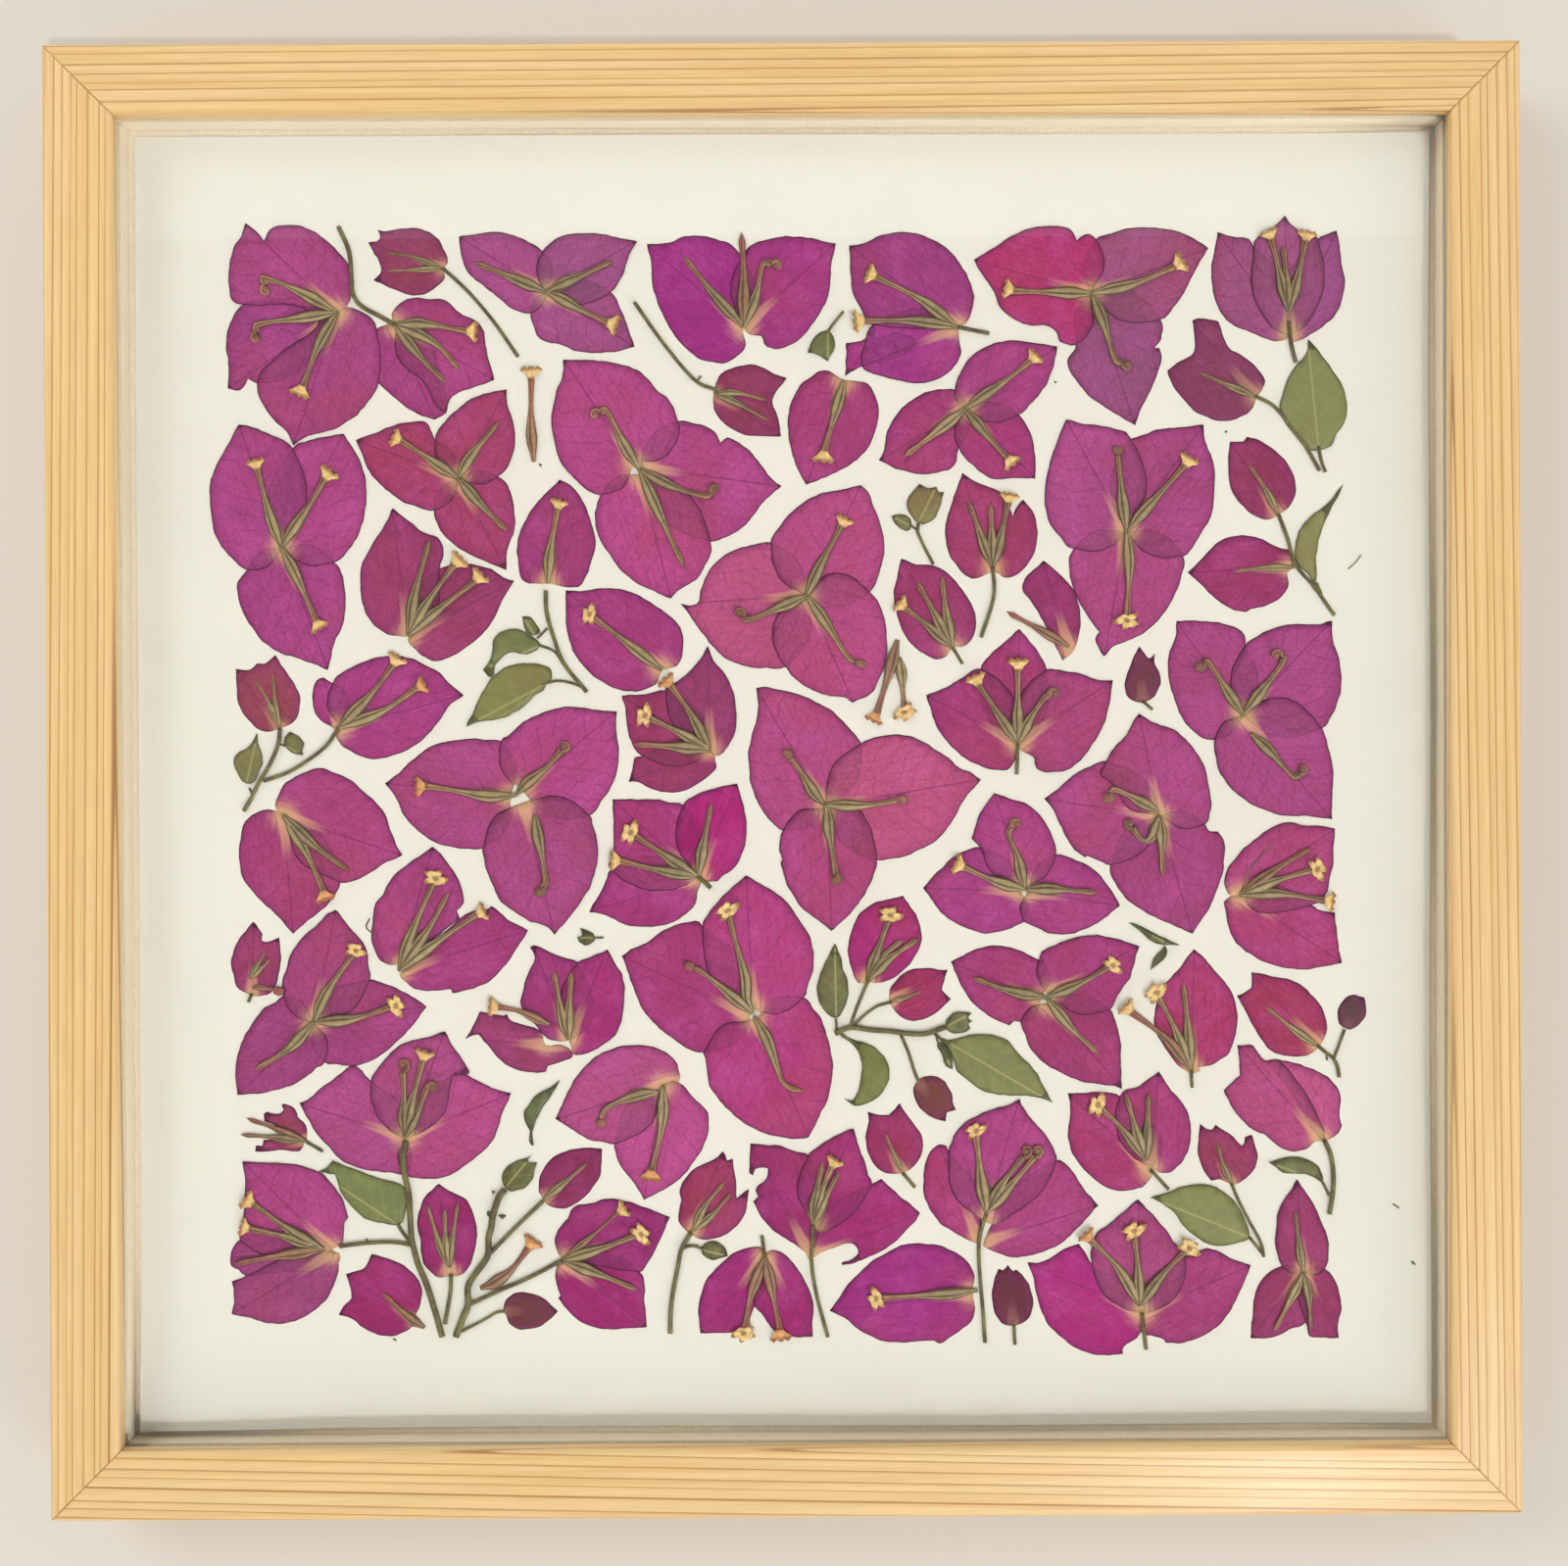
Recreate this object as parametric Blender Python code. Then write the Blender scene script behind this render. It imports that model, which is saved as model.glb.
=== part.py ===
"""A pressed flower frame: bracts pressed on a sheet of paper, in a mitred pine box frame under glass.

Metres, +Z up. The frame lies on its back, face up. The origin is the middle of its back, on the
surface that it lies on, and +Y is the top edge of the picture. It is built back to front in layers:
back board, mount board, paper, flowers, spacers and glass, all held in the rabbet of four pine rails.
"""

import math

import bmesh
import bpy
from mathutils import Matrix, Vector
from mathutils.geometry import delaunay_2d_cdt

MM = 0.001
GAP = 0.3 * MM  # between pieces that touch

# The frame.
OUTER = 340 * MM  # side of the square
DEPTH = 24 * MM
FACE = 16 * MM  # width of a rail seen from the front
WALL = 9 * MM  # thickness of a rail behind the rabbet
LIP = 4 * MM  # thickness of the lip in front of the glass
FACE_ROUND = 1.0 * MM
BACK_ROUND = 0.6 * MM
ARC_STEPS = 3
INSIDE = OUTER / 2 - WALL - 0.5 * MM  # half the side of what sits in the rabbet
SIGHT = OUTER / 2 - FACE  # half the side of the opening

# The layers, from the glass back. Each constant is the height of the layer's back.
GLASS = 2 * MM
GLASS_BACK = DEPTH - LIP - GAP - GLASS
SPACER = 5.5 * MM
SPACER_BACK = GLASS_BACK - GAP - SPACER
MOUNT = 1.7 * MM
MOUNT_BACK = SPACER_BACK - GAP - MOUNT
BOARD = 3 * MM
BOARD_BACK = MOUNT_BACK - GAP - BOARD
PAPER = 0.3 * MM
PAPER_SIDE = 304.8 * MM  # a 12 inch sheet
FLOWER = 0.5 * MM  # thickness of a pressed flower
FLOWER_BACK = SPACER_BACK + PAPER + GAP

# The steel points that hold the back in: flat tabs pushed into the rails.
POINT = 0.8 * MM
POINT_WIDTH = 8 * MM
POINT_LENGTH = 15 * MM
POINT_BITE = 4 * MM  # how far a point goes into the wood
POINT_PLACE = 85 * MM  # from the middle of a rail to each of its two points
POINT_BACK = BOARD_BACK - GAP - POINT

# The saw-tooth hanger on the back board.
HANGER_PLACE = 128 * MM  # its middle, towards the top edge
HANGER_LENGTH = 46 * MM
HANGER_WIDTH = 11 * MM
HANGER = 1 * MM
HANGER_BACK = BOARD_BACK - GAP - HANGER
TEETH = 9
TOOTH = 1.6 * MM
SCREW_PLACE = 18.5 * MM
SCREW_HOLE = 1.7 * MM
SHANK = 1.3 * MM
HEAD = 3.2 * MM
HEAD_HEIGHT = 1.2 * MM
SCREW_DEPTH = 1.5 * MM  # how far the shank goes into the board

# The layout of the flowers, in millimetres on the sheet before it is fitted to the frame.
LAYOUT_SCALE = 1.027
LAYOUT_TURN = math.radians(-0.24)
LAYOUT_SHIFT = Vector((0.07, -0.32))
BRACT_TRIM = 0.9  # share of a bract's width that its plain solid takes
BASE_REACH = 0.08  # how far a bract's rounded base runs past its stalk, as a share of its length
WIDEST = 0.37  # where a bract is widest, as a share of its length
BRACT_STEPS = 6

# Each flower: the point that its bracts grow from, and each bract's tip and width.
FLOWERS = {
    "flower_01": ((-102.6, 107.8), ((-123.8, 128.3, 22), (-127.8, 90.5, 20), (-112.8, 77.4, 26))),
    "flower_02": ((-89.6, 105.1), ((-66.6, 92.4, 19), (-80.4, 83.3, 15))),
    "flower_03": ((-54.7, 112.6), ((-74.8, 125.3, 14), (-33.9, 124.3, 15), (-34.5, 100.1, 14))),
    "flower_04": ((-9.4, 104.6), ((-31.7, 123.6, 22), (11.7, 123.8, 22))),
    "flower_05": ((-33.4, 71.9), ((-50.8, 97.1, 26), (-0.8, 68.1, 26), (-26.2, 42.3, 24))),
    "flower_06": ((39.7, 104.6), ((14.8, 123.3, 21), (13.9, 95.4, 10))),
    "flower_07": ((41.3, 85.8), ((62.6, 100.1, 15), (21.6, 74.1, 14), (57.6, 69.9, 14))),
    "flower_08": ((70.4, 112.3), ((43.3, 120.1, 20), (97.3, 122.8, 20), (80.5, 82.1, 19))),
    "flower_09": ((115.9, 103), ((99.4, 126.5, 17), (114.8, 130.2, 14), (126.7, 126.8, 17))),
    "flower_10": ((-115.4, 54), ((-125.3, 82.3, 20), (-101.3, 80.1, 20), (-104.9, 25.8, 23))),
    "flower_11": ((-75, 69.9), ((-98.4, 78.7, 16), (-63.8, 90.3, 15), (-64, 48.8, 15))),
    "flower_12": ((-86.5, 33.6), ((-90.1, 63.1, 18), (-62.2, 46.4, 19))),
    "flower_13": ((-17.2, 7.6), ((-17.7, 31.5, 13), (-37.5, 20.1, 14), (-36, 0.2, 9))),
    "flower_14": ((5, 43), ((-23.9, 41.2, 24), (17.5, 68.3, 22), (15.7, 18.5, 22))),
    "flower_15": ((78.5, 57.8), ((64.6, 83.5, 20), (96.2, 82.3, 22), (73.5, 29, 23))),
    "flower_16": ((53.6, 9.1), ((32.6, 20.1, 16), (53.9, 35.4, 16), (75.4, 23.5, 17))),
    "flower_17": ((105.4, 15.6), ((90.1, 37.2, 19), (125.7, 37.2, 20), (125.8, -8.5, 24))),
    "flower_18": ((-115.2, -7.5), ((-87.8, -16.8, 23), (-113.1, -34.7, 24))),
    "flower_19": ((-61.6, -2.7), ((-92, -0.1, 24), (-38.6, 16.5, 23), (-53, -35.1, 25))),
    "flower_20": ((-108.2, -55), ((-103.2, -29.2, 19), (-82.4, -51.4, 17), (-125.9, -71.7, 19))),
    "flower_21": ((-88.7, -43.3), ((-81, -14.7, 18), (-59, -33.9, 19))),
    "flower_22": ((-87.3, -81.5), ((-78.2, -57.2, 18), (-111.6, -73.8, 18), (-63, -71.4, 18))),
    "flower_23": ((-103.7, -107.9), ((-124.7, -87.1, 20), (-127.2, -122.3, 17))),
    "flower_24": ((-51.3, -109.9), ((-26.5, -99.9, 16), (-31.7, -125.4, 17))),
    "flower_25": ((-49.7, -60), ((-73.5, -58.9, 11), (-58.7, -37.5, 14), (-40.8, -38.4, 16))),
    "flower_26": ((-19.9, -21.6), ((-39.7, -3.8, 14), (-10.9, -0.2, 14), (-44.9, -29.7, 13))),
    "flower_27": ((-7.3, -53), ((-8.9, -21.3, 24), (-37.5, -39.8, 24), (5.5, -81.6, 26))),
    "flower_28": ((-28, -69.7), ((-52.8, -77.4, 21), (-32.5, -96, 20))),
    "flower_29": ((6.1, -104), ((-7.8, -83, 17), (15.9, -79.6, 15), (31.2, -99.1, 13))),
    "flower_30": ((9.5, -5.4), ((-6.6, 21.8, 24), (45.1, 0.8, 26), (10.8, -34.1, 22))),
    "flower_31": ((45.5, -104), ((36, -84, 13), (54, -72.8, 19), (72.2, -97.3, 20))),
    "flower_32": ((55.2, -24.5), ((48.2, -2.4, 17), (31.8, -24.2, 16), (77.2, -28.4, 15))),
    "flower_33": ((60.1, -49.4), ((38.1, -41.2, 15), (81.6, -37.5, 15), (77.7, -70.4, 18))),
    "flower_34": ((104.7, -25.8), ((126.6, -10.6, 16), (128.3, -41.5, 17))),
    "flower_35": ((86.1, -7.6), ((81.5, 15.9, 20), (59.7, -3.7, 19), (93.9, -34.9, 23))),
    "flower_36": ((84.3, -89.2), ((65.2, -71.5, 19), (86.1, -66.5, 15))),
    "flower_37": ((82.3, -122.2), ((55.9, -110.6, 17), (81.4, -96, 17), (107.5, -111.2, 18))),
}


def principled(name, colour, roughness, metallic=0.0, transmission=0.0):
    material = bpy.data.materials.new(name)
    material.use_nodes = True
    shader = material.node_tree.nodes["Principled BSDF"]
    shader.inputs["Base Color"].default_value = (*colour, 1.0)
    shader.inputs["Roughness"].default_value = roughness
    shader.inputs["Metallic"].default_value = metallic
    shader.inputs["Transmission Weight"].default_value = transmission
    return material


def object_from(bm, name, material=None, parent=None):
    """Closes the bmesh into a named object with its normals out."""
    bmesh.ops.recalc_face_normals(bm, faces=bm.faces)
    mesh = bpy.data.meshes.new(name)
    bm.to_mesh(mesh)
    bm.free()
    made = bpy.data.objects.new(name, mesh)
    if material:
        mesh.materials.append(material)
    made.parent = parent
    bpy.context.collection.objects.link(made)
    return made


def extruded(outline, back, thickness):
    """A flat plate with this outline, from the height back upwards."""
    bm = bmesh.new()
    face = bm.faces.new([bm.verts.new((x, y, back)) for x, y in outline])
    walls = bmesh.ops.extrude_face_region(bm, geom=[face])
    top = [item for item in walls["geom"] if isinstance(item, bmesh.types.BMVert)]
    bmesh.ops.translate(bm, verts=top, vec=(0, 0, thickness))
    return bm


def slab(name, x_range, y_range, back, thickness, material, parent=None):
    (x0, x1), (y0, y1) = x_range, y_range
    outline = [(x0, y0), (x1, y0), (x1, y1), (x0, y1)]
    return object_from(extruded(outline, back, thickness), name, material, parent)


def cylinder(name, x, y, radius, back, height):
    outline = [
        (x + radius * math.cos(turn), y + radius * math.sin(turn))
        for turn in (step * math.tau / 24 for step in range(24))
    ]
    return object_from(extruded(outline, back, height), name)


def cut(target, cutter):
    cutter.hide_render = True
    cutter.display_type = "WIRE"
    modifier = target.modifiers.new(cutter.name, "BOOLEAN")
    modifier.operation = "DIFFERENCE"
    modifier.object = cutter


def arc(centre, radius, first, last):
    """Points of a rounded corner, from one angle to the other."""
    turns = [first + (last - first) * step / ARC_STEPS for step in range(ARC_STEPS + 1)]
    return [
        (centre[0] + radius * math.cos(turn), centre[1] + radius * math.sin(turn))
        for turn in turns
    ]


def rail_profile():
    """The rail's section: the first number is the distance in from its outer face, the second the height."""
    quarter = math.pi / 2
    profile = arc((BACK_ROUND, BACK_ROUND), BACK_ROUND, 3 * quarter, 2 * quarter)
    profile += arc((FACE_ROUND, DEPTH - FACE_ROUND), FACE_ROUND, 2 * quarter, quarter)
    profile += arc((FACE - FACE_ROUND, DEPTH - FACE_ROUND), FACE_ROUND, quarter, 0)
    profile += [(FACE, DEPTH - LIP), (WALL, DEPTH - LIP), (WALL, 0)]
    return profile


def make_rail(name, side, material):
    """One rail along the side's own X, mitred at both ends."""
    bm = bmesh.new()
    profile = rail_profile()
    mitre_gap = GAP / 2 * math.sqrt(2)
    rings = []
    for end in (-1, 1):
        ring = []
        for inward, height in profile:
            along = end * (OUTER / 2 - inward - mitre_gap)
            ring.append(bm.verts.new((along, inward - OUTER / 2, height)))
        rings.append(ring)
    for index in range(len(profile)):
        after = (index + 1) % len(profile)
        bm.faces.new((rings[0][index], rings[0][after], rings[1][after], rings[1][index]))
    for ring in rings:
        bm.faces.new(ring)
    rail = object_from(bm, name, material, side)
    for place in (-POINT_PLACE, POINT_PLACE):
        half = POINT_WIDTH / 2 + GAP
        wall_face = WALL - OUTER / 2
        slot = slab(
            f"{name}_slot",
            (place - half, place + half),
            (wall_face - POINT_BITE - GAP, wall_face + 1 * MM),
            POINT_BACK - GAP,
            POINT + 2 * GAP,
            None,
            side,
        )
        cut(rail, slot)


def make_points(first_number, side, material):
    """The two steel points of one side, each with its sharp end in the wood."""
    wall_face = WALL - OUTER / 2
    tip = wall_face - POINT_BITE
    shoulder = tip + POINT_WIDTH / 3
    inner = tip + POINT_LENGTH
    half = POINT_WIDTH / 2
    for number, place in ((first_number, -POINT_PLACE), (first_number + 1, POINT_PLACE)):
        outline = [
            (place - half / 2, tip),
            (place + half / 2, tip),
            (place + half, shoulder),
            (place + half, inner),
            (place - half, inner),
            (place - half, shoulder),
        ]
        object_from(extruded(outline, POINT_BACK, POINT), f"point_{number}", material, side)


def make_spacers(material):
    """Four strips that hold the glass off the flowers, flush with the opening."""
    across = (-INSIDE, INSIDE)
    between = (GAP - SIGHT, SIGHT - GAP)
    strips = {
        "spacer_bottom": (across, (-INSIDE, -SIGHT)),
        "spacer_top": (across, (SIGHT, INSIDE)),
        "spacer_left": ((-INSIDE, -SIGHT), between),
        "spacer_right": ((SIGHT, INSIDE), between),
    }
    for name, (x_range, y_range) in strips.items():
        slab(name, x_range, y_range, SPACER_BACK, SPACER, material)


def make_hanger(board, material):
    """A saw-tooth bar held to the back board by two screws."""
    half_length, half_width = HANGER_LENGTH / 2, HANGER_WIDTH / 2
    pitch = 2 * TOOTH
    first_tooth = -TEETH * pitch / 2
    outline = [(-half_length, half_width), (-half_length, -half_width)]
    for tooth in range(TEETH):
        left = first_tooth + tooth * pitch
        outline += [(left, -half_width), (left + pitch / 2, -half_width + TOOTH)]
    outline += [(-first_tooth, -half_width), (half_length, -half_width), (half_length, half_width)]
    outline = [(x, y + HANGER_PLACE) for x, y in outline]
    hanger = object_from(extruded(outline, HANGER_BACK, HANGER), "hanger", material)
    for side, x in (("left", -SCREW_PLACE), ("right", SCREW_PLACE)):
        hole = cylinder(f"hole_{side}", x, HANGER_PLACE, SCREW_HOLE, HANGER_BACK - MM, HANGER + 2 * MM)
        cut(hanger, hole)
        blind_top = BOARD_BACK + SCREW_DEPTH + GAP
        blind = cylinder(f"blind_{side}", x, HANGER_PLACE, SCREW_HOLE, BOARD_BACK - MM, blind_top - BOARD_BACK + MM)
        cut(board, blind)
        make_screw(f"hanger_screw_{side}", x, material)


def make_screw(name, x, material):
    """A round head under the hanger and a plain shank up into the board."""
    head_top = HANGER_BACK - GAP
    profile = [
        (0, head_top - HEAD_HEIGHT),
        (HEAD * 0.7, head_top - HEAD_HEIGHT),
        (HEAD, head_top - HEAD_HEIGHT * 0.5),
        (HEAD, head_top),
        (SHANK, head_top),
        (SHANK, BOARD_BACK + SCREW_DEPTH * 0.7),
        (0, BOARD_BACK + SCREW_DEPTH),
    ]
    bm = bmesh.new()
    verts = [bm.verts.new((radius, 0, height)) for radius, height in profile]
    edges = [bm.edges.new(pair) for pair in zip(verts, verts[1:])]
    bmesh.ops.spin(
        bm, geom=verts + edges, axis=(0, 0, 1), cent=(0, 0, 0), steps=16, angle=math.tau, use_merge=True
    )
    bmesh.ops.remove_doubles(bm, verts=bm.verts, dist=0.001 * MM)
    screw = object_from(bm, name, material)
    screw.location = (x, HANGER_PLACE, 0)


def on_sheet(x, y):
    """A place in the layout, as a place on the sheet in metres."""
    turned = Matrix.Rotation(LAYOUT_TURN, 2) @ Vector((x, y)) * LAYOUT_SCALE
    return (turned + LAYOUT_SHIFT) * MM


def bract_outline(base, tip, width):
    """An egg-shaped outline from a rounded base to a pointed tip."""
    run = tip - base
    start = base - run * BASE_REACH
    run = tip - start
    across = Vector((-run.y, run.x)).normalized()
    left, right = [], []
    for step in range(1, BRACT_STEPS):
        along = (1 - math.cos(math.pi * step / BRACT_STEPS)) / 2
        rise = (along / WIDEST) ** 0.45
        fall = ((1 - along) / (1 - WIDEST)) ** 0.77
        reach = across * width * BRACT_TRIM / 2 * rise * fall
        left.append(start + run * along + reach)
        right.append(start + run * along - reach)
    return [start, *right, tip, *reversed(left)]


def make_flower(name, base, bracts, material):
    """One pressed flower as a plain plate: its bracts' outlines, joined where they lie over each other."""
    points, faces = [], []
    for x, y, width in bracts:
        outline = bract_outline(on_sheet(*base), on_sheet(x, y), width * LAYOUT_SCALE * MM)
        faces.append(list(range(len(points), len(points) + len(outline))))
        points += outline
    inside_only = 1
    joined = delaunay_2d_cdt(points, [], faces, inside_only, 1e-7)
    bm = bmesh.new()
    verts = [bm.verts.new((x, y, FLOWER_BACK)) for x, y in joined[0]]
    for face in joined[2]:
        bm.faces.new([verts[index] for index in face])
    bmesh.ops.dissolve_limit(bm, angle_limit=0.02, verts=bm.verts, edges=bm.edges)
    walls = bmesh.ops.extrude_face_region(bm, geom=bm.faces[:])
    top = [item for item in walls["geom"] if isinstance(item, bmesh.types.BMVert)]
    bmesh.ops.translate(bm, verts=top, vec=(0, 0, FLOWER))
    object_from(bm, name, material)


for old in list(bpy.data.objects):
    bpy.data.objects.remove(old)

pine = principled("lacquered pine", (0.69, 0.46, 0.22), 0.4)
glass = principled("picture glass", (1.0, 1.0, 1.0), 0.02, transmission=1.0)
card = principled("white card", (0.82, 0.79, 0.73), 0.8)
paper = principled("cream paper", (0.86, 0.83, 0.76), 0.9)
hardboard = principled("hardboard", (0.22, 0.12, 0.06), 0.7)
steel = principled("zinc plated steel", (0.6, 0.6, 0.58), 0.35, metallic=1.0)
petal = principled("pressed bract", (0.36, 0.05, 0.2), 0.6)

for number, side_name in enumerate(("bottom", "right", "top", "left")):
    side = bpy.data.objects.new(f"side_{side_name}", None)
    side.rotation_euler.z = number * math.pi / 2
    bpy.context.collection.objects.link(side)
    make_rail(f"rail_{side_name}", side, pine)
    make_points(2 * number + 1, side, steel)

full = (-INSIDE, INSIDE)
half_sheet = (-PAPER_SIDE / 2, PAPER_SIDE / 2)
slab("glass_pane", full, full, GLASS_BACK, GLASS, glass)
make_spacers(card)
slab("mount_board", full, full, MOUNT_BACK, MOUNT, card)
slab("art_sheet", half_sheet, half_sheet, SPACER_BACK, PAPER, paper)
back_board = slab("back_board", full, full, BOARD_BACK, BOARD, hardboard)
make_hanger(back_board, steel)
for flower_name, (grows_from, its_bracts) in FLOWERS.items():
    make_flower(flower_name, grows_from, its_bracts, petal)
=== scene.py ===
import math
import random

import bmesh
import bpy
import numpy as np
from mathutils import Matrix, Vector, noise
from mathutils.geometry import delaunay_2d_cdt


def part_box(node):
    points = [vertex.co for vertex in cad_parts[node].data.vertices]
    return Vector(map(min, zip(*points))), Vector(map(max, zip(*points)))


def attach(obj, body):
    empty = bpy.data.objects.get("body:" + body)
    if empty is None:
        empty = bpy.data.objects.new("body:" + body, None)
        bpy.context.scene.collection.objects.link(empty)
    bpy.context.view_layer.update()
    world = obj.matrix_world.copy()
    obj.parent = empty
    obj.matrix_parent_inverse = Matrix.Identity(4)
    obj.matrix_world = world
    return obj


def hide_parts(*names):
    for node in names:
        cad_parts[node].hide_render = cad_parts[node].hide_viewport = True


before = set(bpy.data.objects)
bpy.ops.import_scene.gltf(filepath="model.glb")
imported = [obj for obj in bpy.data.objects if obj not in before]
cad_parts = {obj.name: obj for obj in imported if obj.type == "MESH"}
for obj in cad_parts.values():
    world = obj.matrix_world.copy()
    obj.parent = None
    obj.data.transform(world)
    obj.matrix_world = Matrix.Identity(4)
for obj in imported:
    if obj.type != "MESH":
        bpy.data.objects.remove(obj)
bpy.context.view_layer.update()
mm = 0.001
noise.seed_set(1)  # unseeded, the noise vectors start from the clock and every run differs


def linear(hexCode):
    channels = [int(hexCode[place:place + 2], 16) / 255 for place in (0, 2, 4)]
    curved = [c / 12.92 if c <= 0.04045 else ((c + 0.055) / 1.055) ** 2.4 for c in channels]
    return (*curved, 1.0)


def newMaterial(name):
    material = bpy.data.materials.new(name)
    material.use_nodes = True
    material.node_tree.nodes.clear()
    return material


# Adds one node, sets it up and links it, and gives back its outputs. A socket can be a name or a number.
def addNode(material, kind, settings=None, inputs=None):
    node = material.node_tree.nodes.new("ShaderNode" + kind)
    for name, value in (settings or {}).items():
        setattr(node, name, value)
    for socket, value in (inputs or {}).items():
        if isinstance(value, bpy.types.NodeSocket):
            material.node_tree.links.new(value, node.inputs[socket])
        else:
            node.inputs[socket].default_value = value
    return node.outputs


# Washes a second colour over the first where a value runs from low to high, with the share of it at each end.
def washOver(material, colour, value, low, high, shareLow, shareHigh, over):
    share = addNode(
        material, "MapRange", {"interpolation_type": "SMOOTHSTEP"},
        {"Value": value, "From Min": low, "From Max": high, "To Min": shareLow, "To Max": shareHigh},
    )[0]
    over = linear(over) if isinstance(over, str) else over
    return addNode(material, "Mix", {"data_type": "RGBA"}, {0: share, 6: colour, 7: over})[2]


# Lightens and darkens a colour by a noise value.
def mottle(material, colour, value, darkest, lightest):
    shade = addNode(
        material,
        "MapRange",
        {},
        {"Value": value, "From Min": 0.3, "From Max": 0.7, "To Min": darkest, "To Max": lightest},
    )[0]
    return addNode(material, "VectorMath", {"operation": "SCALE"}, {0: colour, "Scale": shade})[0]


# Ends a material with its relief and its skin.
def closeMaterial(material, colour, height, strength, depth, skin):
    relief = addNode(material, "Bump", {}, {"Height": height, "Strength": strength, "Distance": depth})[0]
    surface = addNode(material, "BsdfPrincipled", {}, {"Base Color": colour, "Normal": relief, **skin})
    addNode(material, "OutputMaterial", {}, {"Surface": surface["BSDF"]})


print("camera and light")

cameraSettings = {
    "height": 444 * mm,  # above the surface that the frame lies on
    "place": (-1.4 * mm, 2.35 * mm),  # a little towards the top left
    "aim": (-0.16 * mm, -0.30 * mm),
    "roll": -0.24,  # degrees
    "lens": 41.9,
}
eye = Vector((*cameraSettings["place"], cameraSettings["height"]))
back = (eye - Vector((*cameraSettings["aim"], 24 * mm))).normalized()
side = Vector((0, 1, 0)).cross(back).normalized()
cameraData = bpy.data.cameras.new("camera")
cameraData.lens = cameraSettings["lens"]
cameraData.clip_start = 0.01
camera = bpy.data.objects.new("camera", cameraData)
bpy.context.collection.objects.link(camera)
facing = Matrix((side, back.cross(side), back)).transposed()
camera.matrix_world = (
    Matrix.Translation(eye) @ facing.to_4x4() @ Matrix.Rotation(math.radians(cameraSettings["roll"]), 4, "Z")
)
bpy.context.scene.camera = camera
bpy.context.scene.view_settings.view_transform = "Standard"

lampSettings = {
    "key": {
        "place": (1.8, -2.62, 6.0), "size": (0.3, 0.3), "watts": 90.0, "colour": "fffcf8", "mirrored": True
    },
    "side": {
        "place": (1.9, -2.0, 1.2), "size": (1.0, 1.0), "watts": 13.0, "colour": "fffbf5", "mirrored": False
    },
    "soft": {
        "place": (-1.45, 0.95, 1.5), "size": (1.0, 1.0), "watts": 11.0, "colour": "fffbf5", "mirrored": False
    },
    # a faint pale band on the glass
    "window": {
        "place": (0, 0.66, 1.25), "size": (1.5, 0.34), "watts": 0.5, "colour": "f6f8ff", "mirrored": True
    },
}
for lampName, lamp in lampSettings.items():
    lampData = bpy.data.lights.new(lampName, "AREA")
    lampData.shape = "RECTANGLE"
    lampData.size, lampData.size_y = lamp["size"]
    lampData.energy = lamp["watts"]
    lampData.color = linear(lamp["colour"])[:3]
    lampObject = bpy.data.objects.new(lampName, lampData)
    lampObject.matrix_world = (
        Matrix.Translation(lamp["place"])
        @ (-Vector(lamp["place"])).to_track_quat("-Z", "Y").to_matrix().to_4x4()
    )
    lampObject.visible_glossy = lamp["mirrored"]  # without it, a broad lamp's image in the glass is fainter
    bpy.context.collection.objects.link(lampObject)

roomSettings = {
    "colour": "fffaf4",
    "walls": 0.82,
    "ceiling": 0.14,  # dark, which keeps the glass clear
    "wallTop": 0.72,  # where the walls end and the ceiling starts, as the height in the world's map
    "ceilingEdge": 0.9,
}
world = bpy.data.worlds.new("studio")
world.use_nodes = True
bpy.context.scene.world = world
upward = addNode(world, "SeparateXYZ", {}, {0: addNode(world, "TexCoord")["Generated"]})["Z"]
glow = addNode(world, "MapRange", {"interpolation_type": "SMOOTHSTEP"}, {
    "Value": upward, "From Min": roomSettings["wallTop"], "From Max": roomSettings["ceilingEdge"],
    "To Min": roomSettings["walls"], "To Max": roomSettings["ceiling"],
})[0]
background = world.node_tree.nodes["Background"]
background.inputs["Color"].default_value = linear(roomSettings["colour"])
world.node_tree.links.new(glow, background.inputs["Strength"])


print("floor")

floorSettings = {"size": 4.0, "drop": 0.3 * mm, "colour": "e9e6e0"}
bpy.ops.object.select_all(action="DESELECT")
bpy.ops.mesh.primitive_grid_add(x_subdivisions=2, y_subdivisions=2, size=floorSettings["size"])
floor = bpy.context.active_object
floor.name = "floor"
for corner in floor.data.vertices:
    corner.co.z = -floorSettings["drop"]
tableTop = newMaterial("matt painted table")  # a plain pale surface with no pattern of its own
painted = addNode(
    tableTop, "BsdfPrincipled", {}, {"Base Color": linear(floorSettings["colour"]), "Roughness": 0.8}
)
addNode(tableTop, "OutputMaterial", {}, {"Surface": painted["BSDF"]})
floor.data.materials.append(tableTop)


print("frame, glass and backing")

pineSettings = {
    "ring": 1.75 * mm,  # one year's growth
    "wobble": 2.8 * mm,  # how far the rings wander along a rail
    "early": "fbdb9f",
    "late": "b07d42",
    "warm": "ecbb78",
    "pith": {  # from the middle of the rail to the middle of the tree, across the rail and down
        "rail_bottom": (-64 * mm, -38 * mm),
        "rail_right": (58 * mm, -30 * mm),
        "rail_top": (71 * mm, -44 * mm),
        "rail_left": (-55 * mm, -36 * mm),
    },
    # of the rings along the rail
    "slope": {"rail_bottom": 0.02, "rail_right": -0.012, "rail_top": -0.008, "rail_left": 0.01},
}


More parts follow.
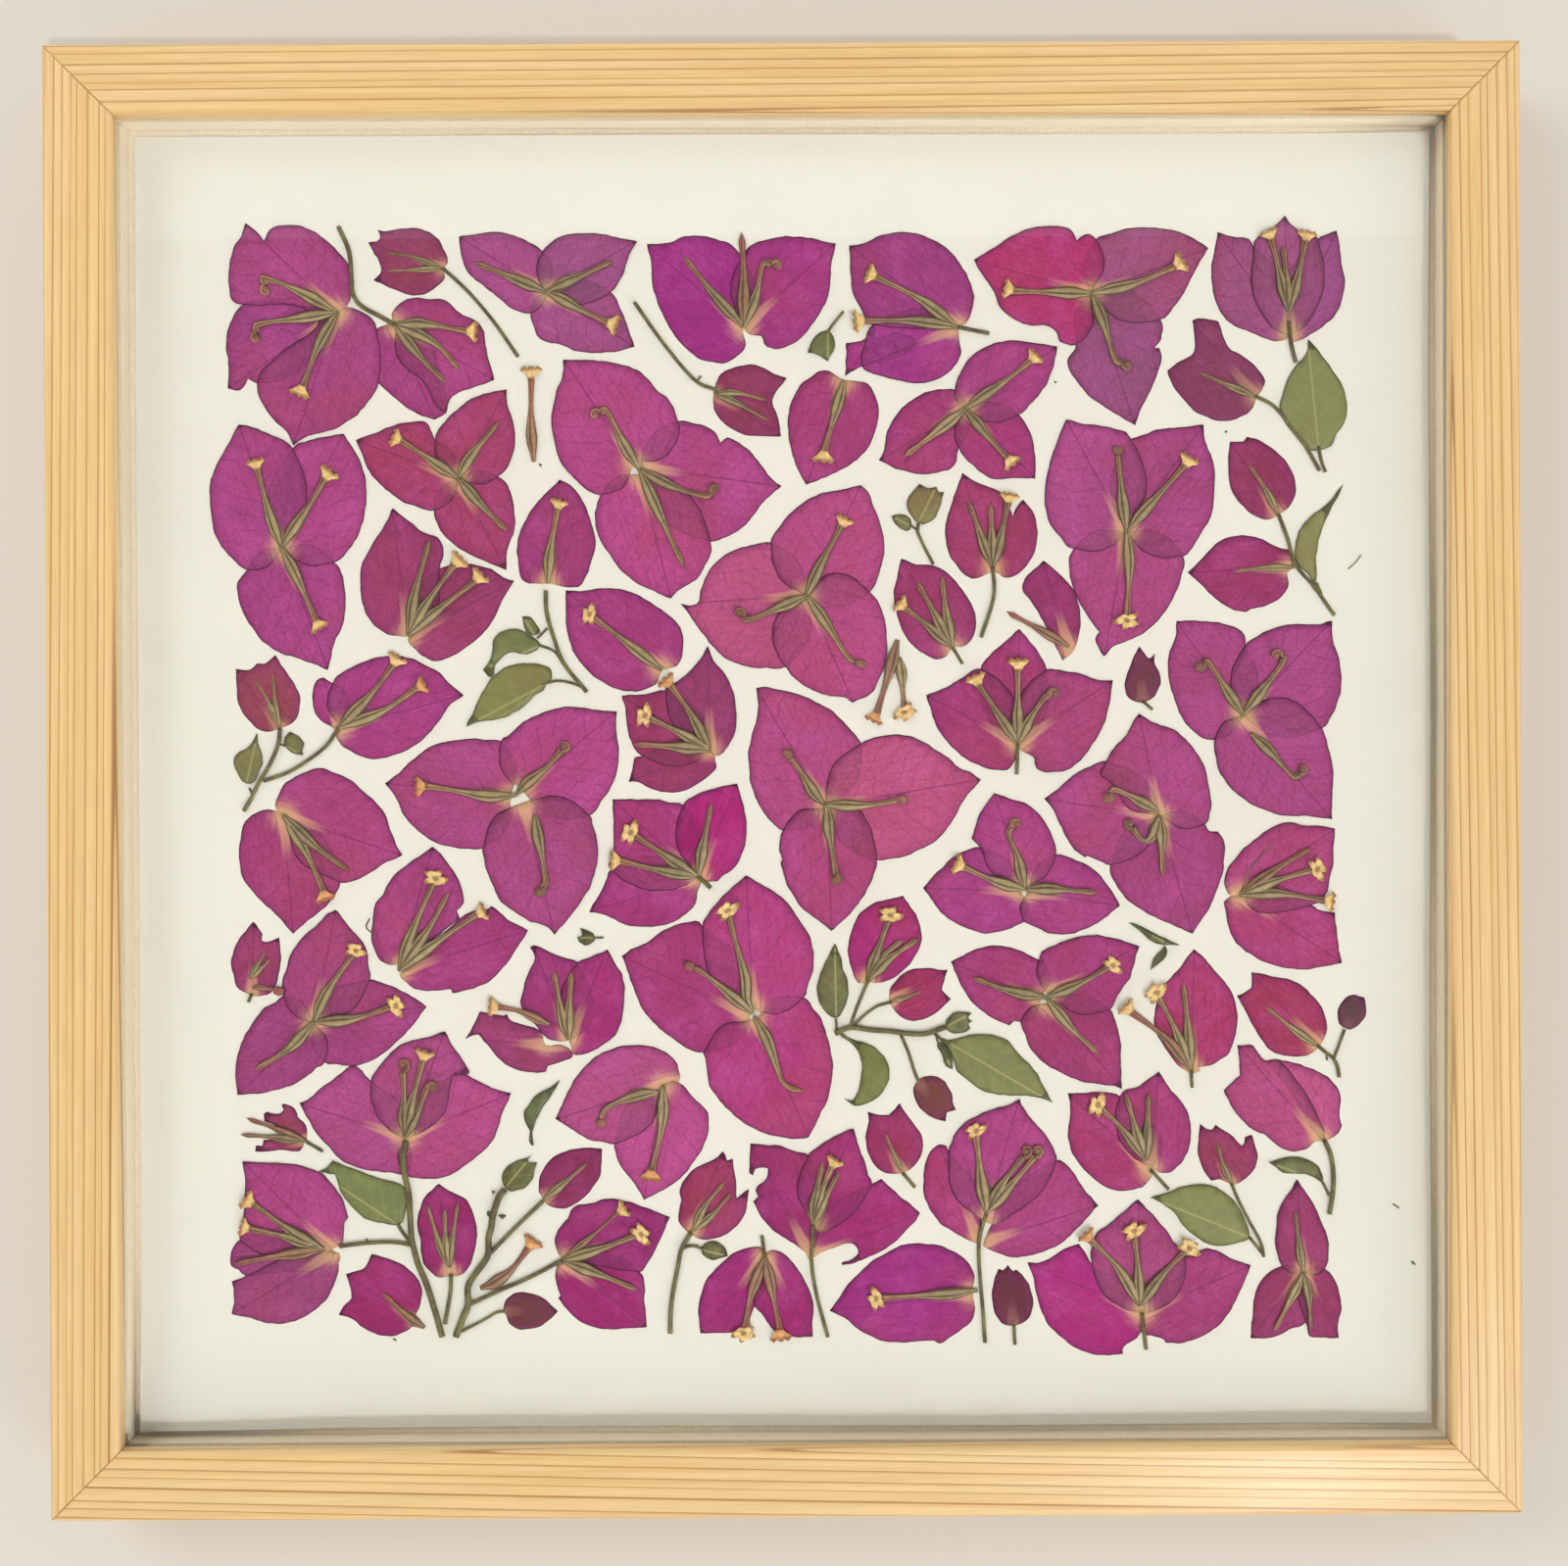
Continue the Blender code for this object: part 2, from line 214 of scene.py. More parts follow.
# Clear-lacquered pine, planed along the grain: pale wood with thin straight tan lines, under a soft shine.
def pineFor(rail, number):
    pine = newMaterial("clear lacquered pine, " + rail.replace("_", " "))
    place = addNode(pine, "TexCoord")["Object"]
    turn = math.radians(90) if rail in ("rail_left", "rail_right") else 0
    alongGrain = addNode(
        pine, "Mapping", {}, {"Vector": place, "Rotation": (0, 0, turn), "Location": (number * 1.7, 0, 0)}
    )[0]

    def stretched(along, across, detail):
        spot = addNode(pine, "Mapping", {}, {"Vector": alongGrain, "Scale": (along, across, across)})[0]
        return addNode(
            pine, "TexNoise", {}, {"Vector": spot, "Scale": 1.0, "Detail": detail, "Roughness": 0.62}
        )["Fac"]

    axes = addNode(pine, "SeparateXYZ", {}, {0: alongGrain})
    acrossPith, heightPith = pineSettings["pith"][rail]
    sloped = addNode(
        pine,
        "Math",
        {"operation": "MULTIPLY_ADD"},
        {0: axes["X"], 1: pineSettings["slope"][rail], 2: axes["Y"]},
    )[0]
    section = addNode(pine, "CombineXYZ", {}, {"X": 0.0, "Y": sloped, "Z": axes["Z"]})[0]
    middle = -0.162 if rail in ("rail_bottom", "rail_left") else 0.162
    fromPith = addNode(
        pine, "VectorMath", {"operation": "DISTANCE"}, {0: section, 1: (0, middle + acrossPith, heightPith)}
    )["Value"]
    wandered = addNode(
        pine,
        "Math",
        {"operation": "MULTIPLY_ADD"},
        {0: stretched(2.2, 14.0, 1.0), 1: pineSettings["wobble"], 2: fromPith},
    )[0]
    years = addNode(pine, "Math", {"operation": "DIVIDE"}, {0: wandered, 1: pineSettings["ring"]})[0]
    yearNoise = addNode(
        pine, "TexNoise", {"noise_dimensions": "1D"}, {"W": years, "Scale": 0.35, "Detail": 1.0}
    )["Fac"]
    # wide and narrow years
    years = addNode(pine, "Math", {"operation": "MULTIPLY_ADD"}, {0: yearNoise, 1: 1.5, 2: years})[0]
    inYear = addNode(pine, "Math", {"operation": "FRACT"}, {0: years})[0]
    yearNumber = addNode(pine, "Math", {"operation": "FLOOR"}, {0: years})[0]
    yearStrength = addNode(pine, "TexWhiteNoise", {"noise_dimensions": "1D"}, {"W": yearNumber})["Value"]
    streak, fibre = stretched(11.0, 420.0, 5.0), stretched(70.0, 2400.0, 2.0)
    coloured = washOver(
        pine, linear(pineSettings["early"]), streak, 0.35, 0.75, 0.0, 0.65, pineSettings["warm"]
    )
    coloured = washOver(pine, coloured, inYear, 0.3, 0.86, 0.0, 0.3, pineSettings["warm"])
    rise = addNode(
        pine,
        "MapRange",
        {"interpolation_type": "SMOOTHSTEP"},
        {"Value": inYear, "From Min": 0.74, "From Max": 0.92},
    )[0]
    fall = addNode(
        pine,
        "MapRange",
        {"interpolation_type": "SMOOTHSTEP"},
        {"Value": inYear, "From Min": 0.94, "From Max": 1.0, "To Min": 1.0, "To Max": 0.0},
    )[0]
    lateWood = addNode(pine, "Math", {"operation": "MULTIPLY"}, {0: rise, 1: fall})[0]
    strength = addNode(pine, "MapRange", {}, {"Value": yearStrength, "To Min": 0.5, "To Max": 0.85})[0]
    lateWood = addNode(pine, "Math", {"operation": "MULTIPLY"}, {0: lateWood, 1: strength})[0]
    coloured = washOver(pine, coloured, lateWood, 0.0, 1.0, 0.0, 1.0, pineSettings["late"])
    coloured = mottle(pine, coloured, fibre, 0.92, 1.03)
    gloss = addNode(
        pine,
        "MapRange",
        {},
        {"Value": streak, "From Min": 0.3, "From Max": 0.7, "To Min": 0.36, "To Max": 0.5},
    )[0]
    relief = addNode(pine, "Math", {"operation": "MULTIPLY_ADD"}, {0: lateWood, 1: 0.5, 2: fibre})[0]
    closeMaterial(
        pine,
        coloured,
        relief,
        0.7,
        0.1 * mm,
        {"Roughness": gloss, "Coat Weight": 0.3, "Coat Roughness": 0.24},
    )
    return pine


# Puts a material on a CAD node in place of the one that came with it.
def finishNode(name, material):
    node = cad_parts[name]
    node.data.materials.clear()
    node.data.materials.append(material)


for number, rail in enumerate(("rail_bottom", "rail_right", "rail_top", "rail_left")):
    finishNode(rail, pineFor(rail, number))

glueSettings = {
    "colour": "e0b271", "dark": "c89555", "thick": 0.24 * mm, "clear": 0.03 * mm, "below": 0.12 * mm
}
woodGlue = newMaterial("dried wood glue")  # a thin amber line in each mitre
gluePlace = addNode(woodGlue, "TexCoord")["Object"]
glueCloud = addNode(woodGlue, "TexNoise", {}, {"Vector": gluePlace, "Scale": 900.0, "Detail": 3.0})["Fac"]
glueColour = washOver(
    woodGlue, linear(glueSettings["colour"]), glueCloud, 0.35, 0.65, 0.0, 1.0, glueSettings["dark"]
)
closeMaterial(woodGlue, glueColour, glueCloud, 0.3, 0.05 * mm, {"Roughness": 0.5})
# Each line is the end of one rail, drawn in a little below the wood and given a thickness that fills the
# joint.
for number, (rail, towards) in enumerate(
    {"rail_bottom": (1, -1), "rail_right": (1, 1), "rail_top": (-1, 1), "rail_left": (-1, -1)}.items()
):
    bm = bmesh.new()
    bm.from_mesh(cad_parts[rail].data)
    bmesh.ops.remove_doubles(bm, verts=bm.verts, dist=0.005 * mm)
    others = [
        face for face in bm.faces
        if min(abs(face.normal.x), abs(face.normal.y)) < 0.6
        or face.calc_center_median().x * towards[0] < 0 or face.calc_center_median().y * towards[1] < 0
    ]
    bmesh.ops.delete(bm, geom=others, context="FACES")
    ahead = bm.faces[:][0].normal.copy()
    centre = sum((point.co for point in bm.verts), Vector()) / len(bm.verts)
    for point in bm.verts:
        point.co += (centre - point.co).normalized() * glueSettings["below"] + ahead * glueSettings["clear"]
    glueMesh = bpy.data.meshes.new(f"glueLine_{number + 1}")
    bm.to_mesh(glueMesh)
    bm.free()
    glueMesh.materials.clear()
    glueMesh.materials.append(woodGlue)
    glueLine = bpy.data.objects.new(glueMesh.name, glueMesh)
    bpy.context.collection.objects.link(glueLine)
    bpy.ops.object.select_all(action="DESELECT")
    bpy.context.view_layer.objects.active = glueLine
    glueLine.select_set(True)
    filled = glueLine.modifiers.new("filled", "SOLIDIFY")
    filled.thickness, filled.offset = glueSettings["thick"], 1
    bpy.ops.object.modifier_apply(modifier="filled")
    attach(glueLine, "root")

pictureGlass = newMaterial("float glass, cut and cleaned")  # clear, with a faint pale reflection
clear = addNode(
    pictureGlass,
    "BsdfPrincipled",
    {},
    {"Base Color": linear("fbfefc"), "Roughness": 0.0, "IOR": 1.5, "Transmission Weight": 1.0},
)
addNode(pictureGlass, "OutputMaterial", {}, {"Surface": clear["BSDF"]})
finishNode("glass_pane", pictureGlass)
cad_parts["glass_pane"].visible_shadow = False

cardSettings = {"colour": "f1e4d0", "shade": "e4d5bd", "fibre": 0.7 * mm}
matCard = newMaterial("pressed white mat card")  # dull white with a faint fibre mottle
cardPlace = addNode(matCard, "TexCoord")["Object"]
cardFibre = addNode(
    matCard, "TexNoise", {}, {"Vector": cardPlace, "Scale": 1 / cardSettings["fibre"], "Detail": 4.0}
)["Fac"]
cardColour = washOver(
    matCard, linear(cardSettings["colour"]), cardFibre, 0.2, 0.8, 0.0, 1.0, cardSettings["shade"]
)
closeMaterial(matCard, cardColour, cardFibre, 0.3, 0.04 * mm, {"Roughness": 0.92})
for name in ("spacer_bottom", "spacer_right", "spacer_top", "spacer_left", "mount_board"):
    finishNode(name, matCard)

boardSettings = {"colour": "7a5638", "dark": "57391f", "fibre": 1.6 * mm, "screen": 1.3 * mm}
# brown pressed fibre with the print of the press's wire screen
hardboard = newMaterial("hardboard, screen side out")
boardPlace = addNode(hardboard, "TexCoord")["Object"]
boardFibre = addNode(
    hardboard,
    "TexNoise",
    {},
    {"Vector": boardPlace, "Scale": 1 / boardSettings["fibre"], "Detail": 6.0, "Roughness": 0.7},
)["Fac"]
boardColour = washOver(
    hardboard, linear(boardSettings["colour"]), boardFibre, 0.35, 0.7, 0.0, 1.0, boardSettings["dark"]
)
screenPlace = addNode(
    hardboard,
    "VectorMath",
    {"operation": "SCALE"},
    {0: boardPlace, "Scale": math.tau / boardSettings["screen"]},
)[0]
screenAxes = addNode(hardboard, "SeparateXYZ", {}, {0: screenPlace})
screenX = addNode(hardboard, "Math", {"operation": "SINE"}, {0: screenAxes["X"]})[0]
screenY = addNode(hardboard, "Math", {"operation": "SINE"}, {0: screenAxes["Y"]})[0]
screenHeight = addNode(hardboard, "Math", {"operation": "MULTIPLY"}, {0: screenX, 1: screenY})[0]
closeMaterial(hardboard, boardColour, screenHeight, 0.5, 0.1 * mm, {"Roughness": 0.7})
finishNode("back_board", hardboard)

steelSettings = {"colour": "b7b9b6", "dark": "8f918f", "spangle": 2.2 * mm}
zincSteel = newMaterial("zinc plated steel")  # pale grey metal with a dull patchy shine
steelPlace = addNode(zincSteel, "TexCoord")["Object"]
spangle = addNode(
    zincSteel, "TexNoise", {}, {"Vector": steelPlace, "Scale": 1 / steelSettings["spangle"], "Detail": 5.0}
)["Fac"]
steelColour = washOver(
    zincSteel, linear(steelSettings["colour"]), spangle, 0.2, 0.8, 0.0, 1.0, steelSettings["dark"]
)
steelRough = addNode(zincSteel, "MapRange", {}, {"Value": spangle, "To Min": 0.28, "To Max": 0.5})[0]
closeMaterial(zincSteel, steelColour, spangle, 0.15, 0.03 * mm, {"Metallic": 1.0, "Roughness": steelRough})
for name in [f"point_{count}" for count in range(1, 9)] + [
    "hanger", "hanger_screw_left", "hanger_screw_right"
]:
    finishNode(name, zincSteel)


print("paper sheet")

sheetLow, sheetHigh = [Vector(corner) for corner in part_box("art_sheet")]
paperSettings = {"colour": "e5e1d9", "shade": "dbd6cb", "fibre": 0.9 * mm, "lift": 0.9 * mm, "cells": 90}


def ease(value):
    value = min(max(value, 0.0), 1.0)
    return value * value * (3 - 2 * value)


# How far the paper stands off the mount board: a soft wave along the right edge, and corners that lift.
def paperLift(x, y):
    x, y = x / mm, y / mm
    right = ease((x - 122) / 30) * (0.5 + 0.5 * math.sin(y / 24 + 0.8))
    bottom = 0.7 * ease((-y - 128) / 24) * (0.5 + 0.5 * math.sin(x / 31))
    corner = 1.3 * ease((-x - y - 252) / 50)
    top = 0.5 * ease((y - 132) / 20) * (0.5 + 0.5 * math.sin(x / 40 + 2))
    return paperSettings["lift"] * (right + bottom + corner + top)


bpy.ops.object.select_all(action="DESELECT")
bpy.ops.mesh.primitive_grid_add(
    x_subdivisions=paperSettings["cells"], y_subdivisions=paperSettings["cells"],
    size=sheetHigh.x - sheetLow.x,
)
paper = bpy.context.active_object
paper.name = "paper_sheet"
for point in paper.data.vertices:
    point.co.z = sheetHigh.z + paperLift(point.co.x, point.co.y)
thickness = paper.modifiers.new("thickness", "SOLIDIFY")
thickness.thickness = sheetHigh.z - sheetLow.z
bpy.ops.object.modifier_apply(modifier="thickness")
bpy.ops.object.shade_smooth_by_angle(angle=math.radians(30))
artPaper = newMaterial("cold pressed cotton paper")  # warm white, dull, with a slight tooth
paperPlace = addNode(artPaper, "TexCoord")["Object"]
paperTooth = addNode(
    artPaper,
    "TexNoise",
    {},
    {"Vector": paperPlace, "Scale": 1 / paperSettings["fibre"], "Detail": 5.0, "Roughness": 0.6},
)["Fac"]
paperCloud = addNode(artPaper, "TexNoise", {}, {"Vector": paperPlace, "Scale": 14.0, "Detail": 3.0})["Fac"]
paperShare = addNode(artPaper, "Math", {"operation": "MULTIPLY"}, {0: paperTooth, 1: paperCloud})[0]
paperColour = washOver(
    artPaper, linear(paperSettings["colour"]), paperShare, 0.0, 1.0, 0.0, 1.0, paperSettings["shade"]
)
closeMaterial(artPaper, paperColour, paperTooth, 0.25, 0.05 * mm, {"Roughness": 0.95})
paper.data.materials.append(artPaper)
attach(paper, "root")
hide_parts("art_sheet")


print("plant finishes")


# What every plant finish reads: its tint, its zones, the place along and aside on the piece, and the place in
# space.
def plantReadings(material):
    tint = addNode(material, "Attribute", {"attribute_name": "tint"})
    zone = addNode(material, "Attribute", {"attribute_name": "zone"})
    zones = list(addNode(material, "SeparateColor", {}, {0: zone["Color"]})) + [zone["Alpha"], tint["Alpha"]]
    veinMap = addNode(material, "SeparateXYZ", {}, {0: addNode(material, "UVMap", {"uv_map": "veinMap"})[0]})
    return tint["Color"], zones, veinMap["X"], veinMap["Y"], addNode(material, "TexCoord")["Object"]


bractSettings = {
    "pinkGain": 2.6,
    "leastPink": 0.12,
    "strength": (1.03, 0.97, 1.0),  # pressed bracts are more saturated than a plain colour reads
    "pale": "c658a8",
    "rust": "a8405e",
    "rimDark": "4c1535",
    "rimSoft": "7d2562",
    "vein": "6c2056",
    "glow": "dfae84",
    "heart": "b09a5c",
    "veinSpacing": 4.6,  # mm between side veins
    "meshSize": 1.5 * mm,  # the net of fine veins
    "doubled": (0.8, 0.86, 0.8, 1.0),  # what a second bract underneath does to the colour
}
# thin, dull, magenta, with a dark rim and a straw-coloured base
bract = newMaterial("air dried bougainvillea bract")
tint, zones, along, aside, place = plantReadings(bract)
cloud = addNode(
    bract, "TexNoise", {}, {"Vector": place, "Scale": 120.0, "Detail": 5.0, "Roughness": 0.62}
)["Fac"]
patch = addNode(bract, "TexNoise", {}, {"Vector": place, "Scale": 42.0, "Detail": 3.0})["Fac"]
colour = washOver(bract, tint, cloud, 0.4, 0.72, 0.0, 0.3, bractSettings["pale"])
colour = washOver(bract, colour, patch, 0.5, 0.72, 0.0, 0.4, bractSettings["rust"])
# olive and brown buds stay plain
colour = addNode(bract, "Mix", {"data_type": "RGBA"}, {0: zones[4], 6: tint, 7: colour})[2]
off = addNode(bract, "Math", {"operation": "ABSOLUTE"}, {0: aside})[0]
creasePlace = addNode(
    bract,
    "CombineXYZ",
    {},
    {"X": addNode(bract, "Math", {"operation": "MULTIPLY"}, {0: along, 1: 0.14})[0], "Y": aside},
)[0]
crease = addNode(
    bract, "TexNoise", {}, {"Vector": creasePlace, "Scale": 1.1, "Detail": 4.0, "Roughness": 0.7}
)["Fac"]
colour = mottle(bract, colour, crease, 0.83, 1.13)  # fine pleats from the base: painted shade in the folds, painted highlight on the ridges
grain = addNode(bract, "TexNoise", {}, {"Vector": place, "Scale": 1500.0, "Detail": 3.0})["Fac"]
colour = mottle(bract, colour, grain, 0.88, 1.1)
bend = addNode(bract, "TexNoise", {}, {"Vector": place, "Scale": 150.0, "Detail": 2.0})["Fac"]
slant = addNode(bract, "Math", {"operation": "MULTIPLY_ADD"}, {0: off, 1: -0.8, 2: along})[0]
slant = addNode(bract, "Math", {"operation": "MULTIPLY_ADD"}, {0: bend, 1: 7.0, 2: slant})[0]
rung = addNode(bract, "Math", {"operation": "PINGPONG"}, {0: slant, 1: bractSettings["veinSpacing"] / 2})[0]
net = addNode(
    bract,
    "TexVoronoi",
    {"feature": "DISTANCE_TO_EDGE"},
    {"Vector": place, "Scale": 1 / bractSettings["meshSize"]},
)["Distance"]
colour = washOver(bract, colour, net, 0.0, 0.12, 0.22, 0.0, bractSettings["vein"])
colour = washOver(bract, colour, rung, 0.0, 0.3, 0.42, 0.0, bractSettings["vein"])
colour = washOver(bract, colour, off, 0.06, 0.3, 0.6, 0.0, bractSettings["vein"])
colour = washOver(bract, colour, zones[0], 0.2, 2.6, 0.32, 0.0, bractSettings["rimSoft"])
colour = washOver(bract, colour, zones[0], 0.1, 0.4, 0.85, 0.0, bractSettings["rimDark"])
plain = colour
rays = addNode(bract, "Math", {"operation": "MULTIPLY_ADD"}, {0: crease, 1: 7.0, 2: zones[1]})[0]
colour = washOver(bract, colour, rays, 3.4, 8.6, 0.75, 0.0, bractSettings["glow"])
tubeSide = addNode(
    bract,
    "MapRange",
    {"interpolation_type": "SMOOTHSTEP"},
    {"Value": off, "From Min": 0.6, "From Max": 2.2, "To Min": 6.0, "To Max": -4.0},
)[0]
tubeSide = addNode(bract, "Math", {"operation": "SUBTRACT"}, {0: tubeSide, 1: zones[1]})[0]
# straw lines beside the tube
colour = washOver(bract, colour, tubeSide, -6.0, 2.0, 0.0, 0.55, bractSettings["glow"])
colour = addNode(bract, "Mix", {"data_type": "RGBA"}, {0: zones[4], 6: plain, 7: colour})[2]
colour = washOver(bract, colour, zones[1], 0.3, 2.2, 0.7, 0.0, bractSettings["heart"])
colour = addNode(
    bract,
    "Mix",
    {"data_type": "RGBA", "blend_type": "MULTIPLY"},
    {0: zones[2], 6: colour, 7: bractSettings["doubled"]},
)[2]
colour = washOver(bract, colour, zones[3], 0.05, 0.34, 0.32, 0.0, bractSettings["rimDark"])
wrinkle = addNode(
    bract, "TexNoise", {}, {"Vector": place, "Scale": 480.0, "Detail": 5.0, "Roughness": 0.65}
)["Fac"]
height = addNode(bract, "Math", {"operation": "MULTIPLY_ADD"}, {0: crease, 1: 1.6, 2: wrinkle})[0]
closeMaterial(bract, colour, height, 0.6, 0.2 * mm, {"Roughness": 0.6, "Specular IOR Level": 0.18})

leafSettings = {"vein": "a09c62", "rim": "34381c", "pale": "868a52", "brown": "75603a", "veinSpacing": 3.4}
leafGreen = newMaterial("pressed leaf")  # dull green going to olive, with paler veins and a thin dark edge
tint, zones, along, aside, place = plantReadings(leafGreen)
cloud = addNode(
    leafGreen, "TexNoise", {}, {"Vector": place, "Scale": 230.0, "Detail": 6.0, "Roughness": 0.65}
)["Fac"]
patch = addNode(leafGreen, "TexNoise", {}, {"Vector": place, "Scale": 60.0, "Detail": 3.0})["Fac"]
colour = washOver(leafGreen, tint, cloud, 0.4, 0.75, 0.0, 0.5, leafSettings["pale"])
colour = washOver(leafGreen, colour, patch, 0.52, 0.75, 0.0, 0.5, leafSettings["brown"])
off = addNode(leafGreen, "Math", {"operation": "ABSOLUTE"}, {0: aside})[0]
slant = addNode(leafGreen, "Math", {"operation": "MULTIPLY_ADD"}, {0: off, 1: -1.0, 2: along})[0]
rung = addNode(
    leafGreen, "Math", {"operation": "PINGPONG"}, {0: slant, 1: leafSettings["veinSpacing"] / 2}
)[0]
colour = washOver(leafGreen, colour, rung, 0.0, 0.25, 0.25, 0.0, leafSettings["vein"])
colour = washOver(leafGreen, colour, off, 0.1, 0.36, 0.7, 0.0, leafSettings["vein"])
colour = washOver(leafGreen, colour, zones[0], 0.05, 0.4, 0.75, 0.0, leafSettings["rim"])
closeMaterial(leafGreen, colour, cloud, 0.4, 0.12 * mm, {"Roughness": 0.55})

tubeSettings = {"dark": "3c2d1c", "light": "988660", "end": "9c6853", "curled": "a0645c"}
tubeSkin = newMaterial("dried flower tube")  # dull olive with dark ribs, browner towards the mouth
tint, zones, along, aside, place = plantReadings(tubeSkin)
cloud = addNode(tubeSkin, "TexNoise", {}, {"Vector": place, "Scale": 500.0, "Detail": 4.0})["Fac"]
rib = addNode(tubeSkin, "Math", {"operation": "PINGPONG"}, {0: along, 1: 0.1})[0]
colour = washOver(
    tubeSkin, linear(tubeSettings["light"]), zones[0], 0.35, 0.95, 0.0, 0.85, tubeSettings["end"]
)
colour = washOver(tubeSkin, colour, zones[0], 1.0, 1.3, 0.0, 0.9, tubeSettings["curled"])
colour = washOver(tubeSkin, colour, rib, 0.015, 0.06, 0.85, 0.0, tubeSettings["dark"])
colour = mottle(tubeSkin, colour, cloud, 0.7, 1.18)
colour = addNode(
    tubeSkin, "Mix", {"data_type": "RGBA", "blend_type": "MULTIPLY"}, {0: 1.0, 6: colour, 7: tint}
)[2]
closeMaterial(tubeSkin, colour, cloud, 0.4, 0.15 * mm, {"Roughness": 0.55})

mouthSettings = {"throat": "7a5230", "lobe": "ecca88", "rim": "96602e"}
mouthSkin = newMaterial("dried flower mouth")  # creamy yellow lobes with tan edges
tint, zones, along, aside, place = plantReadings(mouthSkin)
cloud = addNode(mouthSkin, "TexNoise", {}, {"Vector": place, "Scale": 900.0, "Detail": 4.0})["Fac"]
colour = washOver(
    mouthSkin, linear(mouthSettings["throat"]), zones[0], 0.12, 0.42, 0.0, 1.0, mouthSettings["lobe"]
)
colour = washOver(mouthSkin, colour, zones[0], 0.74, 1.0, 0.0, 0.8, mouthSettings["rim"])
colour = mottle(mouthSkin, colour, cloud, 0.66, 1.12)
colour = addNode(
    mouthSkin, "Mix", {"data_type": "RGBA", "blend_type": "MULTIPLY"}, {0: 1.0, 6: colour, 7: tint}
)[2]
closeMaterial(mouthSkin, colour, cloud, 0.5, 0.15 * mm, {"Roughness": 0.6})

stemSettings = {"green": "726c3c", "brown": "4c3d26"}
stemSkin = newMaterial("dried stem")  # thin, olive to brown, finely streaked
stemPlace = addNode(stemSkin, "TexCoord")["Object"]
stemCloud = addNode(
    stemSkin, "TexNoise", {}, {"Vector": stemPlace, "Scale": 240.0, "Detail": 5.0, "Roughness": 0.65}
)["Fac"]
colour = washOver(
    stemSkin, linear(stemSettings["green"]), stemCloud, 0.35, 0.65, 0.0, 1.0, stemSettings["brown"]
)
closeMaterial(stemSkin, colour, stemCloud, 0.5, 0.1 * mm, {"Roughness": 0.6})

plantMaterials = [bract, tubeSkin, mouthSkin, stemSkin, leafGreen]
bractSlot, tubeSlot, mouthSlot, stemSlot, leafSlot = range(5)


print("flower mouths and anther knot, modelled once")


# Keeps a shaped mesh as a model to copy: its points, its faces and how far each point is from throat to rim.
def keepModel(shaped, marks):
    model = [point.co.copy() for point in shaped.data.vertices], [
        tuple(face.vertices) for face in shaped.data.polygons
    ]
    bpy.data.objects.remove(shaped)
    return (*model, [marks(point) for point in model[0]])


def giveWall(shaped, thickness):
    wall = shaped.modifiers.new("wall", "SOLIDIFY")
    wall.thickness = thickness
    bpy.ops.object.modifier_apply(modifier="wall")


# The mouth seen from its face: five ragged lobes round a small throat.
mouthShape = {"sides": 40, "waist": 0.5, "ragged": 0.5, "cup": 0.2}
bpy.ops.object.select_all(action="DESELECT")
bpy.ops.mesh.primitive_circle_add(vertices=mouthShape["sides"], radius=1.0, fill_type="NGON")
bpy.ops.object.mode_set(mode="EDIT")
bpy.ops.mesh.inset(thickness=0.42)
bpy.ops.mesh.inset(thickness=0.36)
bpy.ops.object.mode_set(mode="OBJECT")
mouth = bpy.context.active_object
for point in mouth.data.vertices:
    reach = point.co.xy.length
    around = math.atan2(point.co.y, point.co.x)
    lobe = abs(math.cos(around * 2.5)) ** 0.7
    torn = mouthShape["ragged"] * noise.noise(
        point.co * 1.9 + Vector((3, 1, 0))
    ) + 0.15 * noise.noise(point.co * 6)
    point.co *= 1 - (1 - mouthShape["waist"]) * (1 - lobe) * reach**2 + torn * reach
    point.co.z = mouthShape["cup"] * (reach - 0.3) + 0.3 * noise.noise(point.co * 3)
giveWall(mouth, 0.08)
mouthModel = keepModel(mouth, lambda point: point.xy.length)

# The mouth seen from its side, pressed flat: a short trumpet with a ragged crown and two curled side lobes.
flareShape = {"throat": 0.36, "crown": 0.26, "curl": 0.5}
bpy.ops.object.select_all(action="DESELECT")
bpy.ops.mesh.primitive_grid_add(x_subdivisions=6, y_subdivisions=14, size=2)
flare = bpy.context.active_object
for point in flare.data.vertices:
    deep, wide = (point.co.x + 1) / 2, point.co.y
    spread = flareShape["throat"] + (1 - flareShape["throat"]) * deep**1.8
    crown = flareShape["crown"] * abs(math.cos(wide * 4.4)) * deep**2 + 0.14 * noise.noise(
        Vector((wide * 4, deep, 0))
    ) * deep
    fold = flareShape["curl"] * deep**2 * max(0, abs(wide) - 0.62)
    point.co = Vector(
        (
            deep + crown - fold,
            wide * spread,
            0.3 * (1 - wide * wide) + 0.35 * noise.noise(Vector((wide * 5, deep * 3, 1))),
        )
    )
giveWall(flare, 0.1)
flareModel = keepModel(flare, lambda point: min(1.0, 0.2 + 0.8 * max(point.x, abs(point.y) ** 2)))

bpy.ops.object.select_all(action="DESELECT")
bpy.ops.mesh.primitive_ico_sphere_add(subdivisions=2, radius=1.0)
knot = bpy.context.active_object
for point in knot.data.vertices:
    point.co *= 1 + 0.45 * noise.noise(point.co * 2.3)
knotModel = keepModel(knot, lambda point: 1.25)


print("drawing tools")

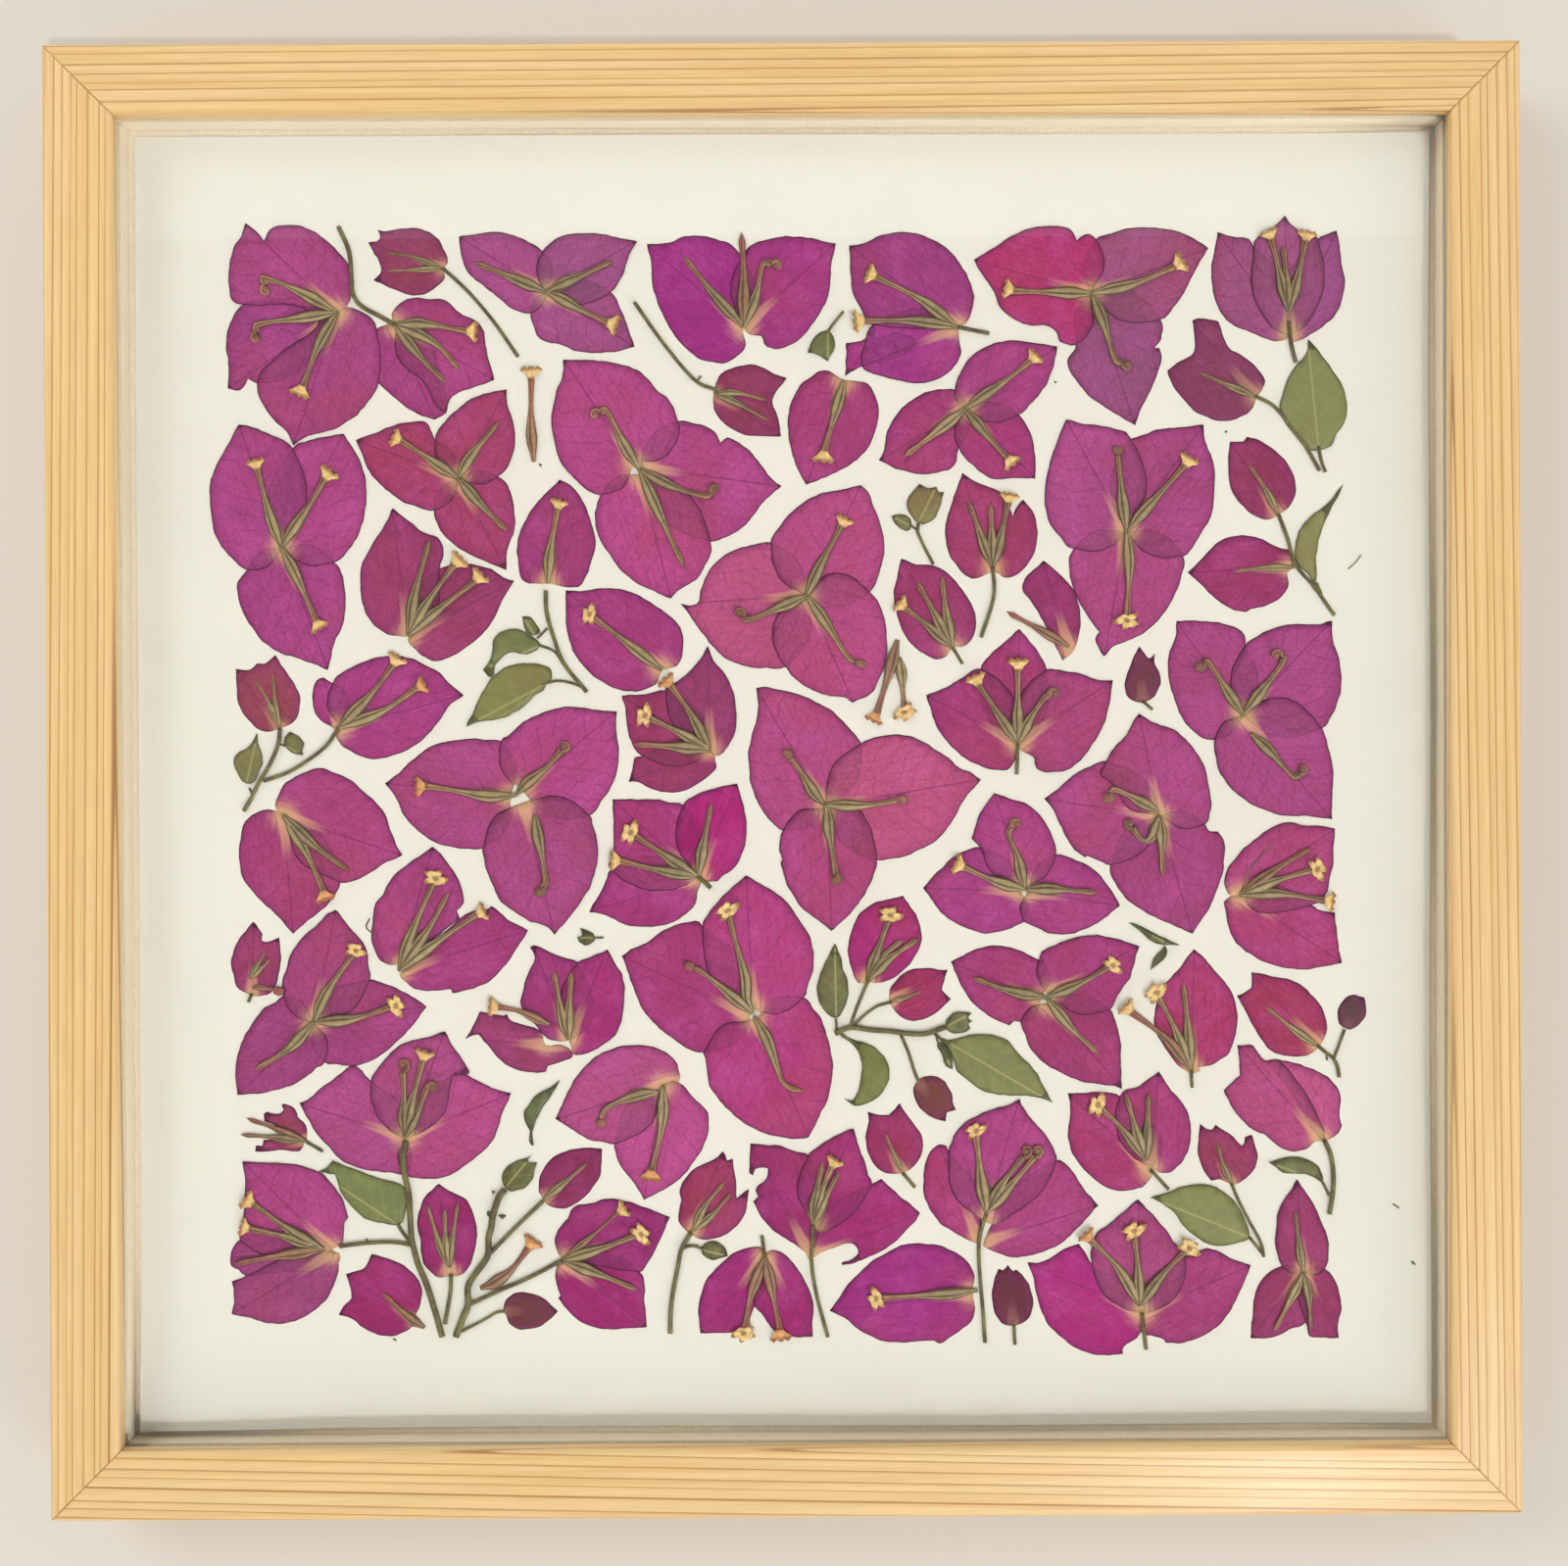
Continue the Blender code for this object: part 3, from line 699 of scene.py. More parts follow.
# fits the millimetres below to the sheet
layout = {"scale": 1.027, "turn": math.radians(-0.24), "shift": Vector((0.07, -0.32))}
turnOnSheet = Matrix.Rotation(layout["turn"], 2)
sheetSettings = {
    "spacing": 1.7 * mm,
    "edgeStep": 1.0 * mm,
    "thick": 0.05 * mm,
    "ragged": 0.24 * mm,  # how far a dried edge strays
    "layer": 0.09 * mm,
    "lift": 0.085 * mm,
    "wave": 0.022 * mm,
    "rowStep": 0.87,  # of the spacing, which makes the inner triangles even
    "clearance": 0.55 * mm,  # inner points keep off the outlines
    "closed": 1.8 * mm,  # an outline that comes this near its base is whole already
    "tipClear": 2 * mm,  # a starred corner this near the base is no tip
    "shortGap": 2.5 * mm,  # a gap that needs no bulge
    "bulge": 0.2,  # of the gap's length
    "wholeBase": 26 * mm,  # bracts shorter than this have a smaller pale base
}


def onSheet(word):
    x, y = word.split(",")
    return (turnOnSheet @ Vector((float(x), float(y))) * layout["scale"] + layout["shift"]) * mm


# Reads one line of a flower's settings: points in millimetres, where * marks a sharp corner, | starts the
# other
# edge from the tip, @ is where the piece grows from, # a colour, w a width, and a plain word says how it
# ends.
def readLine(text, start=None, colour=None):
    line = {"start": start, "colour": colour, "width": None, "end": "closed", "runs": [[]], "brown": False}
    for word in text.split():
        if word == "|":
            line["runs"].append([])
        elif word == "brown":
            line["brown"] = True
        elif word[0] == "@":
            line["start"] = onSheet(word[1:])
        elif word[0] == "#":
            line["colour"] = word[1:]
        elif "," in word:
            line["runs"][-1].append((onSheet(word.strip("*")), word[0] == "*"))
        elif word[0] == "w" and word[1].isdigit():
            line["width"] = float(word[1:]) * mm
        else:
            line["end"] = word
    return line


# Points along a smooth curve from one point to the next. A sharp corner leaves and arrives straight.
def curvePiece(before, first, last, after, step):
    (p0, _), (p1, sharp1), (p2, sharp2), (p3, _) = before, first, last, after
    run = (p2 - p1).length
    if run < 1e-7:
        return []
    leave = (p2 - p1) if sharp1 or (p2 - p0).length < 1e-7 else (p2 - p0).normalized() * run
    arrive = (p2 - p1) if sharp2 or (p3 - p1).length < 1e-7 else (p3 - p1).normalized() * run
    made = []
    for count in range(max(1, round(run / step))):
        t = count / max(1, round(run / step))
        made.append(
            p1 * (2 * t**3 - 3 * t**2 + 1) + leave * (t**3 - 2 * t**2 + t)
            + p2 * (3 * t**2 - 2 * t**3) + arrive * (t**3 - t**2)
        )
    return made


def smoothLoop(corners, step):
    count = len(corners)
    made = []
    for index in range(count):
        made += curvePiece(
            corners[index - 1],
            corners[index],
            corners[(index + 1) % count],
            corners[(index + 2) % count],
            step,
        )
    return made


def smoothPath(places, step):
    ends = [(place, False) for place in places]
    made = []
    for index in range(len(ends) - 1):
        before = ends[max(index - 1, 0)]
        after = ends[min(index + 2, len(ends) - 1)]
        made += curvePiece(before, ends[index], ends[index + 1], after, step)
    return made + [places[-1]]


# A bract's whole outline. Its edges run out where a neighbour covers them, so they are led on to its base in
# a bulge.
def bractLoop(line):
    start = line["start"]
    corners = list(line["runs"][0])
    if len(line["runs"]) > 1:
        corners = corners[::-1] + line["runs"][1]
    starred = [place for place, sharp in corners if sharp] or [place for place, sharp in corners]
    if max((place - start).length for place in starred) < sheetSettings["tipClear"]:
        starred = [place for place, sharp in corners]
    tip = max(starred, key=lambda place: (place - start).length)
    if min((place - start).length for place, sharp in corners) > sheetSettings["closed"]:
        bulges = []
        for end in (corners[-1][0], corners[0][0]):
            away = end - start
            if away.length < sheetSettings["shortGap"]:
                bulges.append(None)
                continue
            side = (tip - start).cross(away)
            outward = Vector((-away.y, away.x)) if side > 0 else Vector((away.y, -away.x))
            bulges.append((start + away / 2 + outward * sheetSettings["bulge"], False))
        corners += [point for point in (bulges[0], (start, False), bulges[1]) if point]
    loop = []
    for place in smoothLoop(corners, sheetSettings["edgeStep"]):
        ragged = noise.noise_vector(Vector((*place, 0)) / (1.7 * mm)).xy * sheetSettings["ragged"]
        loop.append(place + ragged)
    if sum(a.cross(b) for a, b in zip(loop, loop[1:] + loop[:1])) < 0:
        loop.reverse()
    return loop, tip


def edgeDistance(places, loop):
    first = np.array(loop)
    run = np.roll(first, -1, axis=0) - first
    size = np.maximum((run**2).sum(axis=1), 1e-14)
    gap = places[:, None, :] - first[None, :, :]
    share = np.clip((gap * run[None]).sum(axis=2) / size[None], 0, 1)
    return np.sqrt((((gap - share[..., None] * run[None])) ** 2).sum(axis=2).min(axis=1))


def restHeight(x, y):
    wave = noise.noise(Vector((x, y, 0)) / (9 * mm)) + 0.4 * noise.noise(Vector((x, y, 9 * mm)) / (3.4 * mm))
    return sheetHigh.z + paperLift(x, y) + sheetSettings["lift"] + sheetSettings["wave"] * wave


# Lays thin leaves or bracts over each other as closed sheets. The last is on top, and shows darker where
# others lie under it.
def addSheets(bm, layers, lines, slot, level, rng):
    shapes = [bractLoop(line) for line in lines]
    places, faces = [], []
    for loop, tip in shapes:
        faces.append(list(range(len(places), len(places) + len(loop))))
        places += loop
    low = [min(place[axis] for place in places) for axis in (0, 1)]
    high = [max(place[axis] for place in places) for axis in (0, 1)]
    spacing = sheetSettings["spacing"]
    grid = []
    for row in range(int((high[1] - low[1]) / (spacing * sheetSettings["rowStep"])) + 1):
        for column in range(int((high[0] - low[0]) / spacing) + 1):
            shifted = (column + 0.5 * (row % 2)) * spacing
            grid.append((low[0] + shifted, low[1] + row * spacing * sheetSettings["rowStep"]))
    if grid:
        clear = np.min([edgeDistance(np.array(grid), loop) for loop, tip in shapes], axis=0)
        places += [Vector(place) for place, gap in zip(grid, clear) if gap > sheetSettings["clearance"]]
    made, _, triangles, _, _, owners = delaunay_2d_cdt(places, [], faces, 1, 1e-6)
    flat = np.array(made)
    for number, (line, (loop, tip)) in enumerate(zip(lines, shapes)):
        base = line["start"]
        axis = (tip - base).normalized()
        along = (flat - np.array(base)) @ np.array(axis) / mm
        aside = (flat - np.array(base)) @ np.array((-axis.y, axis.x)) / mm
        rim = edgeDistance(flat, loop) / mm
        # The pale base of a small bract is smaller too.
        small = max(1.0, sheetSettings["wholeBase"] / (tip - base).length)
        fromBase = np.sqrt(((flat - np.array(base)) ** 2).sum(axis=1)) / mm * small
        below = [edgeDistance(flat, shapes[lower][0]) / mm for lower in range(number)]
        colour = [channel * rng.uniform(0.93, 1.07) for channel in linear(line["colour"])[:3]] + [1.0]
        if slot == bractSlot:
            # How pink the base colour is goes in the tint's alpha, and the finish mixes its washes by it.
            redBlue = colour[0] + colour[2] - 2 * colour[1]
            pinkness = min(max(redBlue * bractSettings["pinkGain"], bractSettings["leastPink"]), 1.0)
            colour = [channel * more for channel, more in zip(colour, bractSettings["strength"])] + [pinkness]
        mine = [(corners, set(inside)) for corners, inside in zip(triangles, owners) if number in inside]
        verts, edges = {}, {}
        for corners, inside in mine:
            for place in corners:
                if place not in verts:
                    x, y = made[place]
                    height = restHeight(x, y) + level + number * sheetSettings["layer"]
                    verts[place] = (
                        bm.verts.new((x, y, height)), bm.verts.new((x, y, height - sheetSettings["thick"]))
                    )
            for pair in zip(corners, corners[1:] + corners[:1]):
                edges[tuple(sorted(pair))] = None if tuple(sorted(pair)) in edges else (pair, inside)

        def paint(face, places, inside, smooth):
            face.material_index = slot
            face.smooth = smooth
            lower = [count for count in inside if count < number]
            for loopCorner, place in zip(face.loops, places):
                loopCorner[layers["vein"]].uv = (along[place], aside[place])
                loopCorner[layers["tint"]] = colour
                under = min([below[count][place] for count in lower] or [9.0])
                loopCorner[layers["zone"]] = (rim[place], fromBase[place], min(len(lower), 1.6), under)

        for corners, inside in mine:
            paint(bm.faces.new([verts[place][0] for place in corners]), corners, inside, True)
            paint(bm.faces.new([verts[place][1] for place in reversed(corners)]), corners[::-1], inside, True)
        for found in edges.values():
            if found:
                (first, last), inside = found
                wall = [verts[last][0], verts[first][0], verts[first][1], verts[last][1]]
                paint(bm.faces.new(wall), [last, first, first, last], inside, False)


# A flattened tube along a path, with five ribs, closed at both ends. Widths are spread evenly along it.
def addTube(bm, layers, path, widths, flatness, level, slot, colour, shade=(0.0, 1.0), ribs=0.1):
    sides = 10
    track = smoothPath(path, 0.9 * mm)
    if len(track) < 2:
        return
    lengths = [0.0]
    for first, last in zip(track, track[1:]):
        lengths.append(lengths[-1] + (last - first).length)
    rings = []
    for index, place in enumerate(track):
        ahead = (track[min(index + 1, len(track) - 1)] - track[max(index - 1, 0)]).normalized()
        across = Vector((-ahead.y, ahead.x))
        share = lengths[index] / lengths[-1]
        slotPlace = share * (len(widths) - 1)
        low = min(int(slotPlace), len(widths) - 2)
        half = (widths[low] + (widths[low + 1] - widths[low]) * (slotPlace - low)) / 2
        height = restHeight(*place) + level + half * flatness
        ring = []
        for side in range(sides):
            around = side * math.tau / sides
            reach = half * (1 + ribs * (-1) ** side)
            spot = place + across * reach * math.cos(around)
            ring.append(bm.verts.new((*spot, height + reach * flatness * math.sin(around))))
        rings.append((ring, share, lengths[index] / mm))

    def paint(face, marks, smooth=True):
        face.material_index = slot
        face.smooth = smooth
        for loopCorner, (around, share, run) in zip(face.loops, marks):
            loopCorner[layers["vein"]].uv = (around, run)
            loopCorner[layers["tint"]] = colour
            loopCorner[layers["zone"]] = (shade[0] + (shade[1] - shade[0]) * share, run, 0.0, 9.0)

    for (ringA, shareA, runA), (ringB, shareB, runB) in zip(rings, rings[1:]):
        for side in range(sides):
            after = (side + 1) % sides
            face = bm.faces.new((ringA[side], ringA[after], ringB[after], ringB[side]))
            turn, turnAfter = side / sides, (side + 1) / sides
            paint(
                face,
                [
                    (turn, shareA, runA),
                    (turnAfter, shareA, runA),
                    (turnAfter, shareB, runB),
                    (turn, shareB, runB),
                ],
            )
    for (ring, share, run), flip in ((rings[0], True), (rings[-1], False)):
        face = bm.faces.new(ring[::-1] if flip else ring)
        paint(face, [(0.0, share, run)] * sides, False)


# Copies a model into the flower, turned, sized and set down on the sheet.
def addCopy(bm, layers, model, place, direction, size, slot, colour, level):
    points, faces, marks = model
    across = Vector((-direction.y, direction.x))
    ground = restHeight(*place) + level
    verts = []
    for point in points:
        spot = place + direction * (point.x * size[0]) + across * (point.y * size[1])
        verts.append(bm.verts.new((spot.x, spot.y, ground + point.z * size[2])))
    for corners in faces:
        face = bm.faces.new([verts[corner] for corner in corners])
        face.material_index = slot
        face.smooth = True
        for loopCorner, corner in zip(face.loops, corners):
            loopCorner[layers["vein"]].uv = (points[corner].x, points[corner].y)
            loopCorner[layers["tint"]] = colour
            loopCorner[layers["zone"]] = (marks[corner], 0.0, 0.0, 9.0)


flowerTube = {
    "widths": [0.9, 1.6, 2.6, 2.9, 2.5, 1.8, 1.3, 1.15, 1.3, 1.6, 1.9],  # mm, from the stalk to the mouth
    "flat": 0.36,
    "star": (1.9, 2.5),
    "flare": (2.1, 2.5),
    "stalk": 2.2,  # mm, the width of a tube that names none
    "curlTurns": 1.15,
    "curlSteps": 12,
    "curlEye": 0.55 * mm,  # radius at the end of a curl
    "curlWidths": [1.35 * mm, 1.1 * mm, 0.9 * mm, 0.7 * mm],
    "curlKnot": (0.8 * mm, 0.7 * mm, 0.4 * mm),
    "bulbKnot": (1.3 * mm, 1.1 * mm, 0.45 * mm),
    "closedEnd": 0.9 * mm,
}


def addFlowerTube(bm, layers, line, level, rng):
    path = [line["start"]] + [place for place, sharp in line["runs"][0]]
    end = line["end"]
    shade = rng.uniform(0.85, 1.12)
    colour = (shade, shade * rng.uniform(0.94, 1.03), shade * 0.97, 1.0)
    if line["brown"]:
        colour = (1.05 * shade, 0.72 * shade, 0.8 * shade, 1.0)
    factor = (line["width"] or flowerTube["stalk"] * mm) / flowerTube["stalk"]
    widths = [width * factor * rng.uniform(0.94, 1.06) for width in flowerTube["widths"]]
    if end == "curl":
        centre = path.pop()
        rest = path[-1] - centre
        if rest.length > 1.7 * mm:
            path.append(centre + rest.normalized() * 1.2 * mm)
            rest = path[-1] - centre
        ahead = (path[-1] - path[-2]).normalized() if len(path) > 1 else Vector((0, 1))
        turn = 1 if ahead.cross(centre - path[-1]) > 0 else -1
        coil, steps = [], flowerTube["curlSteps"]
        radius = max(rest.length, 0.8 * mm)
        angle = math.atan2(rest.y, rest.x)
        for step in range(steps + 1):
            share = step / steps
            reach = radius + (flowerTube["curlEye"] - radius) * ease(share * 1.3)
            bearing = angle + turn * math.tau * flowerTube["curlTurns"] * share
            coil.append(centre + Vector((math.cos(bearing), math.sin(bearing))) * reach)
        addTube(bm, layers, path, widths, flowerTube["flat"], level, tubeSlot, colour)
        addTube(
            bm,
            layers,
            coil,
            flowerTube["curlWidths"],
            0.5,
            level + 0.1 * mm,
            tubeSlot,
            colour,
            (1.0, 1.5),
        )
        addCopy(
            bm,
            layers,
            knotModel,
            centre,
            Vector((1, 0)),
            flowerTube["curlKnot"],
            tubeSlot,
            (*[0.9 * c for c in colour[:3]], 1.0),
            level + 0.5 * mm,
        )
        return
    if end in ("closed", "bulb"):
        widths[-1] = flowerTube["closedEnd"] * factor
    addTube(bm, layers, path, widths, flowerTube["flat"], level, tubeSlot, colour)
    if end == "bulb":
        addCopy(
            bm,
            layers,
            knotModel,
            path[-1],
            Vector((1, 0)),
            flowerTube["bulbKnot"],
            tubeSlot,
            (*[0.95 * c for c in colour[:3]], 1.0),
            level + 0.5 * mm,
        )
    if end in ("star", "flare", "bell"):
        ahead = (path[-1] - path[-2]).normalized()
        turned = Matrix.Rotation(rng.uniform(-0.2, 0.2), 2) @ ahead
        deep, wide = flowerTube["star" if end == "star" else "flare"]
        size = rng.uniform(0.92, 1.1)
        warm = (0.9, 0.62, 0.56, 1.0) if end == "bell" else (
            1.0, rng.uniform(0.93, 1.0), rng.uniform(0.85, 1.0), 1.0
        )
        model, shift = (mouthModel, ahead * 0.6 * mm) if end == "star" else (flareModel, ahead * -0.7 * mm)
        addCopy(
            bm,
            layers,
            model,
            path[-1] + shift,
            turned,
            (deep * size * mm, wide * size * mm, 1.1 * mm),
            mouthSlot,
            warm,
            level + 0.75 * mm,
        )


def addStem(bm, layers, line, level):
    width = line["width"] or 0.9 * mm
    path = [place for place, sharp in line["runs"][0]]
    if line["end"] == "grows":
        path = [line["start"]] + path
    addTube(
        bm, layers, path, [width, width * 0.92, width], 0.8, level, stemSlot, (1.0, 1.0, 1.0, 1.0), ribs=0.04
    )


def makeFlower(flower):
    rng = random.Random(flower["name"])
    start = onSheet(flower["from"])
    bm = bmesh.new()
    layers = {
        "vein": bm.loops.layers.uv.new("veinMap"),
        "tint": bm.loops.layers.float_color.new("tint"),
        "zone": bm.loops.layers.float_color.new("zone"),
    }
    for text in flower.get("stems", []):
        addStem(bm, layers, readLine(text, start), 0.0)
    leaves = [readLine(text, start, "6e6c38") for text in flower.get("leaves", [])]
    for leaf in leaves:
        addSheets(bm, layers, [leaf], leafSlot, 0.25 * mm, rng)
    bracts = [readLine(text, start, flower.get("colour")) for text in flower.get("bracts", [])]
    if bracts:
        addSheets(bm, layers, bracts, bractSlot, 0.0, rng)
    top = len(bracts) * sheetSettings["layer"]
    for count, text in enumerate(flower.get("tubes", [])):
        addFlowerTube(bm, layers, readLine(text, start), top + 0.05 * mm * count, rng)
    mesh = bpy.data.meshes.new(flower["name"])
    bm.to_mesh(mesh)
    bm.free()
    for material in plantMaterials:
        mesh.materials.append(material)
    made = bpy.data.objects.new(flower["name"], mesh)
    bpy.context.collection.objects.link(made)
    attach(made, "root")
    if "stands" in flower:
        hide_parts(flower["stands"])


flowers = [
{
    "name": "trioTopLeft", "stands": "flower_01", "from": "-102.6,107.8", "colour": "9b3c78",
    "bracts": [
        """-108,109 -118,110.5 -124,109.8 -127,106.2 -128.2,101.5 -127.6,95.2 *-127.8,90.5 -125,90.1
        *-123,92.7 -121.2,91.6 -114,93 -107,98""",
        """-108,104 -115,99 -120,94.5 -121.2,91.4 -119.9,87.1 -117.2,83.3 -114.3,80.4 *-112.8,77.4
        -109.6,79.5 -104.2,80.9 -99.7,83.3 -96.6,86.2 -93.4,91.2 -92.8,98 -94.1,105.5 -96.1,107.5
        -99,108.8""",
        """#a3427c -112,109.5 -126,110 -127.5,114.7 -127.2,119 -126.4,122.6 -124.6,125.3 *-123.8,128.3
        -121.5,126.8 *-119.4,124.3 -117.6,127.3 -115,127.8 -110.9,127.6 -106.9,125.7 -103.3,122.6
        -99.8,118.3 -99.3,112.3 -100.6,109.1""",
    ],
    "tubes": [
        "-110,112 -119.7,115.8 -118.8,112.8 curl",
        "-111,106.5 -121.2,104.9 -121,102 curl",
        "-107,100 -110.7,90.3 flare",
    ],
},
{
    "name": "duoTopLeft", "stands": "flower_02", "from": "-89.6,105.1", "colour": "9b3a73",
    "bracts": [
        """*-80.4,83.3 -85.3,85.1 -89.4,88.3 -93,91.4 -94.3,93.9 -95.2,100.6 -94.1,103.7 -92,105 |
        -77.5,85.5 -78.6,92""",
        """-90.3,107.3 -88.3,110 -85.8,111.2 -81.3,111.1 -77.7,110.6 -74.6,107.8 -69.9,105.1 -68.1,97.5
        *-66.6,92.4 -70.5,91 -76.4,88.7 -78.6,85.1 -83,92""",
    ],
    "tubes": ["-82,105 -72.3,103.3 flare", "-80,100.5 -74.6,94.5", "-84,98 -77.7,91.6"],
    "stems": ["w1.1 -102.3,127.4 -99.9,121.7 -99.3,115.4 -99,112.3 -97.5,109.6 -93,107 -89.6,105.1"],
},
{
    "name": "redBudTop", "from": "-78.4,117.9", "colour": "823750",
    "bracts": ["""-77.5,120.8 -80,125.3 -83.5,127 -87.6,127.2 -91.6,126.5 *-93.4,126.9 -92.8,124.8
        *-95.6,123.9 -92.5,117.6 *-94.4,115.4 -90.3,113.4 -86.2,112 -82.6,112.1 -79.1,114.5"""],
    "tubes": ["w1.2 -86,120.8 -91.5,121.5", "w1.2 -86,117.6 -91.2,117.4"],
    "stems": ["w0.9 -78.4,117.9 -73,113 -67,106 -61.2,97.7"],
},
{
    "name": "trioTopSecond", "stands": "flower_03", "from": "-54.7,112.6", "colour": "964b7d",
    "bracts": [
        """-39.9,112.6 -37.4,108.2 -36,104.6 *-34.5,100.1 -39.2,99 -43.2,98.7 -47.3,99 -51.7,100.6
        -56.2,101.9 -57.8,105.1 -58.5,107.8""",
        """#9c4a80 *-74.8,125.3 -68.3,126.2 -64.8,126.3 -60.3,124.8 -55.6,122 | -74.1,120.3 -72.8,117.2
        -69.2,114.1 -64.7,110.5 -62.5,108.7 -58.7,107.8""",
        """-55.6,122 -53.5,124.1 -50.4,125.6 -45.9,126.1 -41.9,125.9 -37.8,124.9 *-33.9,124.3 -35.6,121.2
        -37.2,116.7 -39.9,112.6""",
    ],
    "tubes": ["-63,116 -71.2,119.4", "-47,116 -39.2,119.7", "-48,109 -40.1,105.1 flare"],
},
{
    "name": "trioTopThird", "stands": "flower_04", "from": "-9.4,104.6", "colour": "96237d",
    "bracts": [
        """*-31.7,123.6 -26.4,124 -23.9,125.2 -19.9,125.6 -15,124.6 -11.4,122.8 | -30.6,119 -30.4,114.1
        -28.4,108.2 -24.8,101.9 -20.3,97.7 -17.7,96.8 -13.4,96.5 -9.1,99.9 -9.4,102.6""",
        """#9d2a7c -8.5,122.6 -4.6,124.6 0.3,125.4 7,124.9 10.1,124 *11.7,123.8 10.7,119 10.3,113.2
        8.8,109.1 4.3,102.8 -0.2,99.9 -4.2,100.2 -5.5,102.6""",
    ],
    "tubes": ["-17,113 -23.5,121.2", "w2.4 brown -9.3,116 -9.9,126.4", "-6.4,112 -4.9,119 -1.9,118.6 curl"],
},
{
    "name": "maroonBudTop", "from": "-16.3,89.4", "colour": "82324b",
    "bracts": ["""-15.9,91.6 -14.7,93.9 -11.4,95.4 -7.8,96.1 -4.6,95.2 -2.4,93.9 *0.5,92.9 -1.3,90.7
        -2.8,87.8 -1.7,84.4 *-0.8,79.6 -6.4,79.7 -10,80.2 -13.6,82.2 -15.9,84.9 -16.5,87.6"""],
    "tubes": ["w1.4 -10,89.3 -4.4,87.8", "w1.4 -9.7,86.4 -3.7,83.1"],
    "stems": ["w0.9 -34.5,110.2 -28,101 -20.3,92.1 -15.6,90.1", "w0.5 -20.2,92.2 -19.2,93.4"],
},
{
    "name": "looseTubeTop", "from": "-57.6,73.7",
    "tubes": ["w2 brown -58.2,84 -58.1,93.4 flare"],
},
{
    "name": "trioBig", "stands": "flower_05", "from": "-33.4,71.9", "colour": "aa4182",
    "bracts": [
        """@-33,72.5 -24.6,83.1 -19.4,82.2 -16.5,80.9 *-14.7,78.2 -13.2,79.3 -8.7,76.8 -5.5,73.2
        -2.8,69.6 *-0.8,68.1 -2.8,66.5 -5.1,64.3 -7.8,60.7 -10.5,58 -14.1,56.2 -17.4,55.4""",
        """@-33.2,70.6 -42.3,66.1 -43.7,61.2 -42.8,56.7 -40.5,52.6 -37.4,48.6 -33.4,45.5 -29.3,43.7
        *-26.2,42.3 -24.8,44 -20.3,46.8 -18.3,50 -16.8,54.7""",
        """@-34.4,73 *-50.8,97.1 -41.9,96.8 -36.5,95.7 -32.9,94.1 -29.3,90.1 -26.6,88 -25,84.4 -24.2,80 |
        -51.1,93 -52.2,90.7 -53.5,84.4 -53.1,79.1 -51.5,73.7 -47.7,69.2 -45.5,67.2 -42.3,66.1""",
    ],
    "tubes": ["-37,78 -41.2,85.8 -43.4,84.4 curl", "-26,68 -17.7,65.6 -16,67.3 curl", "-29,62 -23,49.1"],
},
{
    "name": "duoCutTop", "stands": "flower_06", "from": "39.7,104.6", "colour": "9b2d7d",
    "bracts": [
        "@20.5,102 20,105.1 18.2,101.9 *14.1,101 *13.9,93.4 17.7,95.6 24,97 30,101",
        """39.9,102.2 40.5,98.8 39,95.7 35.7,93 31.2,91.8 26.7,92.3 22.2,93.4 17.7,95.6 18.4,101.9
        20,105.1 26,108""",
        """#94337a *14.8,123.3 17.7,123.7 21.8,125.5 26.7,126.4 32.1,125.5 37,122.8 40.6,118.5 43.3,112.7
        43.1,109.1 40.8,105.1 | 15,119 15.5,113.2 17.3,109.1 20,105.1""",
    ],
    "tubes": ["31,111 20.4,116.3 flare", "29,106 17.7,106 flare"],
    "stems": ["w1 39.7,104.6 46.9,103.1"],
},
{
    "name": "oliveBudTop", "from": "9.9,103.8",
    "leaves": ["#5d5a30 9.9,103.8 7.6,103 6,101 *5.3,98.8 7.4,98.3 *9.9,96.6 10.4,98 11.5,100.1 11.2,102.4"],
    "stems": ["w0.7 9.9,103.5 11.3,105.5 13.5,108.2"],
},
{
    "name": "ovalTop", "from": "13.7,92.5", "colour": "9b376e",
    "bracts": ["""13.7,92.5 9.4,94.8 6.1,93.4 3.4,91.2 1.4,87.1 0.7,83.1 1.1,78.2 2.5,73.2 *5,68.4
        10.1,70.5 15.9,73.7 19.5,77.7 21.6,84.9 20.7,88.9 19.1,91.6 15.9,92.4"""],
    "tubes": ["11.5,85 8.8,75.5 flare"],
},
{
    "name": "trioUnderCut", "stands": "flower_07", "from": "41.3,85.8", "colour": "9b3273",
    "bracts": [
        """39,90.3 35.2,90.3 32.1,89.6 28.5,87.4 25.4,84.4 23.6,80.9 22.9,76.8 *21.6,74.1 25.8,72.1
        31.2,70.9 35.7,71.4 39,72.8 39.9,76.8""",
        "39.9,76.8 42.9,73.2 47.3,70.1 52.7,70 *57.6,69.9 57.7,74.1 56.8,79.1 55.4,82.2 53.8,84.5",
        """#a03a78 39,90.3 40.2,93.9 42.9,97.9 47.3,100.6 51.8,101.5 57.7,101 *62.6,100.1 61.7,95.7
        59.9,91.2 56.3,86.7 53.8,84.5""",
    ],
    "tubes": ["49,91 56.8,97 flare", "34,80 27.2,74.8", "46,80 51.4,74.1 flare"],
},
{
    "name": "trioTopRight", "stands": "flower_08", "from": "70.4,112.3", "colour": "965078",
    "bracts": [
        """#8d4a73 67,100.6 64.8,96.6 66.6,93 69.7,89.2 73.8,86.2 77.8,83.8 *80.5,82.1 81.4,84.9
        83.2,88.5 85,92.5 86.6,97.5 *86.1,99.9 *85,99.9 86.4,101.9 86.4,106.4""",
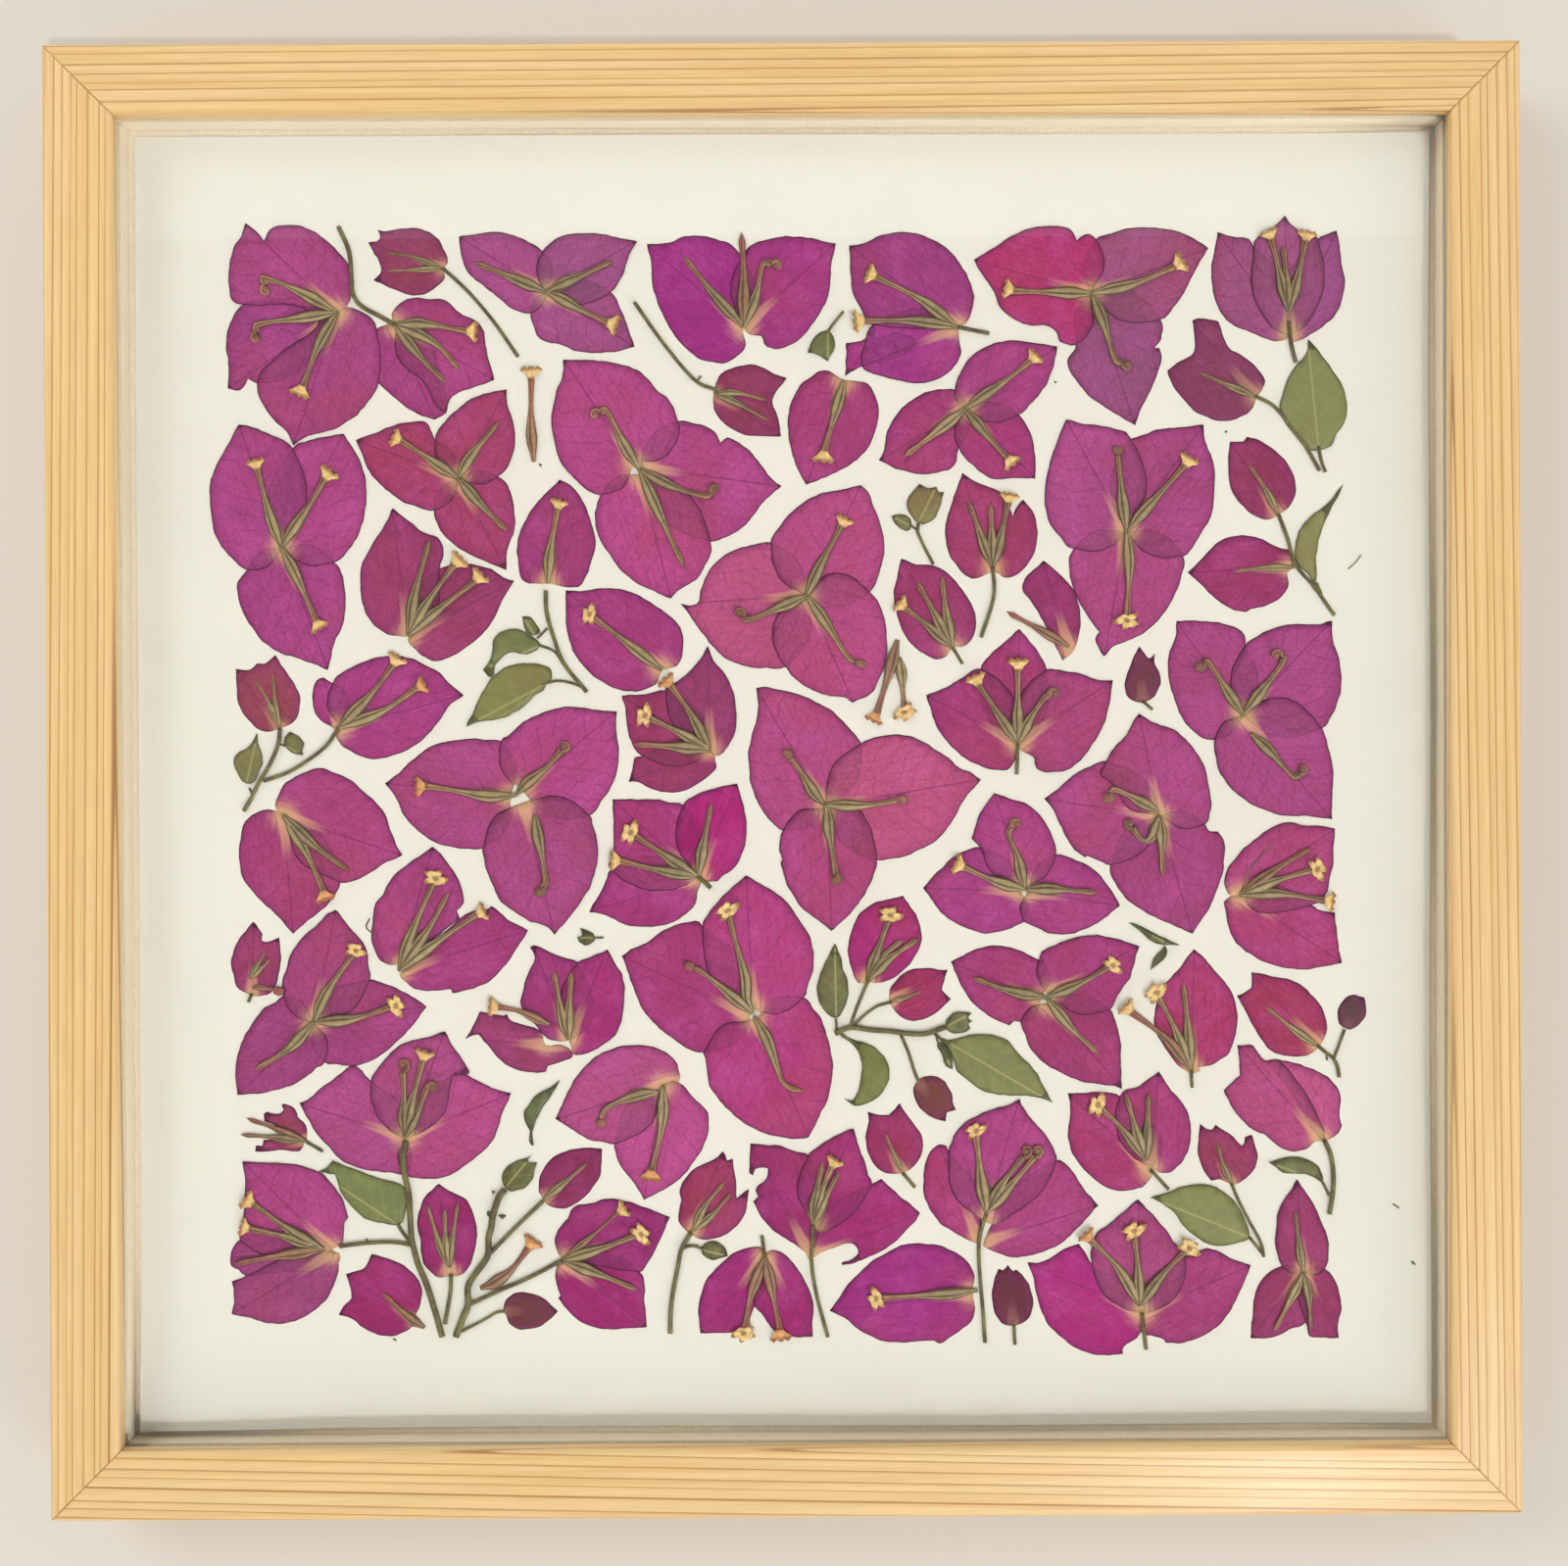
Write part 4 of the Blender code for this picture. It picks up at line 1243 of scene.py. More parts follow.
        """#965078 71.5,124.9 75.1,126.2 78.7,127.3 84.1,127.5 89.9,126.7 94,125 *97.3,122.8 94.4,118.1
        92.2,113.6 89.9,110 86.4,106.4""",
        """#a82c68 *43.3,120.1 47.3,122.4 51.8,125.3 56.3,127.3 61.7,127.9 65.3,127.2 *67,124.4
        69.1,125.9 71.5,124.9 | 45.6,116.3 48,112.7 49.6,109.1 52.7,106.4 56.8,104.9 59.5,105.1
        62.6,103.3 63.1,101.5 66.8,100.6""",
    ],
    "tubes": ["61,112.6 51.8,112.9 flare", "79,114 89.9,118.5 flare", "73.5,104 76,96.6 78.6,96 curl"],
},
{
    "name": "cornerTrioTopRight", "stands": "flower_09", "from": "115.9,103", "colour": "914b7d",
    "bracts": [
        """107.6,123.2 106.7,125 102.5,125.5 *99.4,126.5 98.1,119 98.2,114.1 99.3,109.6 102.5,105.5
        107,103.5 110.6,102""",
        """122.4,124.9 *126.7,126.8 127.2,124.4 127.8,120.3 128.6,114.1 127.2,108.7 124.5,105.5 120,102.6
        116.4,101.3""",
        """#97517f 107.6,123.2 108.3,125 111.5,127.1 113.2,128.4 *114.8,130.2 116.6,128 119.1,126.2
        122.4,124.9""",
    ],
    "tubes": [
        "@115.7,108.2 113.6,117 111.5,125.3 flare",
        "@115.7,108.2 115,117 114.4,123.5",
        "@115.7,108.2 118,117 119.5,124.8 flare",
    ],
    "stems": ["w1 115.7,106 116.2,101.3 117.3,96.6"],
},
{
    "name": "darkCutBract", "from": "108.3,88.7", "colour": "7d3755",
    "bracts": ["""94,99 94,102.8 *93.5,106.2 94.9,106.7 *99.6,106.1 101.9,100.1 105.6,97.9 110.1,93.2
        109.9,90.7 108.3,88.5 107.6,86.2 104.7,84 100.7,83.1 97.1,84 94,85.6 91.7,88 88.6,92.1 *87.9,94.8
        89.9,96.3 92.2,97.5"""],
    "tubes": ["w1.5 101.5,91.5 95.3,94.3"],
    "stems": ["w0.9 108.3,88.7 111.5,87.1 113.9,84.9 115.9,82 119.5,77.5 122.9,71.7"],
},
{
    "name": "leafTopRight", "from": "122.7,76.4",
    "leaves": ["""#78764b *120.1,102 119.9,98.8 116.8,94.8 115,91.2 113.9,84.9 116.8,80.9 119.5,77.7 |
        122.2,99.7 124.9,96.1 128.1,91.2 129.2,86.7 128.6,83.1 126.7,80"""],
    "stems": ["w0.8 122.6,77.4 123.2,74.4 124.2,71.4"],
},
{
    "name": "darkBractRight", "from": "113.5,61.5", "colour": "872d55",
    "bracts": ["""*102.3,78.5 105.6,78.5 *106.2,79.6 109.2,78.6 112.8,76.4 115.9,72.8 117.5,68.3
        116.6,64.3 113.5,61.5 110.6,60.5 107,62.1 104.3,64.8 102.5,67.8 101.9,72.8"""],
    "tubes": ["w1.5 110.8,67 106.5,73.2"],
    "stems": ["w0.9 113.5,61.6 115.5,56.2 117.5,50 121.3,45.5 126.3,38.5"],
},
{
    "name": "crescentLeafRight", "from": "123.3,43.4",
    "leaves": ["""#7d7846 *128.3,68.7 124.9,64.3 120.9,61.2 118.6,58.5 117.5,54.9 117.8,50.4 120.9,47.3 |
        127.6,66.6 124.9,61.6 123.1,57.1 122.1,52.2 122.2,47.7"""],
    "stems": ["w0.7 122.2,46 123.3,43.4"],
},
{
    "name": "leftPointingBract", "from": "117.1,49.6", "colour": "912d5f",
    "bracts": ["""*92.6,48.4 95.9,51.5 98.9,54.9 102.5,56.6 106.1,56.9 109.7,56 113.7,54 116.2,53.5
        117.1,49.7 115.5,48.2 116,45.9 114.6,43.2 111.5,41 107.2,39.9 106.1,39.3 102.5,40.1 98.9,42.5
        96.2,45.2 94.4,46.8"""],
    "tubes": ["w1.5 110,49.4 103,48.6"],
},
{
    "name": "trioLeft", "stands": "flower_10", "from": "-115.4,54", "colour": "9b3c7d",
    "bracts": [
        """-123.5,48.8 -125.7,46.1 -125.7,44.1 -124.8,40.1 -122.6,36 -119.9,32.5 -116.3,30 -111.8,28.6
        -108.2,27.3 *-104.9,25.8 -104.2,29.3 -103.5,32.2 -101.5,36.5 -100.9,41.9 -101.5,47.3 -102.8,50""",
        """#a2427f -112.9,76.8 -109.1,78.6 -105.1,79.5 *-101.3,80.1 -98.8,76.4 -96.8,71.9 -96,66.9
        -96.6,61.2 -97.9,57.1 -100.6,52.9 -103.1,50.8""",
        """*-125.3,82.3 -121.7,81.5 -117.6,79.7 -112.9,76.8 | -126.4,80 -128.9,75.5 -131.1,71.4 -132,66.9
        -131.3,59.4 -129.8,54.9 -126.2,50.8 -123.5,48.8""",
    ],
    "tubes": ["-118.5,63 -121,72.5 flare", "-110,62 -105.1,70.1 flare", "-111,45 -107.3,36.5 flare"],
},
{
    "name": "trioRedLeft", "stands": "flower_11", "from": "-75,69.9", "colour": "9b375f",
    "bracts": [
        """-80.6,62.5 -79.1,58 -76.4,54.9 -71.4,52 -66.9,50 *-64,48.8 -63.8,53.5 -62.1,58 -62,61.6
        -62.7,65.7 -64.3,69.2""",
        """*-98.4,78.7 -94.8,80 -89.8,82 -86.7,82.7 -82.4,82.7 *-80.4,78.8 | -96.6,74.1 -94.8,70.5
        -91.6,67.4 -88,64.7 -84.4,63.4 -80.6,62.5""",
        """#a03a63 -80.4,78.8 -78.2,82.7 -74.6,86.2 -70.1,88.9 *-63.8,90.3 -63.6,86.7 -62.5,83.5
        -61.9,79.5 -62.7,74.6 -65,71""",
    ],
    "tubes": ["-82,74.6 -88.4,78.8 flare", "-71,76 -65.6,82.7", "-70,64 -63.6,57.6"],
},
{
    "name": "duoLeft", "stands": "flower_12", "from": "-86.5,33.6", "colour": "91325f",
    "bracts": [
        """-79.3,49.3 -75.5,50.2 -71.9,50.2 -67.4,49.1 -64.7,47.3 *-62.2,46.4 -64.7,42.3 -67.6,36.3
        -71,32.9 -74.6,30.2 -80,27.9 -83.5,29.3 -85.3,31.1""",
        """*-90.1,63.1 -91.6,59.8 -94.3,55.3 -97,50.4 -97.5,45.5 -96.8,40.5 -94.3,36 -91.6,34.2
        -88.9,33.7 | -87.1,60.7 -83.1,57.6 -79.1,55.8 -78.4,52.2 -79.3,49.3""",
    ],
    "tubes": ["-84.4,45 -81.3,56.2", "-81.5,42 -75.5,50.4 flare", "-79,40 -70.5,46.6 flare"],
},
{
    "name": "redBudLeft", "from": "-115.9,12.5", "colour": "8c3c4b",
    "bracts": ["""-115.9,12.5 -119,11.7 -121.2,12.5 -123.5,14.7 -125.5,18.1 -125.9,22.1 *-126.1,26.1
        -122.8,26 *-121.2,27.5 -119.4,27.3 *-117,29.4 -115.6,27.1 -113.2,23.5 -111.4,19.9 -111.6,16.8
        -112.7,14.1"""],
    "tubes": ["w1.3 -118.5,18.5 -121.6,23.6", "w1.3 -117,19 -117.6,25.2"],
    "stems": [
        "w1 -115.9,12.5 -116.3,8.9 -118.5,3.7 -120.5,0.5 -122.5,-3.5 -124.2,-6.5",
        "w0.6 -116.3,8.9 -114.7,8.5",
        "w0.6 -122.2,-2.8 -123,-1.2",
    ],
    "leaves": [
        """@-114.7,8.5 #6a5f36 -114.7,8.5 -114.9,10.4 *-113.6,11.7 -111.6,10.6 *-110.3,9.2 -110.8,7.4
        *-110.6,6.2 -113,6.9""",
        """@-123.7,-0.3 #6e6a3c *-121,11.5 -123.5,7.8 -125.9,6.7 -126.5,4.2 -125.3,1.5 | -120.8,8.7
        -119.8,5.1 -120.8,2.4""",
    ],
},
{
    "name": "bractWithStem", "from": "-102.6,12.5", "colour": "a03778",
    "bracts": [
        "-104.6,13.2 -106.9,14.5 -108.4,17.6 -108.4,20.8 -107.5,23.5 *-106,24.2 -104.6,23.4 -101,21",
        """-103.3,23.9 -99.7,26.4 -95.2,28.4 -89.8,29.2 -85.8,28.6 -82.2,26.8 -79.1,25.1 -76.4,22.1
        *-73.7,20.2 -76.8,18.1 -79.5,14.1 -83.1,10 -86.7,7.6 -90.7,6 -95.2,5.5 -99.7,7.1 -102.6,9.6""",
    ],
    "tubes": ["-96,19 -89.4,27.5 flare", "-93,16 -83.8,22.1 bell"],
    "stems": ["w0.9 -102.6,12.5 -105.1,8.7 -109.6,5.1 -114.1,2.4 -119.7,0.4"],
},
{
    "name": "smallBractCentreLeft", "from": "-54.4,45.7", "colour": "9b326e",
    "bracts": ["""*-51.7,69.7 -58,63.1 -59.8,59.8 -61.2,56.2 -61.5,53.5 -61.1,49.1 -60.3,46.6 -58.5,45.8
        -54.4,45.7 | -48.6,67.8 -45.9,63.8 -44.1,58.5 -43.4,54.4 -44.6,50.4 -45.5,47.7 -47.5,45"""],
    "tubes": ["-53.6,54 -52,63.4 flare"],
},
{
    "name": "leafBranch", "from": "-56,31.5",
    "stems": [
        "w1 -54.9,44.1 -54.7,39.2 -53.1,33.4 -50.8,27.5 -45.5,20.8",
        "w0.7 -56.5,31.6 -53,30.2 -50.8,27.1",
        "w0.6 -56.9,33.1 -54.5,35.5",
        "w0.7 -56,22.6 -52,23.4 -48.6,22.8 -46.6,22",
    ],
    "leaves": [
        """#5a6437 *-69.3,26 -67.4,28.9 -66.5,33.6 -61.6,35.4 -58,33.6 -56.2,31.5 | -67.4,24.2 -66.5,27.1
        -63.4,29.8 -59,29.6""",
        "@-56.9,33.1 #5f5f35 *-60.3,38.3 -59.9,35.8 -58.4,34 | -58.4,38 -57,36.4 -56.2,34.4",
        """@-54.9,22.8 #736e37 *-73.2,12.9 -71.4,16.8 -68.7,22.1 -67,24.4 -63.4,26.8 -58.9,27.5
        -54.7,26.8 -53.5,25.7 | -71,13.8 -64.5,15 -59.8,17.7 -57.1,20.3""",
    ],
},
{
    "name": "ovalCentreLeft", "from": "-28.2,26", "colour": "96326e",
    "bracts": ["""*-50.3,44.2 -46.4,44.1 -41.4,44.7 -36,44.1 -32,42.1 -27.5,39.2 -24.6,36.5 -23.5,33.8
        -23.5,29.8 -24.8,26.8 -28.2,26 | -50.3,37.8 -49.5,32.5 -47.7,28.6 -44.6,25.1 -39.2,21.7 -34.3,21
        -29.8,22.6 -28.6,25.3"""],
    "tubes": ["-36,32 -44.3,38.3 star"],
},
{
    "name": "trioRedCentre", "stands": "flower_13", "from": "-17.2,7.6", "colour": "91325f",
    "bracts": [
        """-32.9,6.1 -34.6,5.8 -34.9,3.3 *-36,0.2 -33.6,0.1 -30.2,-1.6 -25.7,-2.3 -21.7,-1.2 -18.1,1.1
        -15.6,3.7 -16.1,5.1""",
        "*-37.5,20.1 -32,20.3 -27.5,21.2 | -36.7,17.2 -36.3,13.2 -35.1,8.7 -32.9,6.1",
        """#8d3560 *-17.7,31.5 -19.4,28.4 -23,24.6 -25.3,23 -27.5,21.5 | -16.3,28 -13.6,24.8 -11.8,20.8
        -11.1,14.1 -12,10 -15.6,6""",
    ],
    "tubes": ["-21,15 -26.4,22.8 bell", "-24,11.5 -31.6,15.2 star", "-26,8.4 -34.7,8.9"],
},
{
    "name": "trioCentreTop", "stands": "flower_14", "from": "5,43", "colour": "aa467d",
    "bracts": [
        """#af5078 *-23.9,41.2 -20.3,41 -19.4,44.1 -17.7,48.2 -15.4,51.1 -11.8,53.5 -7.8,54.5 -3.3,55.1 |
        -22.1,38.7 -19.9,35.6 -16.8,31.6 -13.2,28.4 -8.7,26.8 -4.2,26.4 0.1,26.6""",
        """-3.3,55.1 -1.5,58.5 1.2,61.8 4.7,64.7 8.8,66.6 13.3,67.4 *17.5,68.3 18.9,67.1 20.4,63.4
        22,59.4 22.9,54 22,49.1 19.6,43.9""",
        """14,48 19.6,43.9 22.2,40.1 23.2,35.6 23.5,30.2 22.9,26.6 21.3,23 20,20.6 *15.7,18.5 13.3,19.7
        9.7,20.1 6.5,21.2 3.8,22.8 0.7,25.7 -3,33""",
    ],
    "tubes": ["9.3,52 13.3,59.4 flare", "9.8,36 14.6,28.6 17.3,27.3 bulb", "-2,40 -8.7,37.4 -10.5,39 curl"],
},
{
    "name": "greenBuds", "from": "30.7,59.6",
    "leaves": [
        """#73623c 30.7,59.6 28.1,63 28.5,65.7 *31,68.8 33,67.6 *34.8,68.1 35.4,66.6 *36.5,66.9 35.5,63
        33.9,60.3""",
        "@28.7,59.1 #6c6238 *24.5,61.2 25.8,58.9 28.7,58 | 26.4,61.8 28.6,60.8",
    ],
    "stems": ["w0.8 30.7,59.6 30.5,57.6 34.1,50.2", "w0.6 28.7,59.3 30.2,58.2"],
},
{
    "name": "bractThreeTubes", "from": "38.6,31.1", "colour": "912d5f",
    "bracts": ["""*26.7,51.7 26,48.2 25.1,44.1 25.4,40.1 27.2,34.7 30.3,30.9 34.3,28.5 37,28.9 38.6,31.1
        | 30.3,50.2 34.3,50 37.5,48.2 40.6,44.6 42.9,41 44.1,36.9 43.1,33.4 41.1,31.3"""],
    "tubes": ["33,36 27.2,40.5 flare", "34.4,39 30.3,46.4", "37,40 36.1,47.7"],
    "stems": ["w0.8 38.6,31.1 40.8,27.3"],
},
{
    "name": "ovalThreeTubes", "from": "47.8,49.5", "colour": "96325f",
    "bracts": ["""*40.8,71.2 37.9,62.9 36.9,58.5 37.5,53.5 39.3,50 42.2,47.3 45.1,47.2 47.8,48.6 50.9,47
        54.1,48.4 56.8,51.7 58,56.2 57.4,61.6 *54.8,65.1 53,63 *52.5,61.2 49.6,66.7 44.7,68.7"""],
    "tubes": ["45,57 42.2,64.8", "47.6,57 47.3,64.3", "49.8,57 51.4,64.8 flare"],
    "stems": ["w0.9 47.8,49.5 48,42.8 45.1,33.4"],
},
{
    "name": "bractBrownTube", "from": "65.3,31.1", "colour": "912d5f",
    "bracts": ["""*59.4,51.1 54.5,45.5 56.8,41.4 59.5,36.9 61.7,32.5 *63.9,28.2 66.8,31 68,37.8 66.7,43.7
        64.4,46.8 61.7,49.3"""],
    "tubes": ["w1.9 brown @65.3,31.3 60.8,34 50.9,39.4"],
},
{
    "name": "trioRight", "stands": "flower_15", "from": "78.5,57.8", "colour": "a04178",
    "bracts": [
        """65.7,52.6 65.5,48.2 66.6,43.7 68.8,39.6 *72.2,34.7 71.4,33 72.6,30.2 *73.5,29 76,31.6 80,33.1
        84.1,35.6 87.2,39 89.9,43.7 91.3,47.7 91.7,52""",
        """79,78.5 81.8,79.7 85.4,81.1 91.3,81.7 *96.2,82.3 96.6,78.6 98.2,74.6 98.9,69.2 98,61.2
        96.6,58.9 94.4,55.1 91.7,52.2""",
        """#a64680 *64.6,83.5 68.4,82.5 72.9,82 76.5,81.1 79,80 | 62.6,78.6 60.8,73.2 59.8,67.8 59.9,63
        61.3,58.9 63.5,56.2 65.3,54.1""",
    ],
    "tubes": ["77.4,67 76.3,76.3 bulb", "85,65 92.2,73.2 flare", "79,48 78.5,37.8 star"],
},
{
    "name": "maroonBudRight", "from": "82.3,18.8", "colour": "5f3237",
    "bracts": ["""*81.5,31.3 79.6,27.5 78.3,23.5 78.7,20.1 80.9,18.5 82.3,18.3 84.5,19.4 86.1,21.7
        86.4,24.6 85,27.5 *85,29.8 83.9,28.6"""],
    "stems": ["w0.8 82.3,18.8 84.5,16.8"],
},
{
    "name": "trioCentreRight", "stands": "flower_16", "from": "53.6,9.1", "colour": "9b326e",
    "bracts": [
        "*53.9,35.4 50,32 47.1,29.3 45.1,26.2 | 57.2,31.6 59.9,27.3 60.1,26",
        """*32.6,20.1 36.1,21.5 40.4,23.8 45.1,26.2 | 33.4,17.2 35.2,12.3 38.4,8.2 42,5.3 46.5,3.3 50,2.8
        51.8,3.3 53,5.5""",
        """#a03a72 60.1,25.9 65.3,25.5 67.5,25.3 72,23.7 *75.4,23.5 74.7,18.5 73.3,13.2 69.7,7.3 65.7,3.3
        60.8,2.4 57.9,3.3 57.4,5.5 55.4,6.9""",
    ],
    "tubes": ["49,16 44.2,23 flare", "53.6,18 53.6,26.6 flare", "56.6,15 59.8,19.6 61.9,20.6 curl"],
    "stems": ["w0.9 53.6,9.1 53.3,1.9"],
},
{
    "name": "looseTubePair", "from": "25.9,32.9",
    "tubes": ["brown 23.5,24 20.9,15.4 bell", "w2 @26.3,28.9 27,22 27.4,16.8 star"],
},
{
    "name": "trioFarRight", "stands": "flower_17", "from": "105.4,15.6", "colour": "a04178",
    "bracts": [
        """*90.1,37.2 94.4,37.3 99.8,36.9 103.4,35.8 105.8,34 106,31.8 | 89.9,33.4 88.8,31.1 88.1,27.1
        89,21.2 90.8,16.3 93.5,12.3 97.5,9.9""",
        """106,31.8 109.2,34 112.3,35.6 116.8,36.5 122.2,36.4 *125.7,37.2 126,32.9 127.4,28.4 128,23.5
        127.4,19.4 125.8,15.4 123.5,12.5""",
        """#9c3f7a 98.9,10 98.9,7.3 99.8,2.8 100.9,1.1 102.9,-1.6 105.2,-3.4 107.4,-5 110.6,-6.3
        113.7,-7.4 116.4,-7.7 120,-7.7 123.1,-8 *125.8,-8.5 125.8,-5.2 126,-1.6 126.3,2 126,4.2 124.9,8.7
        123.5,12.5 118.7,18 113.7,19.7 108.5,18.5""",
    ],
    "tubes": [
        "101.5,21.5 97.1,28 95.4,27 curl",
        "110,21.5 115,28.6 112.9,29.3 curl",
        "@107,11.4 112,6.5 117.3,1.1 118.9,3.1 curl",
    ],
},
]
